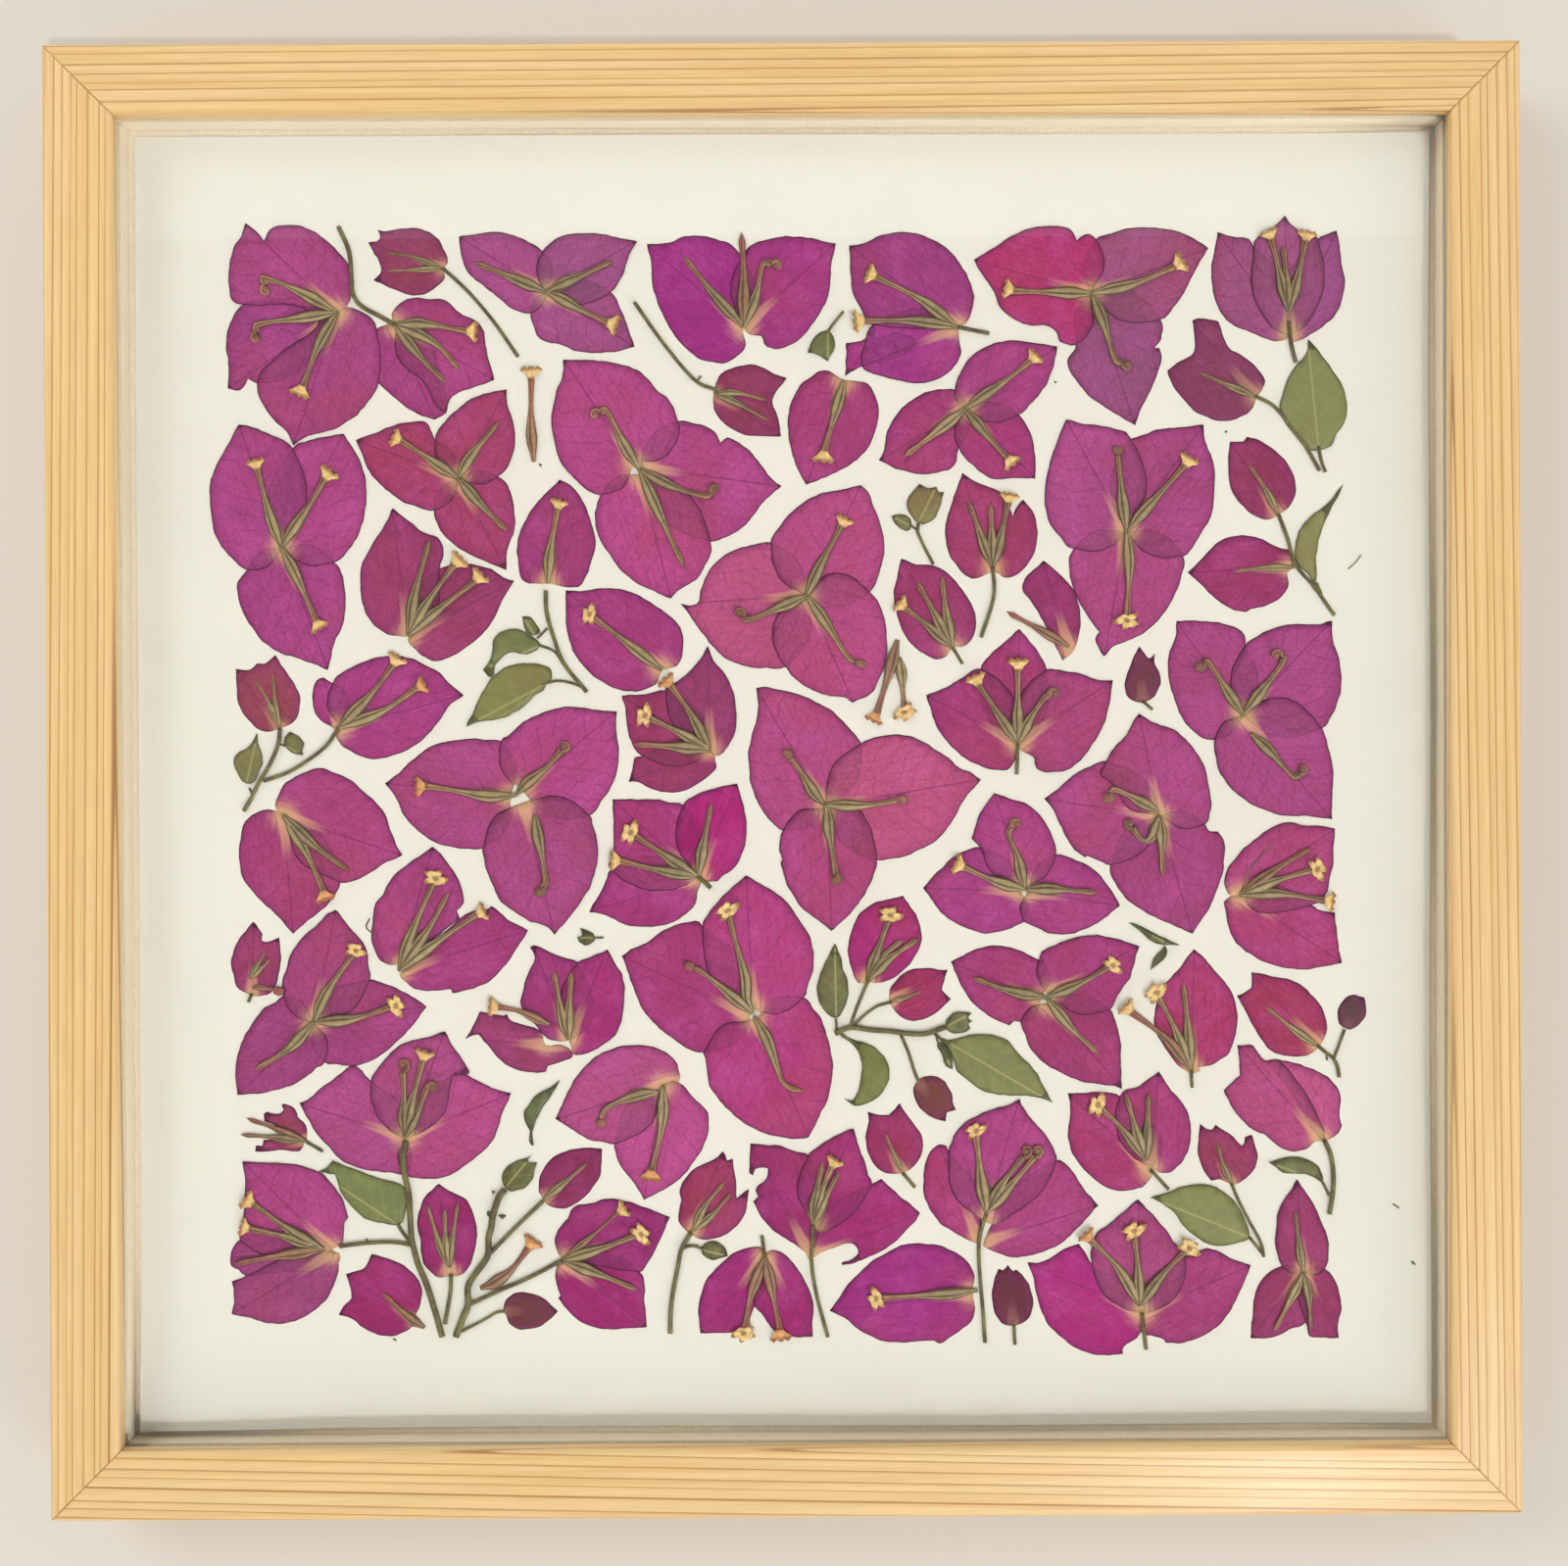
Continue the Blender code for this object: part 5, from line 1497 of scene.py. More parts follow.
flowers += [
{
    "name": "duoLowerLeft", "stands": "flower_18", "from": "-115.2,-7.5", "colour": "9b3773",
    "bracts": [
        """-117,-6.5 -118.8,-6.1 -120.6,-6.5 -122.4,-7.4 -123.9,-8.8 -124.8,-11 -125.5,-15.9 -125.2,-18.9
        -124.6,-21.8 -122.4,-24.9 -119.9,-27.6 -117.4,-29.9 *-113.1,-34.7 -111.4,-33.2 -108.7,-31
        -105.5,-28.5 -103.5,-26 -102.2,-23""",
        """#a13c77 -117,-5.2 -116.3,-2.5 -114.7,0 -111.6,1.8 -107,3.3 -102.8,2 -99.9,0.7 -97.5,-1.4
        -95,-3.6 -93,-5.6 -91.6,-7.9 -90.7,-10.8 -88.9,-15 *-87.8,-16.8 -91.4,-18.2 -93.9,-19.8
        -98.1,-22.2 -100.1,-22.8 -102.2,-22.9""",
    ],
    "tubes": ["-110,-16 -105.8,-25.4 bell", "-108,-14.5 -99.9,-20.4"],
},
{
    "name": "trioBigLeft", "stands": "flower_19", "from": "-61.6,-2.7", "colour": "a5417d",
    "bracts": [
        """@-63,-3.2 *-92,-0.1 -88.1,2.8 -86.4,4.6 -85,5.6 -82.7,7.6 -80.1,8.9 -77.2,9.5 -71.6,10.2
        -69,9.9 -65.3,9.6 | -89.8,-2.9 -88.7,-5 -87.6,-7.4 -85.8,-9.7 -83.5,-11.7 -80,-13.9 -76.8,-14.8
        -73.7,-15.2 -69.5,-15""",
        """@-60.5,-1.8 -65.3,9.6 -63,11.3 -60.8,13.5 -57.8,15.2 -54.9,16.3 -50,17.5 -47,17.3 -44.1,16.9
        -41.5,16.5 *-38.6,16.5 -38.8,13.7 -38.2,7.4 -38.4,3.7 -39.2,0.7 -40.4,-1.9 -41.8,-3.7 -44.8,-7.5""",
        """@-60,-4.6 #9f3f78 -44.8,-7.5 -44.1,-10.1 -43.2,-12.8 -42.9,-15.5 -43.2,-18.2 -43.9,-21.3
        -45,-24.5 -46.8,-27.2 -50.4,-32.1 -51.7,-33.4 *-53,-35.1 -54.2,-33.4 -56.2,-32.5 -58.5,-31.9
        -61.2,-30.3 -63.9,-28.5 -65.7,-26.7 -66.9,-24 -68.5,-20.4 -69.5,-15.9 -69.5,-15""",
    ],
    "tubes": [
        "-66,-3 -69.7,-2.8 -74.9,-1.9 -80.1,-1 -83,-0.7 bell",
        "-59.3,-0.4 -54.9,3.3 -51.1,7.4 -50.6,8.5 curl",
        "@-57.4,-7.2 -56.9,-11.5 -56,-15.9 -55.3,-20.4 -55,-23.1 -56.5,-24.9 curl",
    ],
},
{
    "name": "smallBudLeft", "from": "-122.5,-48.5", "colour": "8c3255",
    "bracts": ["""*-122.1,-31.9 -121,-33.4 *-120,-34.8 -120.2,-36.5 -118.5,-36.4 *-116.3,-35.6
        -116.1,-37.9 -115.8,-40.6 -116.3,-43.3 -117.2,-46.9 -119,-48.7 -122.5,-49 -124.6,-48 -126.2,-46.9
        -126.6,-44.9 -127.4,-41.3 -126.8,-38.6 -125.9,-36.6 -124.6,-34.8"""],
    "tubes": [
        "w1.3 @-123,-45 -119.2,-38.6",
        "w1.2 @-122.6,-45 -118.1,-40.4",
        "w1.2 brown @-122.4,-47 -119,-47.3 -116.3,-47.8 bulb",
    ],
    "stems": ["w0.8 -122.5,-48.5 -123.3,-50.4"],
},
{
    "name": "trioLowerLeft", "stands": "flower_20", "from": "-108.2,-55", "colour": "9b3c78",
    "bracts": [
        """-95.4,-45.3 -93,-45.8 -90.3,-46.7 -87.6,-48.2 -84.9,-49.6 *-82.4,-51.4 -83.3,-52.7 -85.1,-55.2
        -86.7,-57.2 -88.7,-59.2 -93,-62.8 -95.2,-64 -97.5,-64.8 -99.9,-65.2 -102.8,-64.8 -105.5,-64.5""",
        """#973a72 -115.4,-49.1 -117.2,-50.5 -119.7,-51.8 -121.5,-53.9 -122.8,-55.9 -124.6,-59
        -125.7,-62.2 -126.3,-65.3 -126.3,-67.5 *-125.9,-71.7 -123,-71.6 -120.1,-71.3 -114.5,-70
        -111.8,-68.8 -109.6,-67.3 -107.6,-65.5 -106,-64.6""",
        """-115.4,-49.1 -115.4,-45.1 -114.7,-43.3 -113.6,-39.5 -112.3,-37.5 -110.5,-35.2 -107.1,-32.3
        -105.1,-30.1 *-103.2,-29.2 -102.2,-30.5 -100.6,-32.5 -98.6,-35 -97,-36.6 -95.8,-39.7 -95.8,-42.2
        -95.4,-45.1""",
    ],
    "tubes": ["-105,-48 -98.8,-39 star", "-100,-54.5 -89.8,-51.4 star", "-114,-61 -121.9,-66"],
},
{
    "name": "duoCentreLeft", "stands": "flower_21", "from": "-88.7,-43.3", "colour": "9b326e",
    "bracts": [
        """*-74.8,-31.2 -71.9,-29.4 -69.2,-29.4 *-67.4,-28.3 -65.6,-29.6 -63.8,-31.4 -61.2,-32.8
        *-59,-33.9 -59.6,-35.2 -61.2,-37.5 -63,-40.2 -64.8,-42.5 -67.4,-45.3 -70.5,-46.9 -73.7,-47.8
        *-76.4,-48.5 -76.8,-47.6 -80,-47.9 -83.1,-47.8 -85.3,-47.3 -87.1,-45.8 -88.6,-44.2""",
        """#a03674 *-81,-14.7 -82.9,-16.2 -85.3,-17.7 -89.8,-21.3 -91.4,-23.6 -92.5,-25.8 -93.9,-27.4
        -94.5,-29.9 -94.9,-33 -95,-36.1 -94.3,-38.8 -93,-40.8 -91.6,-41.7 -88.5,-41.6 | -80.4,-15
        -78.6,-17.1 -76.8,-19.3 -75.2,-22 -74.1,-24.7 -73.8,-27.6 *-75.4,-29.4 *-74.8,-31.2""",
    ],
    "tubes": ["-85,-33 -80.4,-22.5 star", "-82,-34 -77,-24.9", "-79,-36 -70.1,-29.9 flare"],
    "stems": ["w0.35 -95.4,-31.2 -96.2,-33.4 -93.6,-35"],
},
{
    "name": "trioWithLongStem", "stands": "flower_22", "from": "-87.3,-81.5", "colour": "a5467d",
    "bracts": [
        """*-111.6,-73.8 -109.1,-72.4 -107.1,-70.6 -102.4,-67 -100.1,-65.2 *-98.8,-65 -97.9,-65.7
        -95.2,-68.6 | -110.7,-75.6 -109.3,-78 -107.8,-80.7 -105.5,-83.2 -103.3,-85.7 -100.6,-87.7
        -97.5,-88.8 -93.9,-89.5 -90.3,-89.7 -87.6,-90.1""",
        """*-63,-71.4 -65.2,-70.9 -67.4,-70.2 -69.6,-69.1 -71.9,-67.9 -73.7,-67.1 *-75.9,-66.9 |
        -63.6,-73.1 -64.9,-75.6 -66.1,-80 -67.4,-82.5 -69.6,-85 -72.3,-87.2 -75,-89 -77.3,-90.4 -80,-91
        -82.7,-91.2 -87.6,-90.1""",
        """#a24379 *-78.2,-57.2 -80.4,-57.9 -83.1,-58.8 -85.8,-59.2 -88.5,-60.4 -90.7,-62.2 -92.5,-64.4
        -95.2,-68.6 | -77.5,-58.3 -76.4,-60.6 -75,-62.2 -73.7,-64.4 -72.6,-67.1 -75.9,-66.9""",
    ],
    "tubes": [
        "-87.4,-74 -87.6,-66.4 -87.8,-64.8 curl",
        "-85.5,-73 -82.9,-63.1 flare",
        "-84.4,-76 -82.2,-70.2 -81,-70 curl",
    ],
    "stems": [
        """w1.5 -87.1,-82.3 -87.8,-86.3 -87.4,-90.1 -86.5,-94.4 -86.2,-98.9 -85.8,-104.7 -84.4,-110.6
        -82.7,-114.6 -80.9,-120 -78.8,-127.4""",
        "w1 -86,-106.3 -88.5,-105.8 -91.6,-105.6 -95.7,-105.8 -99.7,-106.2 -102.4,-106.6",
        "w0.6 -95.9,-105.8 -96.3,-104.9",
        "w0.9 -86.3,-105.4 -87.8,-103.6 -88.9,-101.8",
    ],
},
{
    "name": "chewedRedBud", "from": "-110,-82.3", "colour": "8c374b",
    "bracts": ["""-110,-81.6 -109.9,-79.6 -110.7,-78 -112,-76.9 -112.7,-74.9 -114.1,-74.2 -115.2,-73.8
        *-115.8,-74.2 *-115.3,-75.3 -116.1,-76 -118.1,-76 -119,-75.6 *-119.9,-76 *-119.7,-77.8
        -116.3,-79.8 -117.2,-81.8 *-120.1,-82.1 -120.3,-83.6 *-121.7,-83.4 *-121.9,-84.8 -118.5,-84.8
        -115.4,-84.5 -111.8,-84.8 -110.7,-83.4"""],
    "tubes": ["w1.6 brown -117,-79.5 -123.9,-77.1", "w1.6 -118,-81.4 -125.3,-80.9"],
    "stems": ["w0.8 -110,-82.6 -106.2,-84.8"],
},
{
    "name": "duoBottomLeft", "stands": "flower_23", "from": "-103.7,-107.9", "colour": "963c6e",
    "bracts": [
        "-125.3,-105.2 -127.1,-107.2 -127.6,-109.2 -127.3,-111.2 -125.7,-112.1 -124.1,-113.5 -115,-112.5",
        """-102.6,-108.3 -102.6,-110.6 -102.9,-113.2 -104,-115.9 -105.3,-118.6 -107.3,-120.6
        -109.6,-122.4 -112.7,-123.8 -118.1,-124.5 -123.5,-123.1 *-127.2,-122.3 -126.8,-120 -126.8,-117.3
        *-127.1,-114.8 -124.1,-113.5 -117,-110 -110,-107.6""",
        """#a53c78 *-124.7,-87.1 -121.2,-87.3 -113.6,-87.7 -110.9,-88.2 -108.2,-89.1 -106.4,-89.9
        -104.6,-91.7 -102.8,-94 -101.7,-95.7 -101,-98.4 *-100.5,-100 -101.3,-101.1 -101.7,-105.4
        -102.8,-106.7 | -124.3,-89.9 -124.1,-95.3 -124.8,-102 -125.3,-105.2 -119,-109 -112,-109.6""",
    ],
    "tubes": [
        "@-106,-107.2 -114,-102.6 -122.6,-96.4 flare",
        "@-106,-107.2 -114,-104.5 -123.5,-102.3 flare",
        "brown @-106,-107.2 -116,-108.6 -126.8,-110.6",
    ],
},
{
    "name": "foldedLeaf", "from": "-88.9,-101.8",
    "leaves": ["""#696e3c *-107.5,-89.4 -105.5,-88.6 *-104,-86.9 -100.6,-88.3 -93,-91.1 -88,-92.6
        -86.9,-94.4 -86.8,-96.6 -87.4,-98.9 -88.5,-101.6 -93.4,-101.1 -96.6,-100.2 -98.8,-98.4
        -100.6,-96.4 -102.2,-94 *-103.5,-90.1 -105.5,-89.8"""],
},
{
    "name": "purpleOvalBottom", "from": "-77,-113.4", "colour": "8c145f",
    "bracts": ["""*-79.8,-92.2 -81.5,-94 -83.3,-96 -84.6,-101.1 -84,-104.7 -83.8,-107.9 -83.1,-110.6
        -81.3,-112.8 -79.5,-114.1 -77,-113.5 -75.5,-113.6 -73.7,-112.8 -72.3,-110.6 -71.4,-107.4
        -70.8,-104.3 -71.2,-101.1 -72.1,-98.4 -73.2,-96.2 -75,-94.9 -77.3,-94"""],
    "tubes": [
        "w1.6 @-77.3,-111.5 -79.8,-105 -82.2,-97.1",
        "w1.8 @-77.3,-111.5 -78,-105 -78.2,-98",
        "w1.6 @-77.1,-111.5 -76.4,-105 -75.2,-96.6",
    ],
    "stems": ["w1 -76.8,-113.2 -76.9,-116.8 -78.2,-124.5"],
},
{
    "name": "purpleCutBottom", "from": "-84,-124.6", "colour": "91195f",
    "bracts": ["""*-95.3,-108.5 -93,-109 -90.3,-109.9 -87.6,-111.2 -85.3,-113.2 -84,-115.5 -83.5,-117.7
        -84,-120.7 -84.9,-122.2 -84.7,-123.8 -86.2,-125.6 -88.5,-126.9 -91.6,-127.5 -94.3,-126.9
        -97,-125.6 -99.3,-123.6 -101,-122.9 *-102.8,-122.6 -101.7,-120.6 -99.9,-118.6 -100.1,-115.9
        *-101.1,-113.2 -98.8,-112.4 -96.8,-111.7"""],
    "tubes": ["w2 brown @-82.9,-125.4 -87.6,-122 -92.5,-117.3"],
},
{
    "name": "branchingStemBottom", "from": "-75.6,-127.4",
    "stems": [
        """w1.6 -75.6,-127.4 -74.1,-123.3 -72.8,-120 -72.8,-115.9 -71,-112.8 -68.3,-108.8 -68.1,-104.7
        -67.4,-102 -67.2,-100.2 -66.5,-97.5 -65.6,-95.1 -64.3,-93.5""",
        "w1 -68.3,-108.8 -61.6,-102 -55.6,-96.2",
        "w1 -72.8,-120.2 -66,-117 -58.9,-113.9 -51.3,-109.9",
        "w0.7 -74.4,-126.3 -69.2,-123.6 -66.1,-121.8 -64.7,-121.7",
    ],
    "leaves": [
        "@-67.4,-99.8 #5d5a30 *-68.5,-98.4 -68.6,-99.3 -67.8,-100 | -67.4,-98.8",
        "@-66.5,-100.2 #5d5a30 *-64,-99.6 -65,-99.2 -66,-99.5 | -65,-100.4",
        "@-66.2,-94.8 #5d5a30 *-67.6,-93.8 -67.2,-94.8 | -66.6,-94",
    ],
},
{
    "name": "oliveBudBottom", "from": "-64.3,-93.1",
    "leaves": ["""#55501e -64.3,-93.3 -65,-91.3 -64.8,-89.5 -63.6,-88.1 -61.6,-87 -59.4,-86.3
        *-58.1,-85.7 -59.1,-87.2 *-57,-87.3 -57.6,-89.2 -58,-91 -59.4,-92.8 -61.2,-93.7 -62.7,-94"""],
},
{
    "name": "maroonOvalBottom", "from": "-55.6,-96", "colour": "821e4b",
    "bracts": ["""*-42,-84.2 -45.5,-84.1 -48.6,-84.3 -51.3,-85.2 -54,-86.8 -55.6,-89 -56.6,-91.7
        -56.6,-94 -55.6,-96 -54.7,-97.1 -52.6,-98 -50.4,-98 -48.2,-96.9 -46.1,-95.3 -44.1,-93.1
        -42.5,-90.4 -42.2,-87.2"""],
    "tubes": ["w1.7 -51,-92.4 -45.5,-87.5"],
},
{
    "name": "smallLeafBottom", "from": "-58.1,-83.4",
    "leaves": ["""#4b552d *-51.5,-68.2 -54,-70.2 -56.7,-71.5 -58.9,-73.8 -60,-76 -59.8,-78.3 -58.5,-80.5
        | -52.6,-70.2 -54.4,-72.9 -56.2,-75.6 -57.6,-78.7 -58.1,-80.5"""],
    "stems": ["w0.6 -58.4,-80.4 -58.1,-83.4"],
},
{
    "name": "purpleDuoBottom", "stands": "flower_24", "from": "-51.3,-109.9", "colour": "9b1969",
    "bracts": [
        """-52.6,-111.5 -52.9,-113.7 -52.3,-116.4 -51.7,-118 *-52.2,-118.6 -50.2,-121.3 -48.2,-123.3
        -45.5,-124.9 -42.8,-125.7 -39.2,-125.9 *-31.7,-125.4 -32,-122.7 -32.4,-119.1 -32.2,-115.9
        -33.4,-112.6""",
        """#8f1a66 -51.3,-109.4 -52.6,-107.4 -53,-105.2 -52.2,-102.9 -50,-100.2 -49.3,-98.4 -47.3,-97
        -45,-97 -42.8,-96.2 -40.1,-95.8 -36.5,-96.3 -32.9,-97.5 *-26.5,-99.9 -27.5,-102.5 -28.6,-105.2
        -30,-107.9 -31.6,-110.6 -33.4,-112.6""",
    ],
    "tubes": [
        "w1.3 brown -44.6,-104.5 -37.8,-98.4 flare",
        "-43,-107.5 -33.6,-104 star",
        "-43,-113 -33.8,-116.8",
    ],
},
{
    "name": "brownBudBottom", "from": "-64.8,-121.7", "colour": "5f3228",
    "bracts": ["""-64.8,-121.7 -64.1,-119.1 -62.5,-117.7 -60.3,-117.3 -57.6,-117.8 -54.9,-119.3
        *-52.3,-121.7 -54,-123.6 -56.2,-125.1 -58.9,-125.9 -61.6,-125.7 -63.4,-124.5 -64.3,-122.7"""],
},
{
    "name": "looseTubeBottom", "from": "-70.1,-116.4",
    "tubes": ["w2.2 brown -67,-115.3 -63,-112.3 -58.5,-106.5 bell"],
},
{
    "name": "trioGapCentre", "stands": "flower_25", "from": "-49.7,-59.2", "colour": "8c3764",
    "bracts": [
        """@-55,-60.4 *-73.5,-58.9 -71.9,-56.3 *-70.1,-52.5 -67.8,-53 -64.7,-53.6 *-64,-53.2 -62.7,-54.8
        -58.9,-56 | -70.5,-57.9 -69.2,-59.5 -67.4,-61.7 -64.3,-64.8 -61.2,-66.2 -58,-66.7 *-55,-66.6
        -54.7,-65.3 -51.7,-64.4 -48.8,-62.6""",
        """#962d6e *-57.8,-37.4 -56.2,-37.7 -53.5,-39.3 -50.4,-40.4 -47.7,-41.2 -44,-50 | *-58.7,-37.9
        -57.4,-40.2 -58.3,-42.4 -59.6,-45.1 -60.3,-48.2 -60.7,-51.4 -57.6,-55.6""",
        """#9b1e69 -47.7,-41.2 -45.5,-40.4 -43.2,-39.5 *-40.8,-38.4 -39.9,-39.9 -38.7,-42 -37.4,-44.2
        -36.9,-46.5 -36.9,-49.6 -37.2,-52.7 -37.8,-55.9 -39.6,-58.6 -42.3,-60.6 -45.5,-62.2 -48.6,-62.5
        -49.3,-60.8 -52,-50""",
    ],
    "tubes": [
        "-51.6,-51 -53.1,-43.1",
        "-49.4,-50 -49,-43.3",
        "w1.8 brown @-54,-55.6 -60.3,-52.7 -66.3,-51.4 flare",
    ],
},
{
    "name": "trioCentre", "stands": "flower_26", "from": "-19.9,-21.6", "colour": "a53273",
    "bracts": [
        """#9b286e -40.1,-20 -41.2,-22.7 -42.5,-25.4 -44.1,-28.1 *-44.9,-29.7 -42.3,-30.1 -40.1,-31
        -37.4,-32.3 -34.7,-33 -31.6,-33.1 -28.4,-32.8 -25.3,-31.9 -22.6,-30.1 -20.8,-28.3 -20.1,-26.3
        -19.9,-24.7""",
        "*-39.7,-3.8 -35.6,-3.8 -28.9,-3.9 -26.2,-4.6 -23.5,-5 | -39.5,-7.9 -39.4,-11.5 -39.3,-15 -40.1,-20",
        """#a5006e -23.5,-5 -21.2,-3.3 -19,-2.1 -16.3,-1.4 -13.6,-0.7 *-10.9,-0.2 -10.2,-2.5 -9.4,-5.6
        -8.8,-9.2 -8.8,-12.4 -9.4,-15.3 -10.5,-18 -12,-20.1 -14.1,-21.3 -15.6,-22.5 -17,-22.7""",
    ],
    "tubes": ["-27,-17 -34.9,-11.7 star", "-29,-20 -38.3,-17.7 flare", "-18.4,-13 -16.8,-4.5"],
    "stems": ["w1.1 -19.9,-21.6 -17,-24.2"],
},
{
    "name": "tinyOliveBud", "from": "-43.4,-35.6",
    "leaves": ["""#464123 *-47.1,-33.5 -45.5,-33.8 -44.1,-34.6 -43.6,-35.6 -44.6,-37 -46.1,-37.4
        -47.3,-36.6 *-47.8,-35.6 -46.6,-35"""],
    "stems": ["w0.5 -44,-35.7 -41.7,-35.6"],
},
{
    "name": "bigTrioBottomCentre", "stands": "flower_27", "from": "-7.3,-53", "colour": "a53278",
    "bracts": [
        """@-7.9,-53.7 #9c3170 -19,-32.8 -19.7,-31.9 -22.6,-32.1 -25.3,-32.8 -28,-33.9 -30.4,-35.7
        -32.9,-37.3 -35.6,-38.4 *-37.5,-39.8 -36.5,-42.2 -35.6,-45.1 -34.2,-49.1 -32.7,-52.3 -30.2,-55.2
        -28,-57.2 -25.7,-59 -23.5,-60.6 -21.2,-61.7 -18.8,-62.2""",
        """@-6.9,-54.2 4.4,-49.4 6.1,-51.4 8.1,-53.9 9.4,-57.2 10.3,-60.8 11,-64.4 10.8,-68.8 9.9,-72.9
        8.3,-76 7,-78.7 *5.5,-81.6 3.8,-82 0.7,-81.8 -2.4,-81.3 -5.5,-80.3 -9.1,-78.5 -12.3,-76
        -15.4,-72.6 -17.4,-69.5 -18,-66.6 -18.3,-63.4 -18.8,-62.2""",
        """@-7.3,-52 #a8367b *-8.9,-21.3 -10.5,-22.7 -13.2,-25.1 -15.4,-27.4 -17.2,-29.6 -19,-32.8 |
        -7.3,-22.2 -4.6,-23.8 -1.9,-25.4 0.7,-27.7 2.6,-30.5 4.3,-33 5.9,-35.7 6.5,-38.4 6.7,-41.1
        6.3,-43.8 5.4,-46.5 4.4,-49.4""",
    ],
    "tubes": [
        "-8.7,-49.6 -8.9,-45.1 -11.4,-36.1 -12.9,-29.9 star",
        "-12,-49 -19.9,-42.9 -22,-42.1 bulb",
        "@-7.1,-53.6 -4.2,-59 -1.5,-66.6 -0.6,-68.8 1.6,-70.4 4.7,-70.9",
    ],
},
{
    "name": "pinkDuoBottom", "stands": "flower_28", "from": "-28,-69.7", "colour": "af4682",
    "bracts": [
        """-24.2,-69.1 -22.6,-70.4 -21.2,-72.4 -19.4,-74 *-17.6,-75.9 -17.5,-77.8 -17.6,-80.3 -18.5,-83.2
        -20.3,-86.3 -22.6,-89.5 -24.8,-91.7 -27.1,-93.3 -29.8,-94.6 *-32.5,-96 -33.6,-94 -35.1,-91.7
        -36.9,-89.5 -38.3,-87.2 -39,-85 -39.3,-83.2""",
        """#ad4a84 *-52.8,-77.4 -51.7,-75.1 -50.4,-72.2 -49.1,-69.5 -47.9,-67.5 -45.5,-64.8 -42.8,-62.6
        -39.2,-61 -35.6,-60.4 -32,-60.5 -28.9,-61.3 -26.6,-62.6 -24.8,-64.8 -24.2,-67.5 -24.3,-68.8 |
        -50.8,-78.5 -49.1,-79.8 -46.8,-81.2 -44.6,-82.3 -41.9,-82.7 -39.2,-83.2""",
    ],
    "tubes": [
        "@-28.9,-71.1 -32.9,-71.5 -40.1,-74.2 -41.9,-76 -42.3,-78.3 bulb",
        "-28.4,-79 -30.7,-89.5 bell",
    ],
},
{
    "name": "redBudTrioBottom", "from": "-21.2,-103.2", "colour": "912d50",
    "bracts": ["""*-14.3,-84.8 -15.4,-86.1 -17.2,-87.2 -19.4,-88.1 -21.7,-89.5 -23,-91.3 -24.2,-93.7
        -23.9,-96.2 -24.2,-98.4 -24.4,-100.9 -23.3,-102.5 -20.8,-104.5 -19,-105.2 -16.8,-105.1
        -14.1,-104.3 -11.8,-102.7 -10,-100.7 -8.9,-98 -8.5,-95.3 *-8.2,-93.6 -9.6,-94.4 *-11.1,-95.7
        -11.1,-93.1 -11.4,-90.4 -11.9,-88.1 *-12,-86.6 -13.3,-86.9 -13.6,-85.7"""],
    "tubes": ["w1.6 -18,-97 -13.6,-91.7", "w1.6 -16.6,-99.4 -12.3,-94.4"],
    "stems": [
        "w1.1 -21.5,-103.4 -23.7,-107.2 -24.6,-111.5 -25.5,-115.9 -26.2,-120.9 -26.4,-126.7",
        "w0.8 -23.5,-107.2 -22.1,-106.7 -20.3,-106.7 -19.4,-107.2",
    ],
    "leaves": ["""@-19.4,-107.4 #504623 -19.4,-107.2 -18.3,-106 -16.8,-105.6 -15,-106 -13.6,-107.2
        *-13.1,-109 -14.5,-109.4 -16.3,-109.9 -18.1,-109.4 -19.1,-108.5"""],
},
{
    "name": "chewedPurpleTrio", "stands": "flower_29", "from": "6.1,-109.3", "colour": "9b1969",
    "bracts": [
        """20.1,-92.3 *22.2,-91.2 24,-92.8 26.3,-95.1 29,-97.1 *31.2,-99.1 30.1,-100.9 28.1,-102.9
        25.8,-105.4 23.1,-107.4 19.5,-109.2 15.9,-110.6 *13.3,-111.2 *13,-110.6 15.5,-109.7 16.8,-108.5
        16.6,-107 15.3,-106.1 13.3,-106.3 11.5,-107.2 10.1,-107.6 8.3,-108.3""",
        """#931a63 *-7.8,-83 -4.2,-83.4 -0.6,-83.6 0.2,-84.1 2.9,-85 5.4,-85.7 9,-96 | *-8.1,-86.3
        *-8.2,-89.9 *-7.3,-90.4 -6.7,-89 -5.1,-88.5 *-4,-88.8 -4,-90.4 -4.9,-91.9 -6.2,-92.6 *-6.7,-94
        -6.3,-95.3 *-7.3,-96.4 -6.9,-97.1 -5.5,-100 -3.3,-102.5 -0.6,-104.5 2.9,-106.7 4.7,-108.3
        5.9,-109.9""",
        """@6.5,-101.6 5.4,-85.7 7,-84.3 9.2,-82.7 11.9,-81.2 14.2,-80 *15.9,-79.6 16.4,-81.8 17.3,-84.5
        18.4,-87.2 19.3,-90.4 20.1,-92.3 16,-99 9,-103.6""",
    ],
    "tubes": [
        "@6.5,-101.6 7.4,-94 8.8,-86.8",
        "@6.5,-101.6 8.6,-94 11,-87.7 flare",
        "@6.5,-101.6 9.6,-95 12.6,-89.5",
    ],
    "stems": ["w0.9 6.1,-109.7 6.5,-113.7 7.6,-119.1 9.9,-127.6", "w0.9 6.1,-109.7 6.3,-105 6.5,-101.6"],
},
{
    "name": "purpleDuoBottomCentre", "from": "-4.6,-109.2", "colour": "9a1970",
    "bracts": [
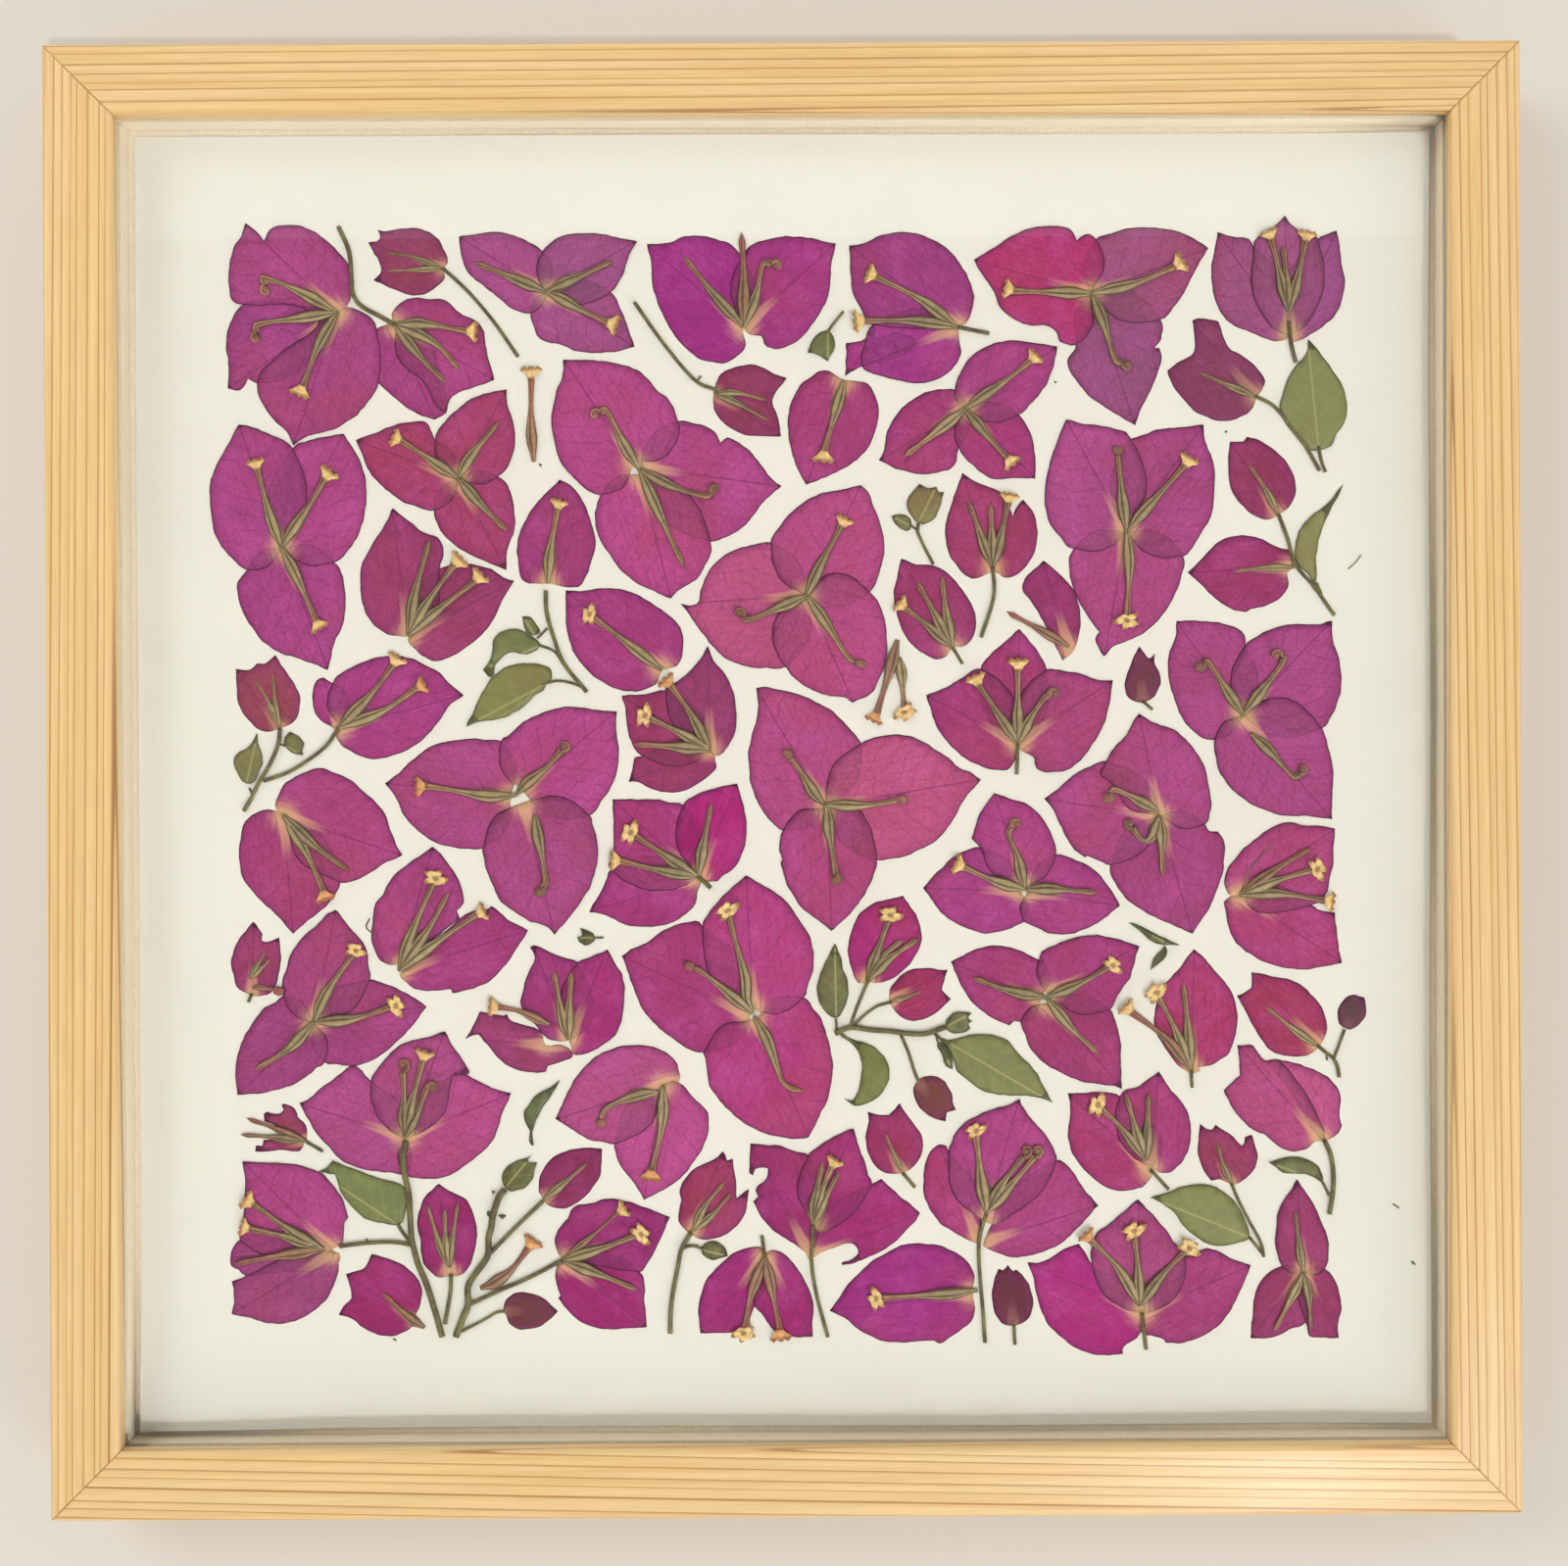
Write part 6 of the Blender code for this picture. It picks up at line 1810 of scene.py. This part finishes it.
        """-5.1,-107.2 -8.2,-107.1 -10.9,-107.9 -13.6,-109.7 -15.9,-111.9 -18.1,-114.6 -19.2,-117.7
        -19.9,-121.3 *-19.4,-126.9 -16.3,-126.8 -13.2,-126.7 -10,-126.3 -8.5,-125.4 -7.8,-123.1
        -6.9,-120.6 -3,-114""",
        """#961469 -3.7,-107.9 -2,-107.6 0.2,-108.8 2,-110.6 3.8,-113.2 5.4,-116.4 6.5,-119.5 6.6,-122.2
        6.3,-124.9 *6.4,-127.6 3.4,-127.7 -0.6,-127.2 -2.4,-126.3 -4.2,-124 -5.5,-122.2 -6.9,-120.6
        -7.8,-114""",
    ],
    "tubes": ["brown -7.6,-117 -9.4,-126 star", "brown -3,-117 -1.1,-126.3 bell"],
    "stems": ["w0.9 -4.6,-109.2 -5.2,-104.3"],
},
{
    "name": "maroonTulip", "from": "27.2,-90", "colour": "8c2350",
    "bracts": ["""*19.1,-75.8 19.3,-77.8 18.7,-80.5 18.6,-82.7 19.3,-85.4 20.4,-87.7 22.2,-89.5
        24.5,-90.1 27.2,-89.9 29.4,-88.6 31.2,-86.3 31.9,-83.6 31.6,-81.4 30.3,-79.2 28.5,-76.9
        *26.4,-73.8 25.4,-75.1 *24,-76.5 21.8,-76.5"""],
    "tubes": ["w1.2 25.4,-86 23.1,-80.7"],
    "stems": ["w0.9 27.2,-89.9 29.9,-93.1"],
},
{
    "name": "brownRedBud", "from": "30.6,-68.6", "colour": "6e3c32",
    "bracts": ["""30.6,-68.6 29.6,-70.2 29.8,-72.4 30.8,-74.4 32.5,-76.2 34.8,-77.4 *37.1,-78 37.4,-76
        *39.4,-75.3 38.6,-73.3 38.4,-71.5 37.5,-69.7 36.1,-68.2 33.9,-67.4 31.6,-67.7"""],
},
{
    "name": "violetOval", "from": "43.6,-117.6", "colour": "9b1e7d",
    "bracts": ["""*10.3,-121.7 12.4,-118.9 14.6,-115.5 17.3,-112.8 20.4,-109.9 23.6,-108.3 25.8,-107
        28.5,-106.2 32.1,-106.2 36.1,-106.7 39.3,-108.3 42,-110.3 43.5,-112.6 43.8,-114.6 43.3,-116.4
        43.5,-119.1 43.8,-121.3 43.1,-124 41.1,-125.8 38.4,-127.6 35.7,-129.2 34.3,-128.7 31.2,-128.7
        24,-128.9 20,-127.6 16.8,-125.8 13.7,-123.3"""],
    "tubes": ["@44.4,-116.8 36.1,-117.7 21.6,-118.6 star"],
},
{
    "name": "trioBottomCentre", "stands": "flower_31", "from": "44.9,-106.1", "colour": "a02d69",
    "bracts": [
        """44.7,-105.8 41.5,-104.9 38.4,-103.2 35.2,-100.9 33,-97.5 31.9,-94 31.9,-90.4 32.5,-87.2
        33.9,-84.5 *35.5,-83.3 37,-83.5 37.7,-84.8 44,-93""",
        """#a03c73 62.6,-86.8 64.8,-87.9 67,-90.5 68.8,-93.5 70.6,-95.5 *72.2,-97.3 70.6,-99.1
        68.4,-101.6 65.7,-104.3 64.4,-105.6 61.3,-107.4 57.7,-108.5 54.5,-109.3 51.4,-109.2 47.8,-107.9
        *45.6,-106.7 46.2,-104.9 52,-94""",
        """#a53c78 @46,-101 37.7,-84.8 38.6,-82.3 39.9,-79.8 42.4,-77.6 45.6,-76 48.2,-75.1 51.4,-74.2
        *54,-72.8 55,-74.9 56.8,-77.4 59,-79.8 60.8,-82.3 62.6,-86.8 58.5,-95 51,-100.4""",
    ],
    "tubes": [
        "w2.6 @46.5,-98.9 45,-89 44,-80.5 star",
        "@46.5,-98.9 51,-91 55,-86 55.4,-84.6 curl",
        "@46.5,-98.9 52.6,-92 57.7,-86 58,-84.6 curl",
    ],
    "stems": ["w0.9 46.5,-99.3 45.6,-101.6 44.7,-106.1 44.9,-113.2 45.6,-121.3 46.1,-128.9"],
},
{
    "name": "darkMaroonBud", "from": "52.8,-125.2", "colour": "551e28",
    "bracts": ["""*51.4,-111.1 50.3,-112.4 *49.3,-112 48.2,-115 47.7,-117.7 48,-120.9 49.1,-123.6
        50.9,-125 54.1,-124.9 56.3,-123.3 57.2,-120.4 57,-117.7 55.9,-115 *53.3,-112 52.5,-112.6"""],
    "stems": ["w0.8 52.8,-124.9 53,-129.4"],
},
{
    "name": "darkNarrowLeaf", "from": "11.8,-54.3",
    "leaves": ["""#4b5023 *11.5,-37 10.3,-39.3 9,-42 8,-44.7 7.3,-47.8 8.1,-50.9 9.7,-53 11.7,-54.2
        13.3,-52.7 14.6,-48.7 14.4,-45.6 13.5,-42.9 12.6,-39.3"""],
},
{
    "name": "branchCentre", "from": "11.5,-57.7",
    "stems": [
        "w1.3 11.5,-57.7 15,-56.3 19.5,-56.8 24.5,-57.2 28.5,-57.7 32.5,-57.7 35.2,-56.8 37,-56.2",
        "w0.8 15,-56.3 16.4,-52.3 18.2,-47.8 19.5,-45.1",
        "w0.7 15.9,-55.9 18.2,-53.6 21.3,-51.4 24.5,-50.5",
        "w0.8 26.7,-58 28.5,-62.2 29.9,-66.6 30.8,-68.8",
        "w0.8 34.3,-57.6 36.1,-59.2",
        "w0.7 12.6,-57.5 15.9,-59.9",
        "w0.6 11.8,-54.3 11.9,-56.8",
        "w0.5 34.6,-57.6 35.2,-59.7",
    ],
},
{
    "name": "ovalOnBranch", "from": "19,-45.6", "colour": "9b1a69",
    "bracts": ["""*27.2,-26 24.5,-26.7 21.3,-27.4 19.1,-28.5 16.8,-30.8 15.3,-34.3 14.6,-37.5 14.7,-40.6
        15.5,-43.3 16.8,-46.2 19.1,-46 21.8,-46.1 24.5,-45.3 27.2,-43.3 29.4,-40.8 31,-37.9 31.5,-36.1
        31.2,-33 30.1,-30.1 28.5,-27.8"""],
    "tubes": ["21.5,-38.4 24.1,-31 star", "22.6,-40 27.2,-36.1", "24,-40.6 31,-35.7"],
},
{
    "name": "redBractCentre", "from": "24.2,-50.3", "colour": "9b2355",
    "bracts": ["""*37.5,-43.1 35.2,-43 32.5,-42.6 29.4,-42.9 27.2,-44 25.4,-45.8 24.2,-47.6 24.1,-50.2
        24.7,-51.8 26.3,-53.6 29,-54.8 31.6,-54.6 33.9,-53.6 36.1,-51.8 *38.2,-49.7 37,-48.7 *36.1,-47.6
        36.7,-45.6"""],
    "tubes": ["w1.1 28,-49.4 31.6,-47.8"],
},
{
    "name": "bigLeafCentre", "from": "35.6,-58.6",
    "leaves": ["""#6e6c3c *61.6,-73.7 59.7,-70.2 58.1,-67 56,-64.4 53.6,-62.2 51.8,-59.7 49.6,-58.6
        46.9,-57.9 43.3,-57.9 40.2,-58.6 37.5,-59.2 | 59.9,-72.8 56.3,-72.2 51.8,-72 47.4,-71.5
        44.7,-70.4 42,-68.4 39.7,-66.4 38.4,-62.8 37.3,-60.4"""],
},
{
    "name": "curvedLeafCentre", "from": "12.8,-57.9",
    "leaves": ["""#5f6423 *13.7,-72.6 15.3,-74 16.8,-74.3 19.5,-73.5 21.8,-72 23.6,-69.3 24.1,-67.2
        23.8,-64.8 22.2,-62.2 20,-60.4 17.7,-59.6 15,-58.9 | 15.3,-73.1 16.4,-72 17.3,-69.3 17.7,-66.1
        17.7,-64.8 17.1,-62.6 15.9,-60.6 14.2,-59.2"""],
},
{
    "name": "oliveBudCentre", "from": "37,-56.2",
    "leaves": ["""#5a5832 37,-56.2 37.3,-54.5 38.6,-53 40.6,-52.6 *43,-53 42,-53.9 *43.2,-54.8 42.2,-55.4
        *42.7,-56.5 41.3,-57.4 39,-57.7 37.5,-57"""],
},
{
    "name": "narrowLeaflet", "from": "35.2,-59.7",
    "leaves": ["""#4f5427 35.2,-59.7 35.4,-61.2 36.1,-62.6 37.1,-65.1 *38.6,-66 38.4,-63.1 37.9,-61.3
        36.6,-59.9"""],
},
{
    "name": "trioRightMiddle", "stands": "flower_32", "from": "55.2,-24.5", "colour": "9b377d",
    "bracts": [
        """@54.4,-25 44.7,-14.8 42,-15.5 39.3,-16.8 36.6,-19.1 33.9,-21.8 *31.8,-24.2 33,-25.8 35.2,-29
        37.5,-31.2 40.2,-32.8 43.3,-33.9 46,-34.6 49.6,-34.3 52.3,-33.4 53.9,-32.5 55,-32""",
        """@56,-25 62.5,-16.5 65.3,-17.1 68.8,-18.6 71.5,-20.2 73.3,-22.2 75.3,-24.9 *77.2,-28.4
        75.1,-29.9 72,-32.3 68.8,-33.8 65.7,-34.8 60.8,-34.6 58.1,-33.4 56.3,-32.6 55,-32""",
        """@55,-23.4 #a13c80 *48.2,-2.4 50.5,-3.2 53.2,-4.1 55.9,-5 58.1,-6.7 60.1,-9.4 61.5,-11.9
        62.2,-14.2 62.5,-16.5 | 46.7,-4.5 45.1,-6.7 44,-9.4 43.3,-11.5 *42.9,-12.8 44.7,-14.8""",
    ],
    "tubes": ["53.6,-17 51.4,-11.5 53.2,-9.3 curl", "48,-22.4 40.6,-19.1 flare", "63,-24.6 72,-25.4"],
},
{
    "name": "trioRightLow", "stands": "flower_33", "from": "60.1,-49.4", "colour": "9b326e",
    "bracts": [
        """@59,-49.9 *38.1,-41.2 41.1,-39.7 44.2,-38.2 47.4,-37.6 50.9,-37.7 54.1,-38.6 56.8,-39.9
        *58.5,-40.7 *59.2,-39.9 | 39.1,-43.1 40.2,-46 42.4,-49.6 45.1,-52.3 47.8,-54.1 50,-55.2
        *51.8,-55.9 52.7,-54.8 54.3,-55.2""",
        """@60.4,-50.6 #963069 74.9,-52.2 76,-54.8 76.9,-57.7 77.4,-60.4 77.4,-67 *77.7,-70.4 74.7,-69.7
        71.1,-69.3 67.5,-68.4 64,-67 60.3,-65 58.1,-63.1 56.3,-60.8 55.4,-58.1 54.3,-55.2""",
        """@60.8,-48.6 *59,-38.9 61.3,-37.7 64.4,-36.4 68.8,-35.2 72,-35.1 75.1,-35.6 78.3,-36.5
        *81.6,-37.5 80.9,-39.7 80.3,-42.4 79.4,-45.1 77.8,-47.3 76.2,-49.6 74.9,-52.2""",
    ],
    "tubes": ["51,-47.6 43.1,-44.7", "67.6,-46.4 74.9,-42.2 star", "65.4,-56 72.2,-62.4"],
},
{
    "name": "smallSplitLeaf", "from": "79.1,-32.2",
    "leaves": [
        """@88,-37 #4b5028 *79.1,-32.2 81.2,-32.5 83.6,-33.9 86.8,-35.5 *90.9,-37.3 87.5,-37.3 84.5,-36.6
        82.3,-34.6""",
        "@84.1,-43.1 #4f5429 87.5,-37.3 86.8,-38.4 85,-40.4 *84.1,-43.1 87.2,-40.6 88.1,-38.6",
    ],
},
{
    "name": "tallBractThreeTubes", "from": "93.6,-66.2", "colour": "a02d5f",
    "bracts": ["""*94.3,-38.3 92.6,-40.2 90.4,-43.3 88.1,-45.6 86.8,-47.3 85.9,-50 85.2,-53.2 85.2,-56.8
        86.8,-59.9 89,-63.1 91.3,-65.7 94,-67.1 *95.7,-66.4 95.3,-65.7 98.4,-65.1 100.2,-63.9 101.9,-62.8
        103.4,-59.9 104,-56.8 104.2,-53.2 103.6,-50 102.5,-47.3 100.2,-44.7 98,-42 96.2,-39.9"""],
    "tubes": ["92.8,-56 91.7,-45.6", "90,-57 85.7,-48.7 star", "brown 88,-59 79.2,-52.3 flare"],
    "stems": ["w0.8 93.7,-66.2 93.6,-67.3 93.8,-70.2"],
},
{
    "name": "duoRightEdge", "stands": "flower_34", "from": "104.7,-25.8", "colour": "a0376e",
    "bracts": [
        """102.7,-26 *101.1,-27.5 101.7,-31.2 102.7,-34.8 104.7,-37.5 107.9,-39.9 111.5,-41.7 115.5,-42.7
        120,-43 124,-42.4 *128.3,-41.5 127.6,-38.4 127.2,-34.8 126.9,-32.1 *126.6,-29.9 124.9,-29.6
        122.7,-29 114,-23.6""",
        """#a53c72 *126.6,-10.6 123.1,-9.9 119.5,-9.8 116.4,-9.1 113.7,-9.6 111,-11 108.8,-12.6
        106.5,-14.4 105.8,-15 103.4,-17.7 101.8,-20 101.1,-22.5 101.5,-24.5 102.7,-26 | 126.3,-14.2
        126.3,-17.7 125.6,-21.3 124.9,-24.9 122.4,-27.8 113,-30""",
    ],
    "tubes": ["brown 113,-20 121.3,-14.8", "113,-22.6 121.8,-20 star", "114,-25.6 124.5,-27.2 flare"],
    "stems": ["w0.3 104.7,-25.8 107.4,-19.4 112.4,-13.9"],
},
{
    "name": "redOvalRight", "from": "122.9,-60.7", "colour": "962850",
    "bracts": ["""*107.5,-43.7 110.1,-44 112.8,-44.7 115.5,-45.1 118.2,-46.2 120.4,-47.8 122.7,-50.3
        124.2,-52.7 124.9,-55.9 124.5,-58.6 123.1,-60.8 120.9,-62.6 118.2,-63.1 115,-62.8 112.8,-62.2
        110.1,-59.7 107.9,-55.9 106.1,-52.7 *104.1,-49.1 106.1,-48.2 *107.5,-47.3"""],
    "tubes": ["w1.7 117,-56.6 110.6,-51.4"],
    "stems": [
        "w0.9 122.7,-60.6 124.9,-62.4 126.3,-63.5 127.3,-65.6 127.6,-67.8",
        "w0.5 124.7,-62.4 124.9,-63.9",
    ],
},
{
    "name": "brownBudRight", "from": "129.2,-56.7", "colour": "503c32",
    "bracts": ["""*133.5,-49.4 130.3,-48.9 128.5,-50.3 127.4,-52.5 127.4,-54.5 128.5,-56.3 130.3,-56.8
        132.1,-55.9 134,-53"""],
    "stems": ["w0.7 128.9,-56.8 128.1,-59 126.5,-63.3"],
},
{
    "name": "trioRightOval", "stands": "flower_35", "from": "86.1,-7.6", "colour": "a0417d",
    "bracts": [
        """#9b3e77 74.9,-19 75.1,-21.3 76.5,-24 78.3,-26.5 80.9,-28.5 83.6,-30.1 86.3,-31.4 89.5,-32.8
        *93.9,-34.9 95.3,-32.5 97.5,-29.4 98.9,-25.8 100.5,-21.8 101.1,-18.2 101.4,-15 100.8,-12.6
        *99.6,-11.2 97.8,-11.1 97,-9.7""",
        """73.9,5 72.1,4.6 70.4,3.8 68.4,3 66.4,1.7 64.3,0.1 62.9,-1.3 61.5,-2.5 *59.7,-3.7 60.7,-4.9
        62,-6.5 63,-8.8 64.1,-11.4 65.6,-13.9 66.8,-15.5 *69.1,-17.3 *69.7,-16.8 72,-17.7 74.9,-19""",
        """*81.5,15.9 83.1,15 84.8,13.9 86.4,13.2 88.3,12.8 90.3,11.8 92,10.2 93.8,8.2 95.5,5.6 96.7,3.3
        97.2,0.4 97.8,-2.2 98.1,-4.8 97.8,-7.1 97,-9.3 | 80.8,15.1 79.9,13.4 78.8,11.2 77.2,9.6 75.6,7.9
        73.9,5 72.4,2 75.3,-0.2""",
    ],
    "tubes": [
        "@85.9,-6.5 80.6,-3.6 75.6,-1.4 74.2,-3.4 curl",
        "84.6,-12 82.7,-13.4 80.4,-11 79.3,-9.4 curl",
        "86.5,-14 86.8,-21.3",
    ],
},
{
    "name": "duoBottomRight", "stands": "flower_36", "from": "84.3,-89.2", "colour": "9b2d69",
    "bracts": [
        """*65.2,-71.5 68.4,-71.5 71.5,-71.2 74.2,-71.3 77.4,-72.3 86,-80 | 65.7,-74.7 65.5,-78.3
        65.2,-81.4 65.9,-84.5 67.5,-87.4 69.7,-89.9 72.4,-92.2 76,-94 79.6,-93.9 82.3,-93.1 83.9,-91.7""",
        """#a0336c 77.8,-71.3 80.9,-70.2 83.6,-68.4 *86.1,-66.5 87.5,-68.4 89,-70.9 91,-72.9 92.6,-75.3
        93.4,-78.3 93.5,-81.4 93.1,-84.3 91.9,-86.8 90.6,-88.3 88.6,-89.8 85.9,-89.7 | 76,-77 78,-84""",
    ],
    "tubes": [
        "@83.2,-86.8 78,-80 72.4,-74.4 star",
        "@83.2,-86.8 80.6,-79 78.5,-71.3",
        "@83.2,-86.8 83.6,-79 83.7,-71.3",
    ],
    "stems": ["w0.9 84.3,-89.2 88.3,-93.6"],
},
{
    "name": "foldedPinkDuo", "from": "123.8,-82.3", "colour": "a54673",
    "bracts": [
        """#b95082 *128.4,-78.9 127.8,-76.5 128,-72.4 127.2,-70.2 124.9,-67.6 120.9,-65.7 116.8,-64.3
        113.7,-63.8 *110.8,-63.9 117,-72 123.8,-82.3 127.6,-80.7""",
        """*104.3,-60.4 107.9,-60.6 109.2,-62.4 110.8,-63.9 113.7,-63.8 119,-70 123,-77 124.5,-82.4 |
        104.7,-64.4 *104.8,-67.5 103.4,-68.6 *101.2,-71 102.3,-73.3 103.8,-76 106.1,-78.5 108.3,-80.3
        110.3,-80.9 112.4,-82.7 114.6,-84.3 117.3,-84.9 120,-84.5 122.4,-82.5""",
    ],
    "stems": ["w1.1 124.2,-82.3 125.6,-85.4 126.3,-89.9 126.2,-94.4 125.4,-99.3"],
},
{
    "name": "leafOnPinkDuo", "from": "123.9,-92.2",
    "leaves": ["""#555a2d *111.5,-87.4 114.1,-86.6 117.3,-86.1 120,-86.6 122.2,-87.7 123.6,-89.5
        123.9,-92.2 | 113.2,-88.6 114.6,-89.8 120,-90.1 122.7,-91.5"""],
    "stems": ["w0.7 123.9,-92 125.4,-95.1"],
},
{
    "name": "redTulip", "from": "102.9,-92.4", "colour": "913250",
    "bracts": ["""*95.7,-78.7 98.4,-80 *99.3,-78.8 101.6,-80.3 103.4,-81.6 105.4,-83.6 106.1,-81.6
        *107.6,-81 108.3,-83.2 109,-86.3 107.9,-89.5 105.6,-91.7 103.4,-92.6 100.2,-91.3 98.4,-91.7
        96.2,-88.6 95.2,-85.4 95.3,-82.3"""],
    "tubes": ["w1.5 101,-88 99.6,-83"],
    "stems": ["w0.8 102.9,-92.4 104.3,-95.8 107,-101.1 109.7,-106.1 110.3,-109.2"],
},
{
    "name": "bigLeafBottomRight", "from": "107,-104.7",
    "leaves": ["""#6e703c *84.2,-95.5 87.2,-94.8 90.8,-93.3 94.4,-92.5 97.5,-92.6 101.1,-94.2 103.8,-96.6
        105.6,-99.8 107,-104.7 | 86.8,-96.9 89.5,-98.9 91.7,-102 94.4,-104.3 97.5,-106.3 101.6,-106.7
        104.7,-105.8"""],
    "stems": ["w0.8 107,-104.7 109.9,-108.3"],
},
{
    "name": "bigPurpleTrio", "stands": "flower_37", "from": "82.3,-122.2", "colour": "9b326e",
    "bracts": [
        """#a00f73 *55.9,-110.6 58.6,-110.6 61.7,-109.2 64.4,-107.4 *67.7,-106.2 69.3,-108.3 70.9,-111
        72.4,-112.3 | 57,-113.2 57.9,-117.3 59,-121.3 60.8,-124.9 63.9,-128 67.5,-130.5 71.1,-131.6
        74.7,-132 *77.9,-131.6 78,-130.1 80.5,-128.5 81.8,-127.2""",
        """94.4,-108.3 *97.3,-107.2 100.2,-108.1 103.4,-109.9 *107.5,-111.2 106.5,-113.7 105.2,-116.8
        103.4,-120.4 101.1,-124 97.1,-127.1 94,-128.5 *91.2,-129.2 87.7,-129 87.2,-128.3 84.5,-127.4
        82.7,-127.2""",
        """#a03c73 *81.4,-96 79.6,-97.5 76.9,-99.8 74.2,-102 71.5,-104.3 70.6,-110 | 83.2,-98 85.4,-100.2
        87.7,-102.9 89.5,-105.6 91,-107.2 92.6,-112""",
    ],
    "tubes": [
        "@81.8,-120.4 77,-112 70,-104.7 bell",
        "@81.8,-120.4 81.4,-112 80.4,-103.6 star",
        "@81.8,-120.4 86.4,-114 92.6,-107.4 star",
    ],
    "stems": ["w0.9 82.3,-122.2 83.2,-130.5"],
},
{
    "name": "trioBottomRight", "from": "119.5,-113", "colour": "8c2d5a",
    "bracts": [
        """114.6,-111.5 112.1,-112.6 110.6,-113.9 109.2,-115.7 108.3,-118.6 107.8,-122.7 *107.3,-128.1
        110.6,-128.1 113.7,-127.6 116.4,-126 120,-124.5 121.6,-118""",
        """124.5,-112.1 126.3,-113.7 127.6,-116.8 128.3,-120.4 127.5,-125.1 *127.8,-128 124.5,-127.8
        120.9,-127.5 120.4,-125.4 120,-124.5 118,-118""",
        """#93315f *118,-91.4 116.8,-93.5 115,-96.2 113.7,-98.9 113.2,-102.5 113.1,-106.1 113.7,-109.2
        114.6,-111.5 | 119.5,-93.5 121.8,-97.1 123.6,-101.1 125.1,-105.2 125.3,-108.3 124.5,-112.1""",
    ],
    "tubes": ["w1.7 118.4,-106 117.5,-98.4", "w1.7 116.4,-119 112.6,-126.5", "w1.7 120.6,-119 121.3,-126.3"],
},
{
    "name": "bigTrioCentre", "stands": "flower_30", "from": "9.5,-5.4", "colour": "a5467d",
    "bracts": [
        """*-6.6,21.8 -5,22.1 -1.7,21.5 1.5,20.8 4.7,19.8 7.9,18.2 10.3,17.1 12.6,14.9 15,12.5 16.8,10.3
        17.7,9.1 | -6.2,18.8 -6.2,16.5 -6.8,13.7 -7.6,10.9 -8.2,8.1 -8.5,6.1 -8.1,3.3 -8,0.6 -7.2,-2.2
        -6,-5 -4.1,-7.8 -2.1,-10 -0.6,-11""",
        """#b4507d *18.4,9.6 21,10.5 23.8,11 26.6,11.1 29.3,10.5 32.1,9.3 34.9,7.5 37.7,5.7 40.1,3.5
        42.5,2.4 *45.1,0.8 43.6,-1.2 41.3,-3.6 39.7,-6.6 38.1,-9.4 35.7,-12.4 32.9,-14.5 30.1,-15.7
        27.3,-17.1 24.6,-17.5 21.3,-17.8""",
        """#a53c78 -0.5,-11 -1.1,-13.7 -1.2,-15.7 -0.5,-17.7 *-0.9,-18.3 -0.5,-20.1 0.1,-22.5 1.5,-25.3
        3.5,-28.3 5.9,-30.4 8.7,-32.4 *10.8,-34.1 12.6,-32.4 15,-30.2 17,-27.7 19,-24.5 20.6,-20.9
        21.3,-17.8 20.8,-14.5 19.8,-10.6 18.2,-7.4 15.8,-5 11.5,-4.2 4.7,-4.6 1.1,-7""",
    ],
    "tubes": [
        "@9.1,-5 7.1,-2.8 3.9,2.2 0.6,6.7 bulb",
        "@9.1,-5 15.8,-5.4 21,-5 27,-3.8 bulb",
        "@9.1,-5 9.7,-6.2 9.9,-10.6 10.5,-13.7 11.3,-18.9 11.7,-22.3 curl",
    ],
},
{
    "name": "plantCrumbs", "from": "0,0",
    "stems": [
        "140,-97 141.4,-97.9 w0.4",
        "144.3,-110.2 145,-110.9 w0.45",
        "-56.4,73.2 -55.9,72.7 w0.5",
        "61.9,92.1 62.4,91.9 w0.45",
        "86.2,103.4 86.6,103.1 w0.4",
        "101.2,80.5 101.6,80.9 w0.4",
        "129.5,49.2 131.2,50.6 132.4,52.3 w0.25",
        "-90.2,-128 -89.4,-128.4 w0.4",
    ],
},
]

print("pressing", len(flowers), "flowers")
for flower in flowers:
    makeFlower(flower)

bpy.ops.object.select_all(action="DESELECT")
